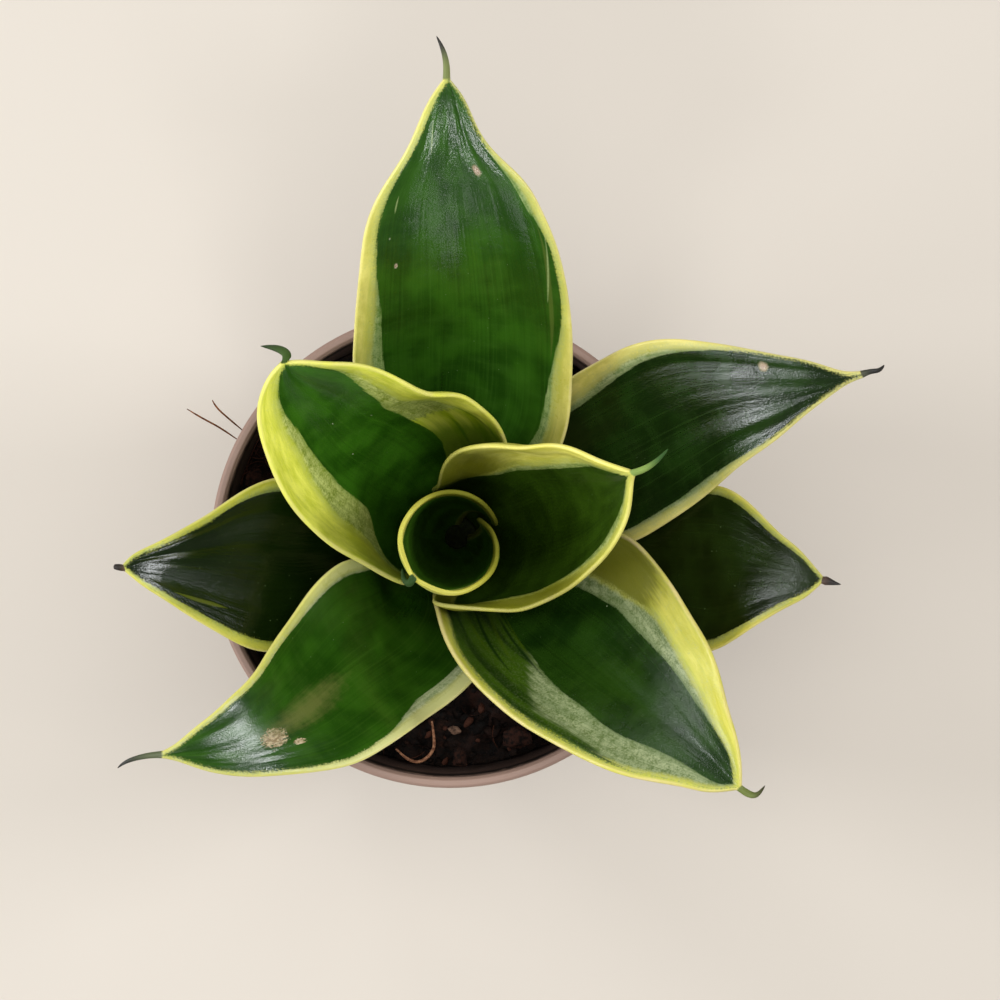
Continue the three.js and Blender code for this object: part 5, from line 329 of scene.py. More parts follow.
# ------------------------------------------------------------------ meshes
def make_object(name, verts, faces, slot, nodes, mat, smooth_shade=True, uvs=None, attrs=None, mat_index=None):
    me = bpy.data.meshes.new(name)
    me.from_pydata([tuple(v) for v in np.asarray(verts, float) * MM], [], faces)
    me.update()
    if attrs:
        for key, val in attrs.items():
            a = me.attributes.new(key, "FLOAT_VECTOR", "POINT")
            a.data.foreach_set("vector", np.asarray(val, np.float32).ravel())
    if uvs is not None:
        layer = me.uv_layers.new(name="OFBake")
        layer.data.foreach_set("uv", np.asarray(uvs, np.float32).ravel())
    me.polygons.foreach_set("use_smooth", [smooth_shade] * len(me.polygons))
    ob = bpy.data.objects.new(name, me)
    C.objects.link(ob)
    for m in (mat if isinstance(mat, (list, tuple)) else [mat]):
        me.materials.append(m)
    if mat_index is not None:
        me.polygons.foreach_set("material_index", mat_index)
    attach(ob, "root")
    if nodes:
        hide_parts(*nodes)
    return ob


# ------------------------------------------------------------------ shader helper
class Nodes:
    def __init__(self, name):
        self.mat = bpy.data.materials.new(name)
        self.mat.use_nodes = True
        self.t = self.mat.node_tree
        self.t.nodes.clear()
        self.out = self.t.nodes.new("ShaderNodeOutputMaterial")
        self.bsdf = self.t.nodes.new("ShaderNodeBsdfPrincipled")
        self.t.links.new(self.bsdf.outputs[0], self.out.inputs[0])

    def link(self, value, socket):
        if isinstance(value, bpy.types.NodeSocket):
            self.t.links.new(value, socket)
        elif value is not None:
            if hasattr(socket.default_value, "__len__"):
                v = list(value) if hasattr(value, "__len__") else [value] * 3
                if len(socket.default_value) == 4 and len(v) == 3:
                    v.append(1.0)
                socket.default_value = v
            else:
                socket.default_value = value

    def math(self, op, a, b=None, c=None, clamp=False):
        n = self.t.nodes.new("ShaderNodeMath")
        n.operation = op
        n.use_clamp = clamp
        for v, s in zip((a, b, c), n.inputs):
            self.link(v, s)
        return n.outputs[0]

    def add(self, a, b): return self.math("ADD", a, b)
    def sub(self, a, b): return self.math("SUBTRACT", a, b)
    def mul(self, a, b): return self.math("MULTIPLY", a, b)
    def mad(self, a, b, c): return self.math("MULTIPLY_ADD", a, b, c)

    def attr(self, name):
        n = self.t.nodes.new("ShaderNodeAttribute")
        n.attribute_name = name
        s = self.t.nodes.new("ShaderNodeSeparateXYZ")
        self.t.links.new(n.outputs["Vector"], s.inputs[0])
        return s.outputs[0], s.outputs[1], s.outputs[2]

    def position(self):
        n = self.t.nodes.new("ShaderNodeTexCoord")
        return n.outputs["Object"]

    def xyz(self, x, y, z):
        n = self.t.nodes.new("ShaderNodeCombineXYZ")
        for v, s in zip((x, y, z), n.inputs):
            self.link(v, s)
        return n.outputs[0]

    def split(self, v):
        s = self.t.nodes.new("ShaderNodeSeparateXYZ")
        self.t.links.new(v, s.inputs[0])
        return s.outputs

    def noise(self, vec, scale=1.0, detail=2.0, rough=0.5, distortion=0.0, kind="FBM"):
        n = self.t.nodes.new("ShaderNodeTexNoise")
        n.noise_dimensions = "3D"
        n.noise_type = kind
        self.link(vec, n.inputs["Vector"])
        n.inputs["Scale"].default_value = scale
        n.inputs["Detail"].default_value = detail
        n.inputs["Roughness"].default_value = rough
        n.inputs["Distortion"].default_value = distortion
        return n.outputs["Fac"]

    def voronoi(self, vec, scale=1.0, feature="F1", randomness=1.0):
        n = self.t.nodes.new("ShaderNodeTexVoronoi")
        n.feature = feature
        self.link(vec, n.inputs["Vector"])
        n.inputs["Scale"].default_value = scale
        n.inputs["Randomness"].default_value = randomness
        return n.outputs["Distance"], n.outputs["Color"]

    def ramp(self, x, lo, hi, a=0.0, b=1.0, soft=True):
        """a at lo, b at hi, clamped."""
        n = self.t.nodes.new("ShaderNodeMapRange")
        n.interpolation_type = "SMOOTHSTEP" if soft else "LINEAR"
        n.clamp = True
        for v, s in zip((x, lo, hi, a, b), n.inputs):
            self.link(v, s)
        return n.outputs[0]

    def mix(self, f, a, b):
        n = self.t.nodes.new("ShaderNodeMix")
        n.data_type = "RGBA"
        n.clamp_factor = True
        self.link(f, n.inputs[0])
        self.link(a, n.inputs[6])
        self.link(b, n.inputs[7])
        return n.outputs[2]

    def scale_color(self, col, k):
        n = self.t.nodes.new("ShaderNodeVectorMath")
        n.operation = "SCALE"
        self.link(col, n.inputs[0])
        self.link(k, n.inputs["Scale"])
        return n.outputs[0]

    def bump(self, height, strength=1.0, distance=MM, normal=None):
        n = self.t.nodes.new("ShaderNodeBump")
        n.inputs["Strength"].default_value = strength
        n.inputs["Distance"].default_value = distance
        self.link(height, n.inputs["Height"])
        if normal is not None:
            self.link(normal, n.inputs["Normal"])
        return n.outputs[0]

    def finish(self, color=None, rough=None, normal=None, **fixed):
        b = self.bsdf
        self.link(color, b.inputs["Base Color"])
        self.link(rough, b.inputs["Roughness"])
        if normal is not None:
            self.link(normal, b.inputs["Normal"])
        for k, v in fixed.items():
            self.link(v, b.inputs[k.replace("_", " ")])
        return self.mat


def rgb(r, g, b):
    """0..255 screen colour to linear."""
    f = lambda c: c / 255 / 12.92 if c / 255 <= 0.04045 else ((c / 255 + 0.055) / 1.055) ** 2.4
    return (f(r), f(g), f(b))


# Widths of the yellow and of the yellow with the pale layer, in mm from the
# edge, at 21 stations, for the left (L) and the right (R) margin.
BANDS = {
 "leaf_1": (([1.82, 1.82, 1.82, 1.82, 1.82, 1.82, 1.82, 1.82, 1.13, 1.13, 1.13, 1.13, 1.13, 1.13, 1.3, 1.2, 0.9, 0.69, 0.59, 0.4, 0.38], [2.52, 2.52, 2.52, 2.52, 2.52, 2.52, 2.52, 2.52, 1.69, 1.69, 1.69, 1.69, 1.69, 1.69, 1.78, 1.65, 1.33, 1.08, 0.98, 0.76, 0.73]),
  ([1.65, 1.65, 1.65, 1.65, 1.65, 1.65, 1.65, 1.65, 1.65, 1.65, 1.65, 1.65, 1.65, 1.66, 1.72, 1.51, 1.33, 1.21, 1.07, 0.92, 0.87], [2.15, 2.15, 2.15, 2.15, 2.15, 2.15, 2.15, 2.15, 2.15, 2.15, 2.15, 2.15, 2.15, 2.17, 2.27, 1.82, 1.57, 1.47, 1.15, 0.92, 0.87])),
 "leaf_2": (([1.68, 1.68, 1.68, 1.68, 1.68, 1.68, 1.68, 1.68, 1.68, 1.68, 1.78, 1.8, 1.66, 1.43, 1.44, 1.4, 1.22, 1.07, 0.99, 1.02, 1.02], [2.11, 2.11, 2.11, 2.11, 2.11, 2.11, 2.11, 2.11, 2.11, 2.11, 2.1, 2.02, 1.87, 1.87, 1.9, 1.8, 1.44, 1.15, 0.99, 1.02, 1.02]),
  ([1.75, 1.75, 1.75, 1.75, 1.75, 1.75, 1.75, 1.75, 1.75, 1.75, 1.75, 1.76, 1.72, 1.58, 1.43, 1.25, 1.05, 0.84, 0.65, 0.53, 0.53], [2.54, 2.54, 2.54, 2.54, 2.54, 2.54, 2.54, 2.54, 2.54, 2.54, 2.54, 2.43, 2.19, 1.91, 1.63, 1.36, 1.08, 0.84, 0.65, 0.53, 0.53])),
 "leaf_3": (([4.24, 4.24, 4.24, 4.24, 4.24, 4.24, 4.24, 4.05, 2.74, 2.18, 1.82, 1.54, 1.27, 0.65, 0.32, 0.26, 0.25, 0.29, 0.52, 0.69, 0.69], [6.1, 6.1, 6.1, 6.1, 6.1, 6.1, 6.1, 6, 5.21, 4.68, 3.99, 3.16, 2.12, 1.07, 0.52, 0.29, 0.25, 0.29, 0.52, 0.69, 0.69]),
  ([1.82, 1.82, 1.82, 1.82, 1.82, 1.82, 1.82, 1.6, 1.22, 0.96, 0.79, 0.7, 0.7, 0.7, 0.7, 0.68, 0.61, 0.53, 0.42, 0.39, 0.39], [2.69, 2.69, 2.69, 2.69, 2.69, 2.69, 2.69, 2.68, 2.61, 2.42, 2.34, 2.28, 1.89, 1.35, 0.97, 0.76, 0.61, 0.53, 0.42, 0.39, 0.39])),
 "leaf_4": (([2.46, 2.46, 2.46, 2.46, 2.46, 2.25, 1.89, 1.71, 1.53, 1.35, 1.19, 1.08, 0.99, 0.87, 0.75, 0.68, 0.62, 0.57, 0.53, 0.52, 0.52], [5, 5, 5, 5, 5, 4.96, 4.58, 3.47, 2.56, 1.95, 1.55, 1.29, 1.11, 0.92, 0.75, 0.68, 0.62, 0.57, 0.53, 0.52, 0.52]),
  ([1.86, 1.86, 1.86, 1.86, 1.86, 1.86, 2, 1.79, 1.4, 1.14, 0.99, 0.96, 0.94, 0.93, 0.91, 0.88, 0.85, 0.81, 0.76, 0.73, 0.73], [2.79, 2.79, 2.79, 2.79, 2.79, 2.79, 2.96, 2.96, 2.42, 1.75, 1.44, 1.36, 1.34, 1.31, 1.24, 1.12, 0.98, 0.88, 0.78, 0.73, 0.73])),
 "leaf_5": (([3.28, 3.28, 3.28, 3.28, 3.28, 3.28, 3.28, 3.28, 3.27, 3.21, 3.18, 3.34, 2.6, 2.1, 1.8, 1.3, 0.9, 1, 1.3, 1.1, 1], [6.45, 6.45, 6.45, 6.45, 6.45, 6.45, 6.45, 6.45, 6.38, 5.7, 5.08, 4.16, 3.1, 2.6, 2.3, 1.9, 1.3, 1.3, 1.5, 1.2, 1]),
  ([4.32, 4.32, 4.32, 4.32, 4.32, 4.32, 4.32, 3.94, 3.07, 1.7, 1.1, 0.85, 0.8, 0.9, 1, 0.8, 0.5, 0.23, 0.2, 0.2, 0.2], [7.19, 7.19, 7.19, 7.19, 7.19, 7.19, 7.03, 5.73, 4.03, 2.2, 1.5, 1.1, 1, 1.5, 3, 2.6, 0.9, 0.23, 0.2, 0.2, 0.2])),
 "leaf_6": (([11, 11, 11, 11, 11, 11, 11, 11, 11.81, 12.36, 8.88, 7.01, 6.76, 6.93, 6.98, 5.41, 4.11, 3.1, 1.94, 1.66, 1.66], [14.87, 14.87, 14.87, 14.87, 14.87, 14.87, 14.87, 14.87, 15.68, 15.29, 13.95, 12.49, 10.86, 9.72, 8.9, 7.17, 5.06, 3.76, 2.5, 2.21, 2.21]),
  ([2.91, 2.91, 2.91, 2.91, 2.91, 2.53, 2.13, 1.81, 1.68, 1.62, 1.53, 1.41, 1.37, 1.38, 1.39, 1.4, 1.38, 1.34, 1.1, 1, 1], [11.3, 11.3, 11.91, 15.99, 17.33, 17.32, 17.31, 16.24, 14.25, 12.98, 12.03, 11.02, 9.56, 8.63, 8.61, 8.44, 6.72, 4.86, 3.19, 1.94, 1.94])),
 "leaf_7": (([0.3, 0.3, 0.3, 0.3, 0.3, 0.3, 3, 9.46, 9.3, 8.18, 8.12, 8.34, 8.72, 8.92, 7.99, 6, 4.9, 3.9, 2.5, 1.2, 0.8], [0.3, 0.3, 0.3, 0.3, 0.3, 0.3, 6, 18.13, 16.66, 15.6, 14.76, 14.13, 13.48, 12.44, 10.52, 9, 7, 4.9, 3.2, 1.5, 0.9]),
  ([0.77, 0.77, 0.77, 0.77, 0.77, 0.77, 0.77, 0.77, 0.77, 1.07, 6.62, 6.64, 7.17, 6.58, 5.08, 4.43, 2.2, 1.1, 0.75, 0.6, 0.5], [14.93, 14.93, 14.93, 14.93, 14.93, 14.93, 14.93, 15.43, 16.48, 17.41, 17.14, 16.24, 13.63, 10.56, 8.76, 7.12, 4.2, 1.7, 0.95, 0.7, 0.6])),
 "leaf_8": (([0.3, 0.3, 0.3, 0.3, 0.3, 0.3, 2, 7, 11.43, 13.39, 13.78, 13.51, 12.24, 9.77, 7.75, 6.54, 4.8, 2.77, 1.68, 1.19, 1.19], [0.3, 0.3, 0.3, 0.3, 0.3, 0.3, 2, 7, 12.84, 14.9, 16.16, 15.38, 13.93, 11.61, 9.73, 8.45, 6.33, 3.88, 2.39, 1.56, 1.4]),
  ([4.13, 4.13, 4.13, 4.13, 4.13, 4.13, 4.13, 4.13, 4.13, 4.08, 3.95, 3.87, 3.2, 2.6, 1.8, 1.2, 0.9, 0.8, 0.8, 1.12, 1.07], [4.67, 4.67, 4.67, 4.67, 4.67, 4.67, 4.67, 4.67, 4.67, 4.62, 4.47, 4.35, 4.27, 4, 3.41, 3.23, 3.04, 2.73, 2.02, 1.3, 1.25])),
 "leaf_9": (([0.8, 0.8, 0.8, 0.8, 0.8, 0.8, 0.8, 0.8, 0.8, 0.8, 0.8, 1, 1.4, 2.2, 3.2, 4.2, 4.6, 4.2, 3.2, 2.2, 1.2], [1.4, 1.4, 1.4, 1.4, 1.4, 1.4, 1.4, 1.4, 1.4, 1.4, 1.4, 1.8, 2.4, 3.2, 4.2, 5.2, 5.6, 5, 3.9, 2.7, 1.5]),
  ([0.8, 0.8, 0.8, 0.8, 0.8, 0.8, 0.8, 0.8, 0.8, 0.8, 0.8, 1.2, 1.8, 2.8, 4, 5, 5.2, 4.6, 3.4, 2.2, 1.2], [1.4, 1.4, 1.4, 1.4, 1.4, 1.4, 1.4, 1.4, 1.4, 1.4, 1.4, 2, 2.8, 3.8, 5, 6, 6.2, 5.4, 4.1, 2.7, 1.5])),
}
# Streaks: t0, u0, t1, u1, width mm, kind.  Scars: t, u, along mm, across mm, kind.
STREAKS = {
 "leaf_2": [(0.6, 0.6, 0.8, 0.7, 0.9, "olive"), (0.574, 0.75, 0.689, 0.817, 0.32, "dark")],
 "leaf_3": [],
 "leaf_4": [],
 "leaf_5": [(0.816, 0.417, 0.896, 0.55, 0.44, "pale"), (0.4, -0.8, 0.66, -0.88, 0.8, "olive"), (0.501, -0.8, 0.635, -0.917, 0.28, "pale"), (0.7, 0.7, 0.735, 0.717, 0.32, "pale")],
 "leaf_6": [(0.113, -0.5, 0.374, -0.633, 0.52, "dark"), (0.159, -0.4, 0.351, -0.55, 0.6, "olive"), (0.166, -0.333, 0.42, -0.467, 0.48, "dark"), (0.182, -0.283, 0.439, -0.467, 0.3, "olive"), (0.769, 0.35, 0.904, 0.533, 0.2, "fine"), (0.116, -0.617, 0.332, -0.633, 0.4, "olive")],
 "leaf_7": [(0.37, -0.95, 0.512, -0.767, 0.8, "green"), (0.308, -0.633, 0.466, -0.633, 0.6, "green")],
}
SCARS = {
 "leaf_3": [(0.735, 0.667, 0.95, 1.9, "pit")],
 "leaf_4": [(0.672, 0.167, 3.0, 4.3, "scab"), (0.62, 0.4, 1.2, 1.2, "scab"), (0.555, 0.02, 11.0, 4.0, "smear")],
 "leaf_5": [(0.773, -0.4, 1.05, 1.3, "pit"), (0.589, 0.633, 0.5, 0.4, "pit"), (0.831, 0.567, 0.24, 0.2, "dot"), (0.65, 0.717, 0.28, 0.2, "dot")],
 "leaf_6": [(0.416, 0.35, 0.2, 0.2, "dot")],
 "leaf_7": [(0.693, -0.017, 0.3, 0.2, "dot"), (0.547, 0.067, 0.3, 0.2, "dot"), (0.627, -0.317, 0.26, 0.2, "dot")],
 "leaf_9": [(0.985, 0.0, 3.0, 3.5, "shade")],
}

# ------------------------------------------------------------------ leaf skin
def leaf_material(name, p, marks, wref):
    g = Nodes(name)
    s, u, t = g.attr("lf")
    e, a, b = g.attr("bd")
    zone, face, awn = g.attr("zn")
    seed = p["seed"]
    w = g.mul(u, wref)
    # noise spaces: long fingers along the veins, and fine grain
    long_v = g.xyz(g.mul(s, 0.075), g.mul(w, 1.15), seed)
    mid_v = g.xyz(g.mul(s, 0.30), g.mul(w, 1.7), seed + 3)
    P = g.scale_color(g.position(), 1000.0)
    vfade = g.ramp(t, 0.50, 0.95, 1.0, 0.15)
    cloud_v = g.xyz(g.mul(s, 0.11), g.mul(w, 0.11), seed + 11)
    n_long = g.sub(g.noise(long_v, 1, 3, 0.6), 0.5)
    n_mid = g.sub(g.noise(mid_v, 1, 2, 0.5), 0.5)
    n_grain = g.noise(P, 2.5, 2.5, 0.62)
    n_fine = g.noise(P, 5.0, 2, 0.6)
    n_spot = g.noise(P, 0.55, 3, 0.6)
    n_cloud = g.noise(cloud_v, 1, 2, 0.5)
    jag = g.mad(n_long, p.get("jag", 2.6), g.mul(n_mid, 1.0))
    jag = g.mad(g.sub(n_grain, 0.5), 0.45, jag)
    jag_y = g.mad(n_long, p.get("jag_y", 2.2), g.mad(g.sub(n_grain, 0.5), 1.3, g.mul(n_mid, 1.3)))

    # green of the blade
    band = g.noise(g.xyz(g.mul(s, 0.33), g.mul(w, 0.10), seed + 21), 1, 3, 0.55)      # faint cross bands
    vein = g.noise(g.xyz(g.mul(s, 0.020), g.mul(w, 1.6), seed + 31), 1, 4, 0.65)      # fine lines along
    green = g.mix(g.ramp(n_cloud, 0.34, 0.68), p["green0"], p["green1"])
    green = g.mix(g.ramp(band, 0.44, 0.72, 0, 0.16), green, p["green2"])
    green = g.mix(g.mul(g.ramp(vein, 0.52, 0.74, 0, 0.30), vfade), green, p["green2"])
    green = g.scale_color(green, g.mad(g.mul(g.ramp(vein, 0.30, 0.50, 1.0, 0.0), vfade), -0.20, 1.0))
    green = g.mix(g.ramp(n_grain, 0.52, 0.80, 0, 0.12), green, p["green2"])
    dots = g.ramp(g.voronoi(g.xyz(g.mul(s, 0.62), g.mul(w, 0.62), seed + 5), 1)[0], 0.045, 0.075, 1, 0)
    keep = g.ramp(g.noise(g.xyz(g.mul(s, 0.2), g.mul(w, 0.2), seed + 41), 1, 1, 0.5), 0.53, 0.60)
    green = g.mix(g.mul(g.mul(dots, keep), 0.55), green, rgb(120, 140, 100))

    # pale grey-green layer between the green and the yellow
    frost = g.ramp(g.mad(n_spot, 0.5, g.mul(n_grain, 0.6)), 0.40, 0.66)
    streak = g.ramp(g.noise(g.xyz(g.mul(s, 0.10), g.mul(w, 1.5), seed + 51), 1, 3, 0.6), 0.36, 0.62)
    pale = g.mix(frost, p["pale0"], p["pale1"])
    pale = g.mix(g.mul(streak, 0.40), pale, p["pale2"])
    pale = g.mix(g.ramp(g.mad(n_spot, 1.2, g.sub(a, 0.6)), 0.0, 1.3, 0.55, 0.0), pale, p["yellow1"])
    pale = g.mix(g.ramp(g.mad(n_grain, 0.8, g.sub(b, 0.4)), -1.1, 0.0, 0.0, 0.35), pale, p["green2"])
    # middle green that some margins have instead; on leaf_7 its colours are lifted well above the leaf's own tone as
    # painted light, standing in for light that comes through the fold
    midc = g.mix(g.ramp(g.noise(g.xyz(g.mul(s, 0.045), g.mul(w, 0.42), seed + 61), 1, 2, 0.5), 0.34, 0.64), p.get("mid0", p["green2"]), p.get("mid1", p["pale0"]))
    midc = g.mix(g.ramp(n_grain, 0.45, 0.7, 0, 0.12), midc, p["pale1"])
    # towards the base of leaf_7's fold the middle green turns dark olive: painted shade where the fold curls in behind
    # the next leaf
    if "mid_base_shade" in p:
        midc = g.mix(g.ramp(g.mad(n_long, 0.06, t), 0.38, 0.47, 0.85, 0), midc, p["mid_base_shade"])
    zmask = g.ramp(g.mad(n_grain, 0.7, g.mad(n_long, 1.3, g.sub(zone, 0.35))), 0.22, 0.78)
    pale = g.mix(zmask, pale, midc)

    # yellow margin: cloudy, with a few soft green strokes; towards the hidden base it is mixed to a low colour, an
    # olive painted shade of the deep rosette, except on leaf_4 where it is the margin's real cream tone
    ycloud = g.noise(g.xyz(g.mul(s, 0.13), g.mul(w, 0.30), seed + 71), 1, 4, 0.62)
    ystreak = g.noise(g.xyz(g.mul(s, 0.05), g.mul(w, 0.9), seed + 73), 1, 3, 0.6)
    yel = g.mix(g.ramp(ycloud, 0.34, 0.66), p["yellow0"], p["yellow1"])
    yel = g.mix(g.ramp(ystreak, 0.52, 0.74, 0, 0.30), yel, p["yellow2"])
    yel = g.mix(g.ramp(g.mad(n_spot, 0.5, g.mul(n_grain, 0.5)), 0.52, 0.68, 0, 0.30), yel, p["pale1"])
    yel = g.mix(g.ramp(a, -2.2, 0.1, 0.0, p.get("blend", 0.50)), yel, p["yellow2"])
    yel = g.mix(g.mul(g.ramp(a, -1.2, 0.2, 0.0, 0.5), frost), yel, p["pale1"])
    # low: painted shade on the margins towards the base (a real cream tone on leaf_4)
    tw = g.mad(n_mid, 0.05, t)
    low_l = g.ramp(tw, p.get("low0", 0.16), p.get("low1", 0.48), 1, 0)
    low_r = g.ramp(tw, p.get("low0r", p.get("low0", 0.16)), p.get("low1r", p.get("low1", 0.48)), 1, 0)
    lowm = g.mix(g.ramp(u, -0.05, 0.05), g.xyz(low_r, low_r, low_r), g.xyz(low_l, low_l, low_l))
    yel = g.mix(g.mul(g.split(lowm)[0], p.get("low", 0.5)), yel, p["base_tone_and_shade"])
    cream = g.mix(g.ramp(n_mid, -0.2, 0.25), p["cream"], p["yellow0"])
    edge_m = g.ramp(g.mad(g.sub(n_grain, 0.5), 0.25, e), 0.05, p.get("cream_w", 0.40), 1, 0)
    yel = g.mix(g.mul(edge_m, p.get("cream_a", 0.45)), yel, cream)

    m_y = g.ramp(g.mad(g.sub(n_grain, 0.5), 1.1, g.mad(jag_y, 0.5, a)), -0.60, 0.60, 1, 0)
    m_g = g.ramp(g.mad(g.sub(n_grain, 0.5), 0.35, g.mad(jag, 0.40, b)), -0.15, 0.15, 1, 0)
    col = g.mix(m_g, green, pale)
    col = g.mix(m_y, col, yel)
    soft_m = g.math("MAXIMUM", m_g, m_y)

    # single streaks along the veins
    for (t0, u0, t1, u1, wd, kind) in marks["streaks"]:
        f = g.math("DIVIDE", g.sub(t, t0), t1 - t0)
        d = g.sub(u, g.mad(f, u1 - u0, u0))
        d = g.math("ABSOLUTE", g.mul(d, wref))
        d = g.mad(n_grain, 0.18, g.sub(d, 0.09))
        ends = g.mul(g.ramp(f, -0.06, 0.30), g.ramp(f, 0.60, 1.08, 1, 0))
        lim = g.mul(ends, wd * 0.62)
        k = g.ramp(g.sub(d, lim), -0.22, 0.22, 1, 0)
        k = g.mul(k, g.ramp(ends, 0.02, 0.15))
        tint = {"pale": p["pale1"], "olive": p.get("olive", rgb(110, 120, 30)), "dark": p["green0"], "green": p["green1"], "fine": p["pale0"]}[kind]
        amt = {"pale": 0.6, "olive": 0.6, "dark": 0.9, "green": 0.5, "fine": 0.3}[kind]
        col = g.mix(g.mul(k, amt), col, tint)

    # small healed wounds, dots and light patches
    dent = None
    for (t0, s0, w0, al, ac, kind) in marks["scars"]:
        ds = g.math("DIVIDE", g.sub(s, s0), al)
        dw = g.math("DIVIDE", g.sub(w, w0), ac)
        r = g.math("SQRT", g.add(g.mul(ds, ds), g.mul(dw, dw)))
        if kind == "dot":
            m = g.ramp(g.mad(n_fine, 0.8, r), 1.1, 1.5, 1, 0)
            col = g.mix(g.mul(m, 0.8), col, rgb(150, 160, 130))
            continue
        # the patch on leaf_4 is partly a real dirty film on the skin and partly painted sheen; the patch at the point
        # of leaf_9 is pale cream
        if kind in ("smear", "shade"):
            r = g.mad(g.sub(n_spot, 0.5), 0.9, g.mad(n_long, 0.7, r))
            m = g.ramp(r, 0.15, 1.35, 0.74, 0)
            col = g.mix(m, col, p["smear"] if kind == "smear" else p["shade"])
            continue
        if kind == "pit":
            r = g.mad(g.sub(n_spot, 0.5), 0.8, g.mad(g.sub(n_grain, 0.5), 0.6, r))
            rim = g.mul(g.ramp(r, 0.55, 0.80), g.ramp(r, 1.00, 1.35, 1, 0))
            m = g.ramp(r, 0.80, 1.10, 1, 0)
            col = g.mix(m, col, g.mix(g.ramp(n_fine, 0.38, 0.62), rgb(122, 92, 70), rgb(206, 188, 164)))
            col = g.mix(g.mul(rim, 0.6), col, rgb(150, 142, 112))
            h = g.mul(m, -0.10)
        else:
            r = g.mad(g.sub(n_mid, 0.0), 1.5, g.mad(g.sub(n_grain, 0.5), 1.3, r))
            m = g.ramp(r, 0.72, 0.95, 1, 0)
            flake = g.ramp(g.noise(g.xyz(g.mul(s, 0.9), g.mul(w, 1.1), seed + 81), 1, 3, 0.7), 0.40, 0.60)
            col = g.mix(g.mul(m, 0.92), col, g.mix(flake, rgb(140, 118, 84), rgb(205, 186, 152)))
            h = g.mul(g.mul(m, flake), 0.05)
        dent = h if dent is None else g.add(dent, h)

    # underside: a little paler and duller
    col = g.mix(g.mul(g.ramp(face, 0.45, 0.55), 0.22), col, g.scale_color(g.mix(soft_m, p["pale0"], p["yellow1"]), 0.55))
    # the dried point
    tipc = g.mix(g.ramp(g.mad(n_mid, 0.35, awn), p.get("awn_a", 0.25), p.get("awn_b", 0.85)), p["awn0"], p["awn1"])
    tipc = g.mix(g.ramp(vein, 0.50, 0.66, 0, 0.5), tipc, g.scale_color(tipc, 0.55))
    col = g.mix(g.ramp(awn, 0.0, 0.06), col, tipc)

    # gloss: waxy skin with very fine papillae and shallow grooves along the veins
    rough = g.mad(n_cloud, 0.10, p.get("rough", 0.26) - 0.09)
    rough = g.mad(n_spot, 0.10, rough)
    rough = g.mad(soft_m, 0.10, rough)
    rough = g.mad(g.ramp(face, 0.45, 0.55), 0.10, rough)
    rough = g.mad(g.ramp(awn, 0.0, 0.2), 0.2, rough)
    groove = g.noise(g.xyz(g.mul(s, 0.030), g.mul(w, 0.42), seed + 91), 1, 2, 0.5)
    h = g.mul(groove, g.mul(vfade, p.get("groove", 0.16)))
    wrinkle = g.noise(g.xyz(g.mul(s, 0.40), g.mul(w, 0.26), seed + 95), 1, 2, 0.5, 0.4)
    h = g.mad(wrinkle, p.get("wrinkle", 0.09), h)
    hatch = g.noise(g.xyz(g.mul(s, 1.9), g.mul(w, 0.8), seed + 99), 1, 2, 0.5, 0.3)
    h = g.mad(hatch, p.get("hatch", 0.008), h)
    cells = g.noise(P, 3.3, 1.5, 0.5)
    h = g.mad(cells, p.get("cells", 0.055), h)
    if dent is not None:
        h = g.add(h, dent)
    nor = g.bump(h, 1.0, MM)
    return g.finish(col, rough, nor, IOR=1.45, Specular_IOR_Level=p.get("spec", 0.5))


# ------------------------------------------------------------------ leaf shape
NT, NI, NE, NA = 132, 40, 6, 26          # rows, inner columns, edge columns a side, rows of the point
M17, M9, M4 = nat_matrix(17), nat_matrix(9), nat_matrix(4)


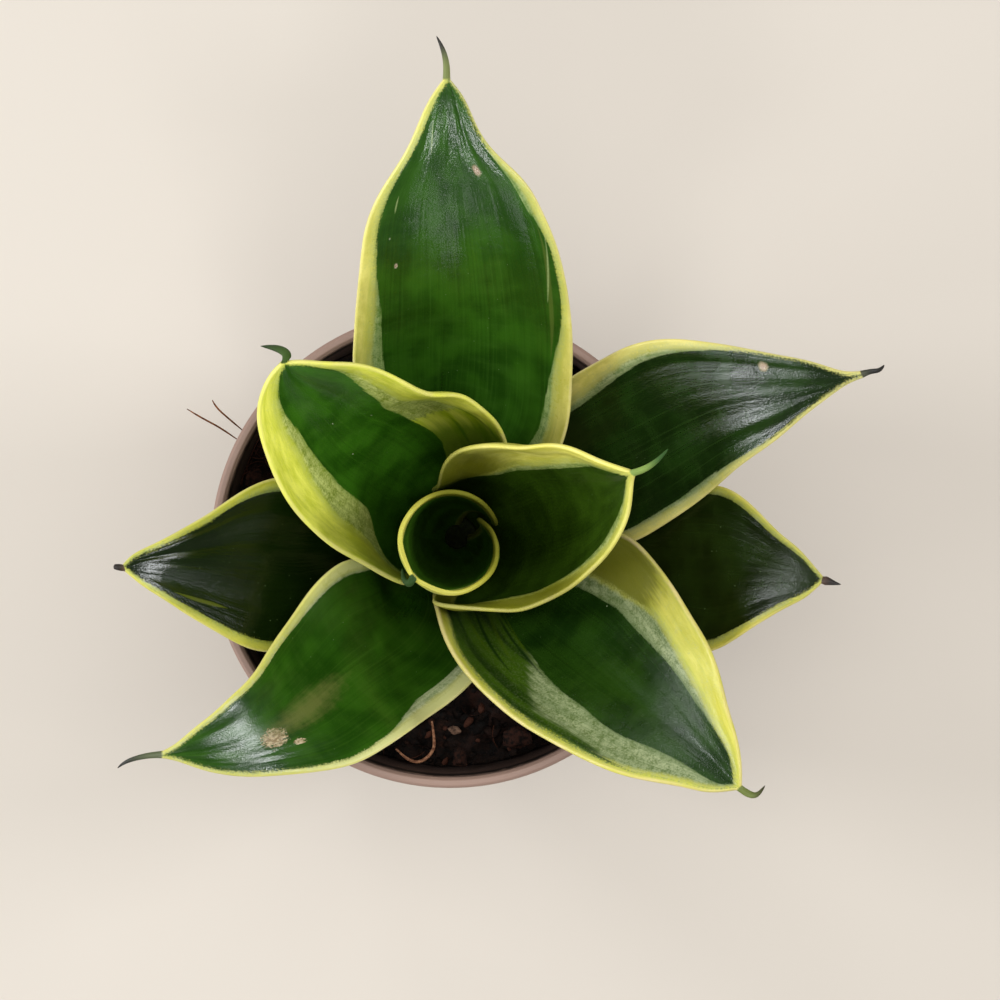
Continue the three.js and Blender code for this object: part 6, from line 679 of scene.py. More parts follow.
def leaf_mesh(leaf):
    net = np.array(leaf["net"], float).reshape(17, 9, 3)
    m = np.einsum("ij,jkl->ikl", M17, net)
    ts = np.r_[0.0, np.linspace(0.0, 1.0, NT)[1:]]
    ts = 1 - (1 - ts) ** 1.12                 # a little closer together at the tip
    rows = spline(net, m, ts)                 # rows, 9, 3
    fine_u = np.linspace(-1, 1, 361)
    n = len(ts)
    def across(rows, us):
        """rows (n,9,3) at us (n,k) -> (n,k,3)"""
        mm = np.einsum("ij,njl->nil", M9, rows)
        x = (np.clip(us, -1, 1) + 1) / 2 * 8
        i = np.minimum(np.floor(x).astype(int), 7)
        f = (x - i)[..., None]
        a = 1 - f
        r = np.arange(len(rows))[:, None]
        return a * rows[r, i] + f * rows[r, i + 1] + ((a ** 3 - a) * mm[r, i] + (f ** 3 - f) * mm[r, i + 1]) / 6
    dense = across(rows, np.repeat(fine_u[None], n, 0))
    arc = np.concatenate([np.zeros((n, 1)), np.cumsum(np.linalg.norm(np.diff(dense, axis=1), axis=2), axis=1)], 1)
    total = arc[:, -1]
    mid = arc[:, 180]
    r = np.minimum(0.42, 0.16 * total)        # radius of the rounded edge
    th = np.linspace(0, math.pi / 2, NE + 1)
    offs = 1 - np.cos(th)                     # 0..1
    cols = []
    for k in range(NE):
        cols.append(offs[k] * r)
    for k in range(NI):
        f = k / (NI - 1)
        cols.append(r + (total - 2 * r) * f)
    for k in range(NE - 1, -1, -1):
        cols.append(total - offs[k] * r)
    A = np.stack(cols, 1)                     # n, nc arc positions
    nc = A.shape[1]
    us = np.stack([np.interp(A[i], arc[i], fine_u) for i in range(n)])
    us[:, 0], us[:, -1] = -1, 1
    P = across(rows, us)
    # normals of the mid surface
    eps = 0.004
    t1, t0 = np.minimum(ts + eps, 1), np.maximum(ts - eps, 0)
    dv = across(spline(net, m, t1), us) - across(spline(net, m, t0), us)
    du = across(rows, np.minimum(us + 0.02, 1)) - across(rows, np.maximum(us - 0.02, -1))
    N = np.cross(dv, du)
    N /= np.linalg.norm(N, axis=2, keepdims=True)
    # thickness
    v = (1 - (1 - ts) ** 1.22)[:, None]
    bq = smooth(v / 0.25)
    T = leaf["t"][0] + (leaf["t"][1] - leaf["t"][0]) * bq
    T = T * (1 - 0.45 * np.clip((v - 0.55) / 0.45, 0, 1))
    au = np.abs(us)
    H = np.maximum(T * np.maximum(1 - au ** 2.2, 0) ** 0.62 + 0.75 * au ** 3, 0.7) / 2
    D = np.minimum(A, total[:, None] - A)     # mm to the nearest edge
    q = np.clip(D / r[:, None], 0, 1)
    H = H * np.sqrt(np.maximum(1 - (1 - q) ** 2, 0))
    # distance along the middle
    spine = across(rows, np.zeros((n, 1)))[:, 0]
    S = np.r_[0, np.cumsum(np.linalg.norm(np.diff(spine, axis=0), axis=1))]
    Wmm = A - mid[:, None]
    # shallow grooves and swells along the blade, as real relief
    sd = leaf["seed"]
    wref = float(np.max(total)) / 2
    f1, f2, f3 = waves(sd, 5, 2.2, 5.0), waves(sd + 50, 4, 7.0, 15.0), waves(sd + 90, 3, 14.0, 30.0)
    fadev = smooth(v, 0.10, 0.30) * (1 - 0.5 * smooth(v, 0.85, 1.0))
    fade = fadev * smooth(D, 0.3, 2.5)
    uw = us * wref
    rel = 0.012 * f1(uw, S[:, None] / 24.0) + leaf.get("swell", 0.075) * f2(uw, S[:, None] / 30.0)
    cross_w = 0.045 * f3(S[:, None] + 0.3 * uw, uw / 9.0)
    top = P + N * (H + fade * (rel + cross_w))[..., None]
    bot = P - N * (H + fade * (0.5 * rel - cross_w))[..., None]
    top[0, :, 2] = 76.0
    bot[0, :, 2] = 76.0
    # the dried point
    aw = np.array(leaf["awn"], float)
    am = M4 @ aw
    sa = np.linspace(0.0, 1.0, NA + 1)[1:]
    c = spline(aw, am, sa)
    dc = spline(aw, am, np.minimum(sa + 0.03, 1)) - spline(aw, am, np.maximum(sa - 0.03, 0))
    side = P[-1, -1] - P[-1, 0]
    side /= np.linalg.norm(side)
    c0 = (P[-1, 0] + P[-1, -1]) / 2
    end_t, end_b = top[-1] - c0, bot[-1] - c0
    rt, rb = [], []
    phi = np.linspace(0, math.pi, nc)
    for k in range(NA):
        Tn = dc[k, :3] / np.linalg.norm(dc[k, :3])
        side = side - Tn * side.dot(Tn)
        side /= np.linalg.norm(side)
        Nn = np.cross(Tn, side)
        w = max(c[k, 3], 0.10) * (1.0 if sa[k] < 0.9 else math.sqrt(max(1 - ((sa[k] - 0.9) / 0.105) ** 2, 0.02)))
        ring_t = -np.cos(phi)[:, None] * side * w + np.sin(phi)[:, None] * Nn * w * 0.8
        ring_b = -np.cos(phi)[:, None] * side * w - np.sin(phi)[:, None] * Nn * w * 0.8
        f = float(smooth(sa[k], 0.0, 0.26))
        centre = c0 * (1 - f) + c[k, :3] * f
        centre = c[k, :3] + (c0 - aw[0, :3]) * (1 - f)
        rt.append(centre + end_t * (1 - f) * (1 - sa[k]) + ring_t * f)
        rb.append(centre + end_b * (1 - f) * (1 - sa[k]) + ring_b * f)
    top = np.concatenate([top, np.array(rt)])
    bot = np.concatenate([bot, np.array(rb)])
    alen = np.r_[0, np.cumsum(np.linalg.norm(np.diff(np.vstack([aw[0, :3], c[:, :3]]), axis=0), axis=1))][1:]
    S = np.r_[S, S[-1] + alen]
    nr = n + NA
    # marks
    YL, GL = table(leaf["L"][0], ts), table(leaf["L"][1], ts)
    YR, GR = table(leaf["R"][0], ts), table(leaf["R"][1], ts)
    DR, DL = A, total[:, None] - A
    amask = np.minimum(DL - YL[:, None], DR - YR[:, None])
    bmask = np.minimum(DL - GL[:, None], DR - GR[:, None])
    tt = np.repeat(ts[:, None], nc, 1)
    zone = leaf["zone"](tt, us, DL, DR, YL[:, None], GL[:, None], YR[:, None], GR[:, None]) if leaf["zone"] else np.zeros_like(tt)
    ext = lambda X, val: np.concatenate([X, np.repeat(np.asarray(val, float)[None] if np.ndim(val) else np.full((1, nc), val), NA, 0)])
    Sx = np.repeat(S[:, None], nc, 1)
    ux = ext(us, us[-1])
    tx = ext(tt, 1.0)
    ex, axx, bxx = ext(D, D[-1]), ext(amask, amask[-1]), ext(bmask, bmask[-1])
    zx = ext(zone, 0.0)
    awx = np.concatenate([np.zeros((n, nc)), np.repeat(sa[:, None], nc, 1)])
    # vertices: full top rows, then bottom rows without the shared edge columns
    verts = [top.reshape(-1, 3), bot[:, 1:-1].reshape(-1, 3)]
    ti = lambda i, j: i * nc + j
    base = nr * nc
    bi = lambda i, j: ti(i, j) if j in (0, nc - 1) else base + i * (nc - 2) + (j - 1)
    faces, fl = [], []
    Wx = np.concatenate([Wmm, np.linspace(-1, 1, nc)[None] * np.maximum(c[:, 3:4], 0.25) * 1.6])
    sc = max(2 * (np.max(np.abs(Wx)) * 2 + 3), S[-1] + 6)
    ut = lambda i, j: (0.25 + Wx[i, j] / sc, 0.02 + S[i] / sc)
    ub = lambda i, j: (0.75 + Wx[i, j] / sc, 0.02 + S[i] / sc)
    for i in range(nr - 1):
        for j in range(nc - 1):
            faces.append((ti(i, j), ti(i + 1, j), ti(i + 1, j + 1), ti(i, j + 1)))
            fl += [ut(i, j), ut(i + 1, j), ut(i + 1, j + 1), ut(i, j + 1)]
            faces.append((bi(i, j), bi(i, j + 1), bi(i + 1, j + 1), bi(i + 1, j)))
            fl += [ub(i, j), ub(i, j + 1), ub(i + 1, j + 1), ub(i + 1, j)]
    for i, rev in ((0, False), (nr - 1, True)):
        for j in range(nc - 1):
            q4 = [ti(i, j), ti(i, j + 1)]
            uv4 = [ut(i, j), ut(i, j + 1)]
            lo = (0.0, -0.008) if i == 0 else (0.0, 0.008)
            if j + 1 < nc - 1:
                q4.append(bi(i, j + 1))
                uv4.append((ut(i, j + 1)[0], ut(i, j + 1)[1] + lo[1]))
            if j > 0:
                q4.append(bi(i, j))
                uv4.append((ut(i, j)[0], ut(i, j)[1] + lo[1]))
            if len(q4) < 3:
                continue
            if rev:
                q4, uv4 = q4[::-1], uv4[::-1]
            faces.append(tuple(q4))
            fl += uv4
    pack = lambda *X: np.stack([np.concatenate([x.reshape(-1), x[:, 1:-1].reshape(-1)]) for x in X], 1)
    lf = pack(Sx, ux, tx)
    bd = pack(ex, axx, bxx)
    zn = pack(zx, np.zeros_like(zx), awx)
    zn[:, 1] = np.r_[np.zeros(nr * nc), np.ones(nr * (nc - 2))]
    edge = np.zeros((nr, nc)); edge[:, 0] = edge[:, -1] = 0.5
    zn[: nr * nc, 1] = edge.reshape(-1)
    return np.vstack(verts), faces, fl, {"lf": lf, "bd": bd, "zn": zn}, wref, S, ts


def orient(ob):
    """Faces outward."""
    bm = bmesh.new()
    bm.from_mesh(ob.data)
    if bm.calc_volume(signed=True) < 0:
        bmesh.ops.reverse_faces(bm, faces=bm.faces)
    bm.to_mesh(ob.data)
    bm.free()


def zone_right(t, u, DL, DR, YL, GL, YR, GR):
    """Broad-leaved one: mid green next to the thin cream line, frosty towards the dark green."""
    f = (DR - YR) / np.maximum(GR - YR, 0.5)
    lim = 1.25 - 0.85 * smooth(t, 0.28, 0.52) - 0.45 * smooth(t, 0.60, 0.78)
    z = 1 - smooth(f, lim - 0.30, lim + 0.16)
    z = np.where(DR < DL, z, 0)
    return z


def zone_fold(t, u, DL, DR, YL, GL, YR, GR):
    """Waved leaf: yellow-green fold on the right side of the lower half."""
    z = 1 - smooth(t, 0.46, 0.53)
    return np.where(DR < DL, z, 0)


ZONES = {"leaf_6": zone_right, "leaf_7": zone_fold}

G0, G1, G2 = rgb(20, 48, 10), rgb(30, 70, 14), rgb(48, 88, 24)
LOOK = {}
BASE = dict(green0=rgb(14, 44, 6), green1=rgb(24, 66, 8), green2=rgb(46, 92, 24),
            pale0=rgb(104, 132, 62), pale1=rgb(168, 184, 122), pale2=rgb(78, 112, 44),
            yellow0=rgb(232, 226, 96), yellow1=rgb(206, 206, 78), cream=rgb(236, 222, 150), yellow2=rgb(168, 178, 66),
            base_tone_and_shade=rgb(120, 122, 22), smear=rgb(112, 112, 62), shade=rgb(150, 158, 150), groove=0.16,
            awn0=rgb(96, 116, 60), awn1=rgb(44, 34, 24))
LOOK = {
    "leaf_1": dict(green0=rgb(17, 28, 4), green1=rgb(28, 44, 9), green2=rgb(46, 65, 23), yellow0=rgb(214, 200, 84), yellow1=rgb(170, 164, 62),
                   pale0=rgb(96, 110, 62), pale1=rgb(150, 160, 110), awn0=rgb(74, 52, 40), awn1=rgb(30, 24, 22), awn_a=0.1, awn_b=0.6, wrinkle=0.06, cells=0.045, rough=0.20, spec=0.55),
    "leaf_2": dict(green0=rgb(14, 29, 4), green1=rgb(19, 35, 5), green2=rgb(27, 45, 12), yellow0=rgb(226, 220, 92), yellow1=rgb(186, 186, 62),
                   awn0=rgb(88, 66, 48), awn1=rgb(40, 32, 28), awn_a=0.0, awn_b=0.6, cells=0.030, wrinkle=0.06, rough=0.18),
    "leaf_3": dict(green0=rgb(18, 35, 8), green1=rgb(28, 53, 13), green2=rgb(51, 75, 31), yellow0=rgb(238, 224, 130), yellow1=rgb(208, 198, 98), yellow2=rgb(176, 176, 92), low0=0.1, low1=0.36,
                   pale0=rgb(112, 128, 80), pale1=rgb(170, 178, 132), awn0=rgb(60, 62, 40), awn1=rgb(24, 22, 20), awn_a=0.0, awn_b=0.5, wrinkle=0.08, rough=0.19, spec=0.55),
    "leaf_4": dict(green0=rgb(27, 62, 7), green1=rgb(44, 85, 14), green2=rgb(67, 103, 32), yellow0=rgb(232, 226, 112), yellow1=rgb(204, 200, 92),
                   pale0=rgb(158, 170, 124), pale1=rgb(212, 216, 174), olive=rgb(84, 92, 40), awn0=rgb(84, 92, 60), awn1=rgb(34, 34, 30), awn_a=0.2, awn_b=0.75,
                   smear=rgb(106, 110, 56), rough=0.18, cells=0.022, wrinkle=0.035, groove=0.06, low0=0.50, low1=0.75, low0r=0.30, low1r=0.48, low=0.85, base_tone_and_shade=rgb(216, 216, 150)),
    "leaf_5": dict(green0=rgb(28, 63, 10), green1=rgb(45, 87, 17), green2=rgb(65, 107, 34), yellow0=rgb(238, 228, 126), yellow1=rgb(212, 205, 98), cells=0.028, wrinkle=0.07, cream=rgb(240, 224, 164),
                   olive=rgb(84, 100, 40), awn0=rgb(118, 128, 70), awn1=rgb(36, 34, 26), awn_a=0.25, awn_b=0.8, rough=0.18),
    "leaf_6": dict(green0=rgb(19, 44, 6), green1=rgb(32, 61, 10), green2=rgb(48, 77, 22), yellow0=rgb(210, 204, 90), yellow1=rgb(190, 186, 64),
                   pale0=rgb(96, 112, 62), pale1=rgb(156, 166, 122), pale2=rgb(76, 100, 48), mid0=rgb(26, 52, 1), mid1=rgb(54, 82, 6), olive=rgb(66, 88, 8),
                   cream=rgb(240, 214, 170), cream_w=0.9, cream_a=0.5, awn0=rgb(104, 116, 50), awn1=rgb(56, 54, 26), awn_a=0.4, awn_b=1.0, rough=0.25,
                   low0=0.49, low1=0.56, low0r=0.10, low1r=0.25, low=0.88, base_tone_and_shade=rgb(104, 106, 26)),
    "leaf_7": dict(green0=rgb(32, 72, 8), green1=rgb(50, 98, 16), green2=rgb(72, 116, 32), yellow0=rgb(242, 242, 102), yellow1=rgb(208, 214, 64), cream_w=0.7, cream_a=0.6,
                   pale0=rgb(130, 145, 50), pale1=rgb(198, 206, 122), pale2=rgb(108, 130, 36), groove=0.08, mid0=rgb(176, 196, 32), mid1=rgb(222, 228, 92), mid_base_shade=rgb(78, 116, 4),
                   awn0=rgb(58, 84, 30), awn1=rgb(34, 54, 20), awn_a=0.3, awn_b=1.0, rough=0.30, spec=0.3, low0=0.20, low1=0.55, low=0.55, base_tone_and_shade=rgb(116, 116, 16)),
    "leaf_8": dict(green0=rgb(33, 55, 4), green1=rgb(46, 72, 8), green2=rgb(63, 91, 20), yellow0=rgb(240, 232, 116), yellow1=rgb(212, 205, 78),
                   pale0=rgb(110, 128, 56), pale1=rgb(180, 188, 116), awn0=rgb(130, 156, 76), awn1=rgb(52, 88, 36), awn_a=0.3, awn_b=0.8, rough=0.33, spec=0.35,
                   low0=0.40, low1=0.60, low0r=0.56, low1r=0.86, low=0.85, base_tone_and_shade=rgb(122, 124, 10)),
    # leaf_9's greens are lifted above the leaf's own tone: painted light inside the rolled leaf
    "leaf_9": dict(green0=rgb(50, 88, 12), green1=rgb(68, 116, 22), green2=rgb(92, 140, 38), yellow0=rgb(216, 210, 96), yellow1=rgb(182, 176, 52), yellow2=rgb(140, 140, 30),
                   awn0=rgb(34, 66, 10), awn1=rgb(26, 52, 8), awn_a=0.2, awn_b=1.0, rough=0.34, spec=0.35, low0=0.76, low1=0.88, low=0.92, base_tone_and_shade=rgb(84, 88, 2), cream=rgb(214, 206, 96), cream_a=0.12, shade=rgb(224, 216, 150)),
}


for leaf in LEAVES:
    name = leaf["name"]
    leaf["seed"] = 10 + int(name[-1]) * 17
    leaf["zone"] = ZONES.get(name)
    leaf["L"], leaf["R"] = BANDS[name]
    leaf["swell"] = {"leaf_3": 0.11, "leaf_4": 0.04}.get(name, 0.075)
    verts, faces, uvs, attrs, wref, S, ts = leaf_mesh(leaf)
    look = dict(BASE)
    look.update(LOOK.get(name, {}))
    look["seed"] = leaf["seed"] * 1.37
    st = [s for s in STREAKS.get(name, [])]
    sc = [(t0, float(np.interp(t0, ts, S[: len(ts)])), u0 * wref, al, ac, k) for (t0, u0, al, ac, k) in SCARS.get(name, [])]
    mat = leaf_material(name + "_skin", look, {"streaks": st, "scars": sc}, wref)
    ob = make_object("blade_" + name[-1], verts, faces, "leaf", [name], mat, True, uvs, attrs)
    orient(ob)

# ------------------------------------------------------------------ pot
def turned(profile, segments):
    """Closed lathe body. The profile starts and ends on the axis."""
    prof = np.array(profile, float)
    verts = [(0, 0, prof[0, 1])]
    for r_, z_ in prof[1:-1]:
        for j in range(segments):
            a_ = 2 * math.pi * j / segments
            verts.append((r_ * math.cos(a_), r_ * math.sin(a_), z_))
    verts.append((0, 0, prof[-1, 1]))
    last = len(verts) - 1
    at = lambda i, j: 1 + i * segments + j % segments
    faces = []
    k = len(prof) - 2
    for j in range(segments):
        faces.append((0, at(0, j + 1), at(0, j)))
        for i in range(k - 1):
            faces.append((at(i, j), at(i, j + 1), at(i + 1, j + 1), at(i + 1, j)))
        faces.append((last, at(k - 1, j), at(k - 1, j + 1)))
    return verts, faces


def rounded(points, seg=4):
    """points: (r, z, corner radius). Corners become arcs."""
    out = []
    for i, (x, y, rad) in enumerate(points):
        if rad <= 0 or i in (0, len(points) - 1):
            out.append((x, y))
            continue
        p, a_, b_ = (np.array(v[:2], float) for v in (points[i], points[i - 1], points[i + 1]))
        da, db = a_ - p, b_ - p
        la, lb = np.linalg.norm(da), np.linalg.norm(db)
        da, db = da / la, db / lb
        ang = math.acos(max(-1, min(1, float(da.dot(db)))))
        cut = min(rad / math.tan(ang / 2), la * 0.45, lb * 0.45)
        s_, e_ = p + da * cut, p + db * cut
        for k in range(seg + 1):
            f = k / seg
            out.append(tuple((1 - f) ** 2 * s_ + 2 * f * (1 - f) * p + f * f * e_))
    return out


def pot_profile():
    wall = lambda z: 35.2 + 13.4 * z / 83
    pts = [(0, 0, 0), (12.95, 0, 0.3), (14.2, 1.3, 0.4), (28.8, 1.3, 0.4), (30.05, 0, 0.3), (34.4, 0, 0.4),
           (35.2, 0.9, 0.6)]
    for z in (20, 40, 60, 72):
        pts.append((wall(z), z, 0))
    pts += [(wall(82.4), 82.4, 0.2), (48.75, 82.95, 0.25), (49.8, 83.05, 0.35), (50.0, 83.9, 0.3), (50.0, 87.35, 0.7), (49.4, 88.0, 0.5),
            (48.35, 88.0, 0.5), (47.75, 87.3, 0.5), (47.5, 81.6, 0.5)]
    for z in (72, 60, 40, 20):
        pts.append((wall(z) - 1.1, z, 0))
    pts += [(wall(4.8) - 1.1, 4.8, 1.0), (wall(1.6) - 3.3, 2.9, 0.8), (0, 2.9, 0)]
    return rounded(pts, 4)


def pot_material():
    g = Nodes("pot_plastic")
    p = g.position()
    x, y, z = g.split(p)
    P = g.xyz(g.mul(x, 1000), g.mul(y, 1000), g.mul(z, 1000))
    zz = g.mul(z, 1000)
    big = g.noise(P, 0.045, 3, 0.55)
    mid = g.noise(P, 0.35, 4, 0.6)
    fine = g.noise(P, 2.6, 3, 0.6)
    flow = g.noise(g.xyz(g.mul(x, 1000 * 0.10), g.mul(y, 1000 * 0.10), g.mul(z, 1000 * 0.9)), 1, 3, 0.5)
    col = g.mix(g.ramp(big, 0.35, 0.68), rgb(117, 90, 80), rgb(128, 100, 89))
    col = g.mix(g.ramp(flow, 0.45, 0.7, 0, 0.14), col, rgb(96, 72, 64))
    # rubbed, dusty rim
    # rim band mixed to light taupe: partly real rubbing and dust, partly painted sheen of the light on the rim's top
    rim = g.ramp(g.mad(mid, 1.2, zz), 83.2, 88.4)
    col = g.mix(g.mul(rim, 0.55), col, rgb(170, 142, 128))
    dust = g.ramp(mid, 0.52, 0.66)
    col = g.mix(g.mul(dust, 0.07), col, rgb(170, 144, 128))
    # damp peat stuck to the inside and to the low part of the wall, near black; it also stands in as painted shade
    # inside the pot
    r = g.math("SQRT", g.add(g.mul(x, x), g.mul(y, y)))
    inside = g.ramp(g.sub(r, g.mad(z, 0.1614, 0.03465)), -0.0005, 0.0, 1, 0)
    soil = g.ramp(g.mad(g.sub(mid, 0.5), 6.0, g.mad(g.sub(fine, 0.5), 3.0, zz)), 84.2, 86.8, 1, 0)
    col = g.mix(g.mul(g.mul(inside, soil), 0.96), col, rgb(20, 13, 10))
    specks = g.ramp(g.voronoi(P, 0.32)[0], 0.10, 0.17, 1, 0)
    some = g.ramp(g.noise(P, 0.07, 2, 0.5), 0.52, 0.6)
    col = g.mix(g.mul(g.mul(specks, some), 0.4), col, rgb(66, 46, 38))
    scuff = g.ramp(g.noise(g.xyz(g.mul(x, 1000 * 0.6), g.mul(y, 1000 * 0.6), g.mul(z, 1000 * 0.05)), 1, 4, 0.7), 0.62, 0.68)
    col = g.mix(g.mul(scuff, 0.06), col, rgb(176, 152, 138))
    rough = g.ramp(fine, 0.2, 0.8, 0.40, 0.56)
    rough = g.mad(dust, 0.12, rough)
    h = g.mad(fine, 0.014, g.mad(mid, 0.02, g.mul(flow, 0.03)))
    return g.finish(col, rough, g.bump(h, 1.0, MM), IOR=1.49, Specular_IOR_Level=0.42)


pot_mat = pot_material()
pv, pf = turned(pot_profile(), 192)
pot = make_object("nursery_pot", pv, pf, "pot", ["pot"], pot_mat)
orient(pot)
# drain holes
hv, hf = [], []
for i in range(8):
    a0 = 2 * math.pi * (i + 0.5) / 8
    n0 = len(hv)
    for z_ in (-3.0, 5.0):
        for j in range(28):
            q = 2 * math.pi * j / 28
            hv.append((21.5 * math.cos(a0) + 3.0 * math.cos(q), 21.5 * math.sin(a0) + 3.0 * math.sin(q), z_))
    hf.append(tuple(n0 + j for j in range(27, -1, -1)))
    hf.append(tuple(n0 + 28 + j for j in range(28)))
    for j in range(28):
        hf.append((n0 + j, n0 + (j + 1) % 28, n0 + 28 + (j + 1) % 28, n0 + 28 + j))
hm = bpy.data.meshes.new("holes")
hm.from_pydata([tuple(MM * c_ for c_ in v_) for v_ in hv], [], hf)
ho = bpy.data.objects.new("holes", hm)
C.objects.link(ho)
bo = pot.modifiers.new("drain", "BOOLEAN")
bo.operation, bo.solver, bo.object = "DIFFERENCE", "EXACT", ho
bpy.context.view_layer.update()
cut = bpy.data.meshes.new_from_object(pot.evaluated_get(bpy.context.evaluated_depsgraph_get()))
pot.modifiers.clear()
pot.data = cut
bpy.data.objects.remove(ho)
sharp = pot.data
sharp.polygons.foreach_set("use_smooth", [True] * len(sharp.polygons))
bmp = bmesh.new()
bmp.from_mesh(sharp)
for ed in bmp.edges:
    if len(ed.link_faces) == 2 and ed.calc_face_angle(0.0) > math.radians(38):
        ed.smooth = False
bmp.to_mesh(sharp)
bmp.free()

# ------------------------------------------------------------------ potting mix
SOIL_TOP = 78.2
def soil_top(x, y):
    x, y = np.asarray(x, float), np.asarray(y, float)
    r = np.hypot(x, y)
    lumps = (0.75 * np.sin(0.31 * x + 1.3) * np.cos(0.27 * y - 0.6)
             + 0.5 * np.sin(0.62 * x - 0.55 * y + 2.1) + 0.35 * np.cos(0.9 * y + 0.45 * x))
    mound = 1.1 * np.exp(-((r - 20) / 12) ** 2)
    return SOIL_TOP + lumps + mound - 0.9 * np.maximum(0, (r - 38) / 9)


def soil_material():
    g = Nodes("potting_mix")
    p = g.position()
    x, y, z = g.split(p)
    P = g.xyz(g.mul(x, 1000), g.mul(y, 1000), g.mul(z, 1000))
    big = g.noise(P, 0.16, 3, 0.6)
    mid = g.noise(P, 0.8, 4, 0.65)
    fine = g.noise(P, 3.2, 3, 0.65)
    _, tint, _ = g.attr("grain")
    col = g.mix(g.ramp(mid, 0.38, 0.66), rgb(6, 4, 3), rgb(24, 15, 11))
    col = g.mix(g.ramp(big, 0.50, 0.68, 0, 0.6), col, rgb(36, 21, 16))
    col = g.mix(g.ramp(tint, 0.55, 1.0, 0, 0.75), col, rgb(70, 40, 29))
    col = g.mix(g.ramp(tint, 0.0, 0.35, 0.8, 0), col, rgb(6, 4, 3))
    col = g.mix(g.ramp(fine, 0.60, 0.75, 0, 0.5), col, rgb(52, 34, 27))
    rough = g.ramp(mid, 0.35, 0.7, 0.62, 0.95)
    h = g.mad(fine, 0.16, g.mul(mid, 0.30))
    return g.finish(col, rough, g.bump(h, 1.0, MM), IOR=1.4, Specular_IOR_Level=0.12)


def tube(points, radius, sides=6, taper=0.35, steps=4):
    """Closed tube along smoothed points (mm)."""
    pts = np.array(points, float)
    m_ = nat_matrix(len(pts)) @ pts
    k = (len(pts) - 1) * steps + 1
    q = spline(pts, m_, np.linspace(0, 1, k))
    tan = np.gradient(q, axis=0)
    tan /= np.linalg.norm(tan, axis=1, keepdims=True)
    nrm = np.cross(tan[0], (0, 0, 1.0))
    if np.linalg.norm(nrm) < 0.1:
        nrm = np.cross(tan[0], (1.0, 0, 0))
    nrm /= np.linalg.norm(nrm)
    v_, f_ = [], []
    for i in range(k):
        nrm = nrm - tan[i] * nrm.dot(tan[i])
        nrm /= np.linalg.norm(nrm)
        b_ = np.cross(tan[i], nrm)
        e_ = min(i, k - 1 - i) / max(1, (k - 1) / 2)
        r_ = radius * (taper + (1 - taper) * min(1, e_ * 2.2))
        for j in range(sides):
            a_ = 2 * math.pi * j / sides
            v_.append(q[i] + r_ * (math.cos(a_) * nrm + math.sin(a_) * b_))
    for i in range(k - 1):
        for j in range(sides):
            a_, b_ = i * sides + j, i * sides + (j + 1) % sides
            f_.append((a_, b_, b_ + sides, a_ + sides))
    f_.append(tuple(range(sides - 1, -1, -1)))
    f_.append(tuple((k - 1) * sides + j for j in range(sides)))
    return v_, f_


def ico(sub):
    bm = bmesh.new()
    bmesh.ops.create_icosphere(bm, subdivisions=sub, radius=1.0)
    bm.verts.ensure_lookup_table()
    v_ = np.array([v.co[:] for v in bm.verts])
    f_ = [tuple(v.index for v in f.verts) for f in bm.faces]
    bm.free()
    return v_, f_


rng = np.random.default_rng(77)
n1, n2, n3 = hash_noise(5), hash_noise(6), hash_noise(7)
sv, sf, sg = [], [], []
RINGS, SEG = 96, 240
RMAX = 46.3
def soil_z(x, y):
    b_ = soil_top(x, y)
    n_ = 0.75 * n1(x / 3.1 + 20, y / 3.1 + 20) + 0.45 * n2(x / 1.35 + 40, y / 1.35 + 7) + 0.22 * n3(x / 0.6 + 9, y / 0.6 + 31)
    f_ = smooth(np.hypot(x - 1.2, y - 2.2), 16.5, 19.5)      # the stem comes through in the middle
    return 74.2 * (1 - f_) + (b_ + n_ - 0.25) * f_
sv.append((0, 0, float(soil_z(0, 0))))
sg.append(0.4)
for i in range(1, RINGS + 1):
    R_ = RMAX * (i / RINGS) ** 0.72
    a_ = 2 * math.pi * (np.arange(SEG) + 0.5 * (i % 2)) / SEG
    xs, ys = R_ * np.cos(a_), R_ * np.sin(a_)
    zs = soil_z(xs, ys)
    gs = 0.45 + 0.3 * n1(xs / 2.2 + 3, ys / 2.2)
    sv += list(zip(xs, ys, zs))
    sg += list(gs)
skirt = [(70.0, 45.1), (40.0, 40.2), (9.0, 35.2), (3.3, 32.0)]
for z_, r_ in skirt:
    a_ = 2 * math.pi * np.arange(SEG) / SEG
    sv += [(r_ * math.cos(q), r_ * math.sin(q), z_) for q in a_]
    sg += [0.4] * SEG
sv.append((0, 0, 3.3))
sg.append(0.4)
nr_ = RINGS + len(skirt)
at = lambda i, j: 1 + (i - 1) * SEG + j % SEG
for j in range(SEG):
    sf.append((0, at(1, j), at(1, j + 1)))
    for i in range(1, nr_):
        sf.append((at(i, j), at(i + 1, j), at(i + 1, j + 1), at(i, j + 1)))
    sf.append((at(nr_, j), len(sv) - 1, at(nr_, j + 1)))
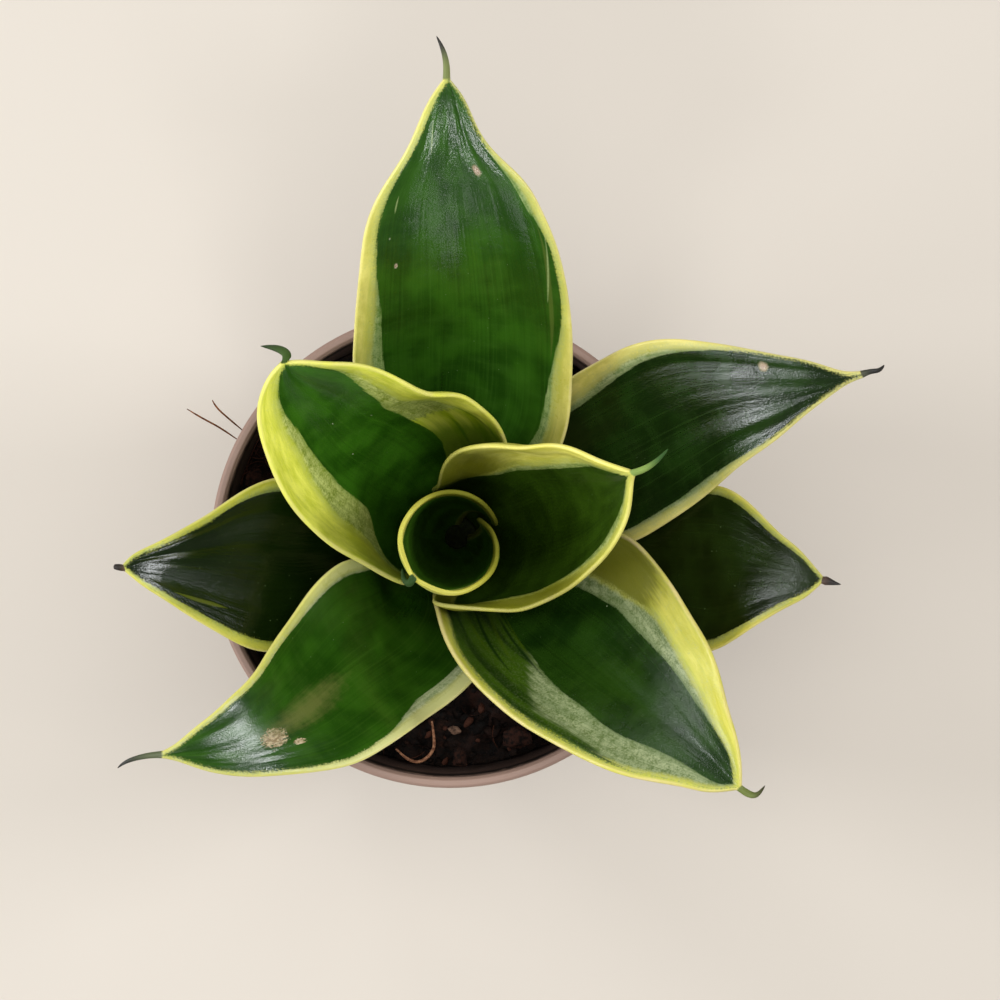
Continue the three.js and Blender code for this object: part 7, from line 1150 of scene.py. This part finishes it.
# crumbs of peat and bark
iv1, if1 = ico(1)
iv2, if2 = ico(2)
def crumb(x, y, size, flat, big, tone, lift=0.35):
    iv, iff = (iv2, if2) if big else (iv1, if1)
    ph = rng.uniform(0, 6.28, 3)
    k_ = 1 + 0.20 * np.sin(iv @ rng.uniform(-4, 4, 3) + ph[0]) + 0.14 * np.sin(iv @ rng.uniform(-8, 8, 3) + ph[1])
    k_ = k_ * (1 + rng.uniform(-0.07, 0.07, len(iv)))
    q = iv * k_[:, None] * np.array([1.0, rng.uniform(0.55, 0.95), flat]) * size
    az, tilt = rng.uniform(0, 6.28), rng.uniform(-0.5, 0.5)
    M_ = np.array(Matrix.Rotation(az, 3, "Z") @ Matrix.Rotation(tilt, 3, "X"))
    q = q @ M_.T
    z_ = float(soil_z(x, y))
    q = q + np.array([x, y, z_ + size * flat * lift])
    if math.hypot(x - 1.2, y - 2.2) < 20.0:
        return
    if np.max(np.hypot(q[:, 0], q[:, 1])) > 46.9 or q[:, 2].max() > 82.6:
        return
    n0 = len(sv)
    sv.extend(map(tuple, q))
    sg.extend([tone] * len(q))
    sf.extend(tuple(n0 + c_ for c_ in f_) for f_ in iff)
for k in range(1500):
    R_ = 46.2 * math.sqrt(rng.uniform(0.12, 1))
    a_ = rng.uniform(0, 2 * math.pi)
    size = float(rng.choice([0.4, 0.6, 0.9, 1.3, 1.9], p=[0.22, 0.28, 0.26, 0.17, 0.07])) * rng.uniform(0.8, 1.25)
    crumb(R_ * math.cos(a_), R_ * math.sin(a_), size, rng.uniform(0.45, 0.8), size > 1.75, rng.uniform(0, 1) ** 1.6)
# short fibres lying in the mix, denser in the gap on the left
def fibre(x, y, ang, length, rad, rise, curl, tone):
    pts = []
    for k in range(5):
        f = k / 4
        d = length * f
        xx = x + d * math.cos(ang + curl * f)
        yy = y + d * math.sin(ang + curl * f)
        rr = math.hypot(xx, yy)
        if rr > 46.6:
            xx, yy = xx * 46.6 / rr, yy * 46.6 / rr
        pts.append((xx, yy, float(soil_z(xx, yy)) + rad + rise * math.sin(math.pi * f) + (0.25 if 0 < k < 4 else -0.3)))
    v_, f_ = tube(pts, rad, 5, 0.5, 3)
    n0 = len(sv)
    sv.extend(map(tuple, v_))
    sg.extend([tone] * len(v_))
    sf.extend(tuple(n0 + c_ for c_ in q) for q in f_)
for k in range(70):
    R_ = 45 * math.sqrt(rng.uniform(0.25, 1))
    a_ = rng.uniform(0, 2 * math.pi)
    fibre(R_ * math.cos(a_), R_ * math.sin(a_), rng.uniform(0, 6.28), rng.uniform(2.5, 8), rng.uniform(0.08, 0.16), rng.uniform(0, 0.8), rng.uniform(-1.2, 1.2), rng.uniform(0.5, 1))
for k in range(26):
    fibre(rng.uniform(-44, -36), rng.uniform(11, 27), rng.uniform(0, 6.28), rng.uniform(4, 9), rng.uniform(0.09, 0.17), rng.uniform(0.3, 1.6), rng.uniform(-1.5, 1.5), rng.uniform(0.75, 1))
soil_mat = soil_material()
sg = np.array(sg)
soil = make_object("potting_mix", sv, sf, "soil", ["soil"], soil_mat, True, None, {"grain": np.stack([sg * 0, sg, sg * 0], 1)})
sb = soil.data

# ------------------------------------------------------------------ small things on the mix
def stick_material(name, dark, light, rough0=0.6, along=0.5):
    g = Nodes(name)
    p = g.position()
    x, y, z = g.split(p)
    P = g.xyz(g.mul(x, 1000), g.mul(y, 1000), g.mul(z, 1000))
    a_ = g.noise(P, 1.1, 3, 0.6)
    b_ = g.noise(P, 5.0, 3, 0.6)
    col = g.mix(g.ramp(a_, 0.35, 0.65), dark, light)
    col = g.mix(g.ramp(b_, 0.55, 0.75, 0, 0.5), col, g.scale_color(dark, 0.5))
    h = g.mad(b_, 0.06, g.mul(a_, 0.10))
    return g.finish(col, g.ramp(b_, 0.3, 0.7, rough0, rough0 + 0.25), g.bump(h, 1.0, MM), IOR=1.45, Specular_IOR_Level=0.12)


root_mat = stick_material("root_skin", rgb(98, 62, 44), rgb(154, 110, 82))
coir_mat = stick_material("coir_fibre", rgb(86, 48, 30), rgb(146, 92, 58), 0.7)
bark_mat = stick_material("bark", rgb(12, 7, 5), rgb(44, 24, 17), 0.75)
perl_mat = stick_material("perlite", rgb(58, 42, 34), rgb(112, 86, 70), 0.8)
# the stem is near black: painted shade at the bottom of the rolled youngest leaf, where the real stem is paler green
crown_shade_mat = stick_material("stem", rgb(16, 22, 5), rgb(30, 38, 10), 0.7)

onsoil = lambda x, y, lift: float(soil_top(x, y)) + lift
rp = [(-11.6, -42.6, 1.0), (-9.2, -44.6, 1.5), (-6.6, -45.2, 2.0), (-4.3, -43.6, 2.1), (-3.5, -41.0, 1.6), (-4.0, -36.6, 1.1)]
rv, rf = tube([(x, y, onsoil(x, y, l)) for x, y, l in rp], 0.34, 12, 0.6, 12)
rv = [np.array(v_) * 1.0 for v_ in rv]
make_object("root_loop", rv, rf, "root", ["surface_root"], root_mat)
cv, cf = tube([(-44.6, 22.6, 80.85), (-48.0, 25.2, 89.15), (-51.2, 27.0, 90.65), (-54.6, 29.0, 89.85)], 0.19, 8, 0.5, 10)
make_object("coir_1", cv, cf, "coir", ["coir_fibre_1"], coir_mat)
cv, cf = tube([(-43.6, 24.6, 81.45), (-46.2, 27.2, 89.45), (-48.2, 29.2, 91.25), (-49.2, 30.8, 91.45)], 0.19, 8, 0.5, 10)
make_object("coir_2", cv, cf, "coir", ["coir_fibre_2"], coir_mat)
iv3, if3 = ico(4)
for k, (node, slot_, mat_) in enumerate([("bark_chip_1", "bark", bark_mat), ("bark_chip_2", "bark", bark_mat), ("bark_chip_3", "bark", bark_mat),
                                         ("bark_chip_4", "bark", bark_mat), ("perlite_grain", "perlite", perl_mat)]):
    lo, hi = (np.array(c_) / MM for c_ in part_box(node))
    r2 = np.random.default_rng(300 + k)
    q = iv3.copy()
    # a broken lump: cut by a few flat faces, then roughened
    for _ in range(9):
        d = r2.normal(size=3); d /= np.linalg.norm(d)
        lim = r2.uniform(0.55, 0.86)
        o_ = q @ d - lim
        q = q - np.outer(np.maximum(o_, 0), d)
    q = q * (1 + 0.05 * np.sin(q @ r2.uniform(-9, 9, 3) + 1)[:, None] + 0.035 * np.sin(q @ r2.uniform(-20, 20, 3))[:, None])
    q = q / (q.max(0) - q.min(0)) * (hi - lo) * 0.98
    q = q - (q.max(0) + q.min(0)) / 2 + (hi + lo) / 2
    make_object("lump_%d" % (k + 1), q, if3, slot_, [node], mat_)
for s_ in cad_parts["crown"].material_slots:
    s_.material = crown_shade_mat

# ------------------------------------------------------------------ floor and light
g = Nodes("floor_paper")
g.finish(rgb(208, 200, 190), 0.75, None, Specular_IOR_Level=0.2)
fm = bpy.data.meshes.new("floor")
fm.from_pydata([(-3, -3, -0.0003), (3, -3, -0.0003), (3, 3, -0.0003), (-3, 3, -0.0003)], [], [(0, 1, 2, 3)])
fm.materials.append(g.mat)
floor = bpy.data.objects.new("floor", fm)
C.objects.link(floor)
floor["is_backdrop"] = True


def softbox(name, az, elev, dist, sx, sy, watts, tint=(1, 1, 1)):
    d = bpy.data.lights.new(name, "AREA")
    d.shape = "RECTANGLE"
    d.size, d.size_y = sx, sy
    d.energy = watts
    d.color = tint
    o = bpy.data.objects.new(name, d)
    a_, e_ = math.radians(az), math.radians(elev)
    v = Vector((math.cos(a_) * math.cos(e_), math.sin(a_) * math.cos(e_), math.sin(e_)))
    o.location = Vector((0, 0, 0.10)) + v * dist
    o.rotation_euler = (-v).to_track_quat("-Z", "Y").to_euler()
    C.objects.link(o)
    return o


softbox("left_a", 172, 29, 1.0, 0.22, 0.34, 4.0, (0.95, 0.98, 1.0))
softbox("left_b", 197, 19, 1.0, 0.34, 0.30, 2.8, (0.95, 0.98, 1.0))
softbox("left_c", 143, 27, 1.0, 0.18, 0.30, 1.3, (0.96, 0.98, 1.0))
softbox("left_d", 110, 30, 1.0, 0.14, 0.24, 0.8, (0.96, 0.98, 1.0))
softbox("right_a", 12, 39, 1.0, 0.26, 0.14, 3.0, (0.96, 0.98, 1.0))
softbox("right_b", -2, 28, 1.0, 0.13, 0.14, 0.5, (0.96, 0.98, 1.0))
softbox("front_a", -79, 21, 1.0, 0.05, 0.50, 0.4, (0.97, 0.99, 1.0))
softbox("front_b", -100, 21, 1.0, 0.11, 0.44, 0.42, (0.97, 0.99, 1.0))
softbox("front_c", -92, 49, 1.0, 0.20, 0.12, 1.5, (0.97, 0.99, 1.0))
softbox("top", 60, 84, 1.5, 0.9, 0.9, 12.0, (1.0, 0.985, 0.95))
w = bpy.data.worlds.new("studio")
bpy.context.scene.world = w
w.use_nodes = True
w.node_tree.nodes["Background"].inputs[0].default_value = (1.0, 0.97, 0.93, 1)
w.node_tree.nodes["Background"].inputs[1].default_value = 0.18
bpy.context.scene.view_settings.view_transform = "Standard"
bpy.context.scene.view_settings.look = "None"
bpy.context.scene.view_settings.exposure = 0.0

lo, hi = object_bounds()
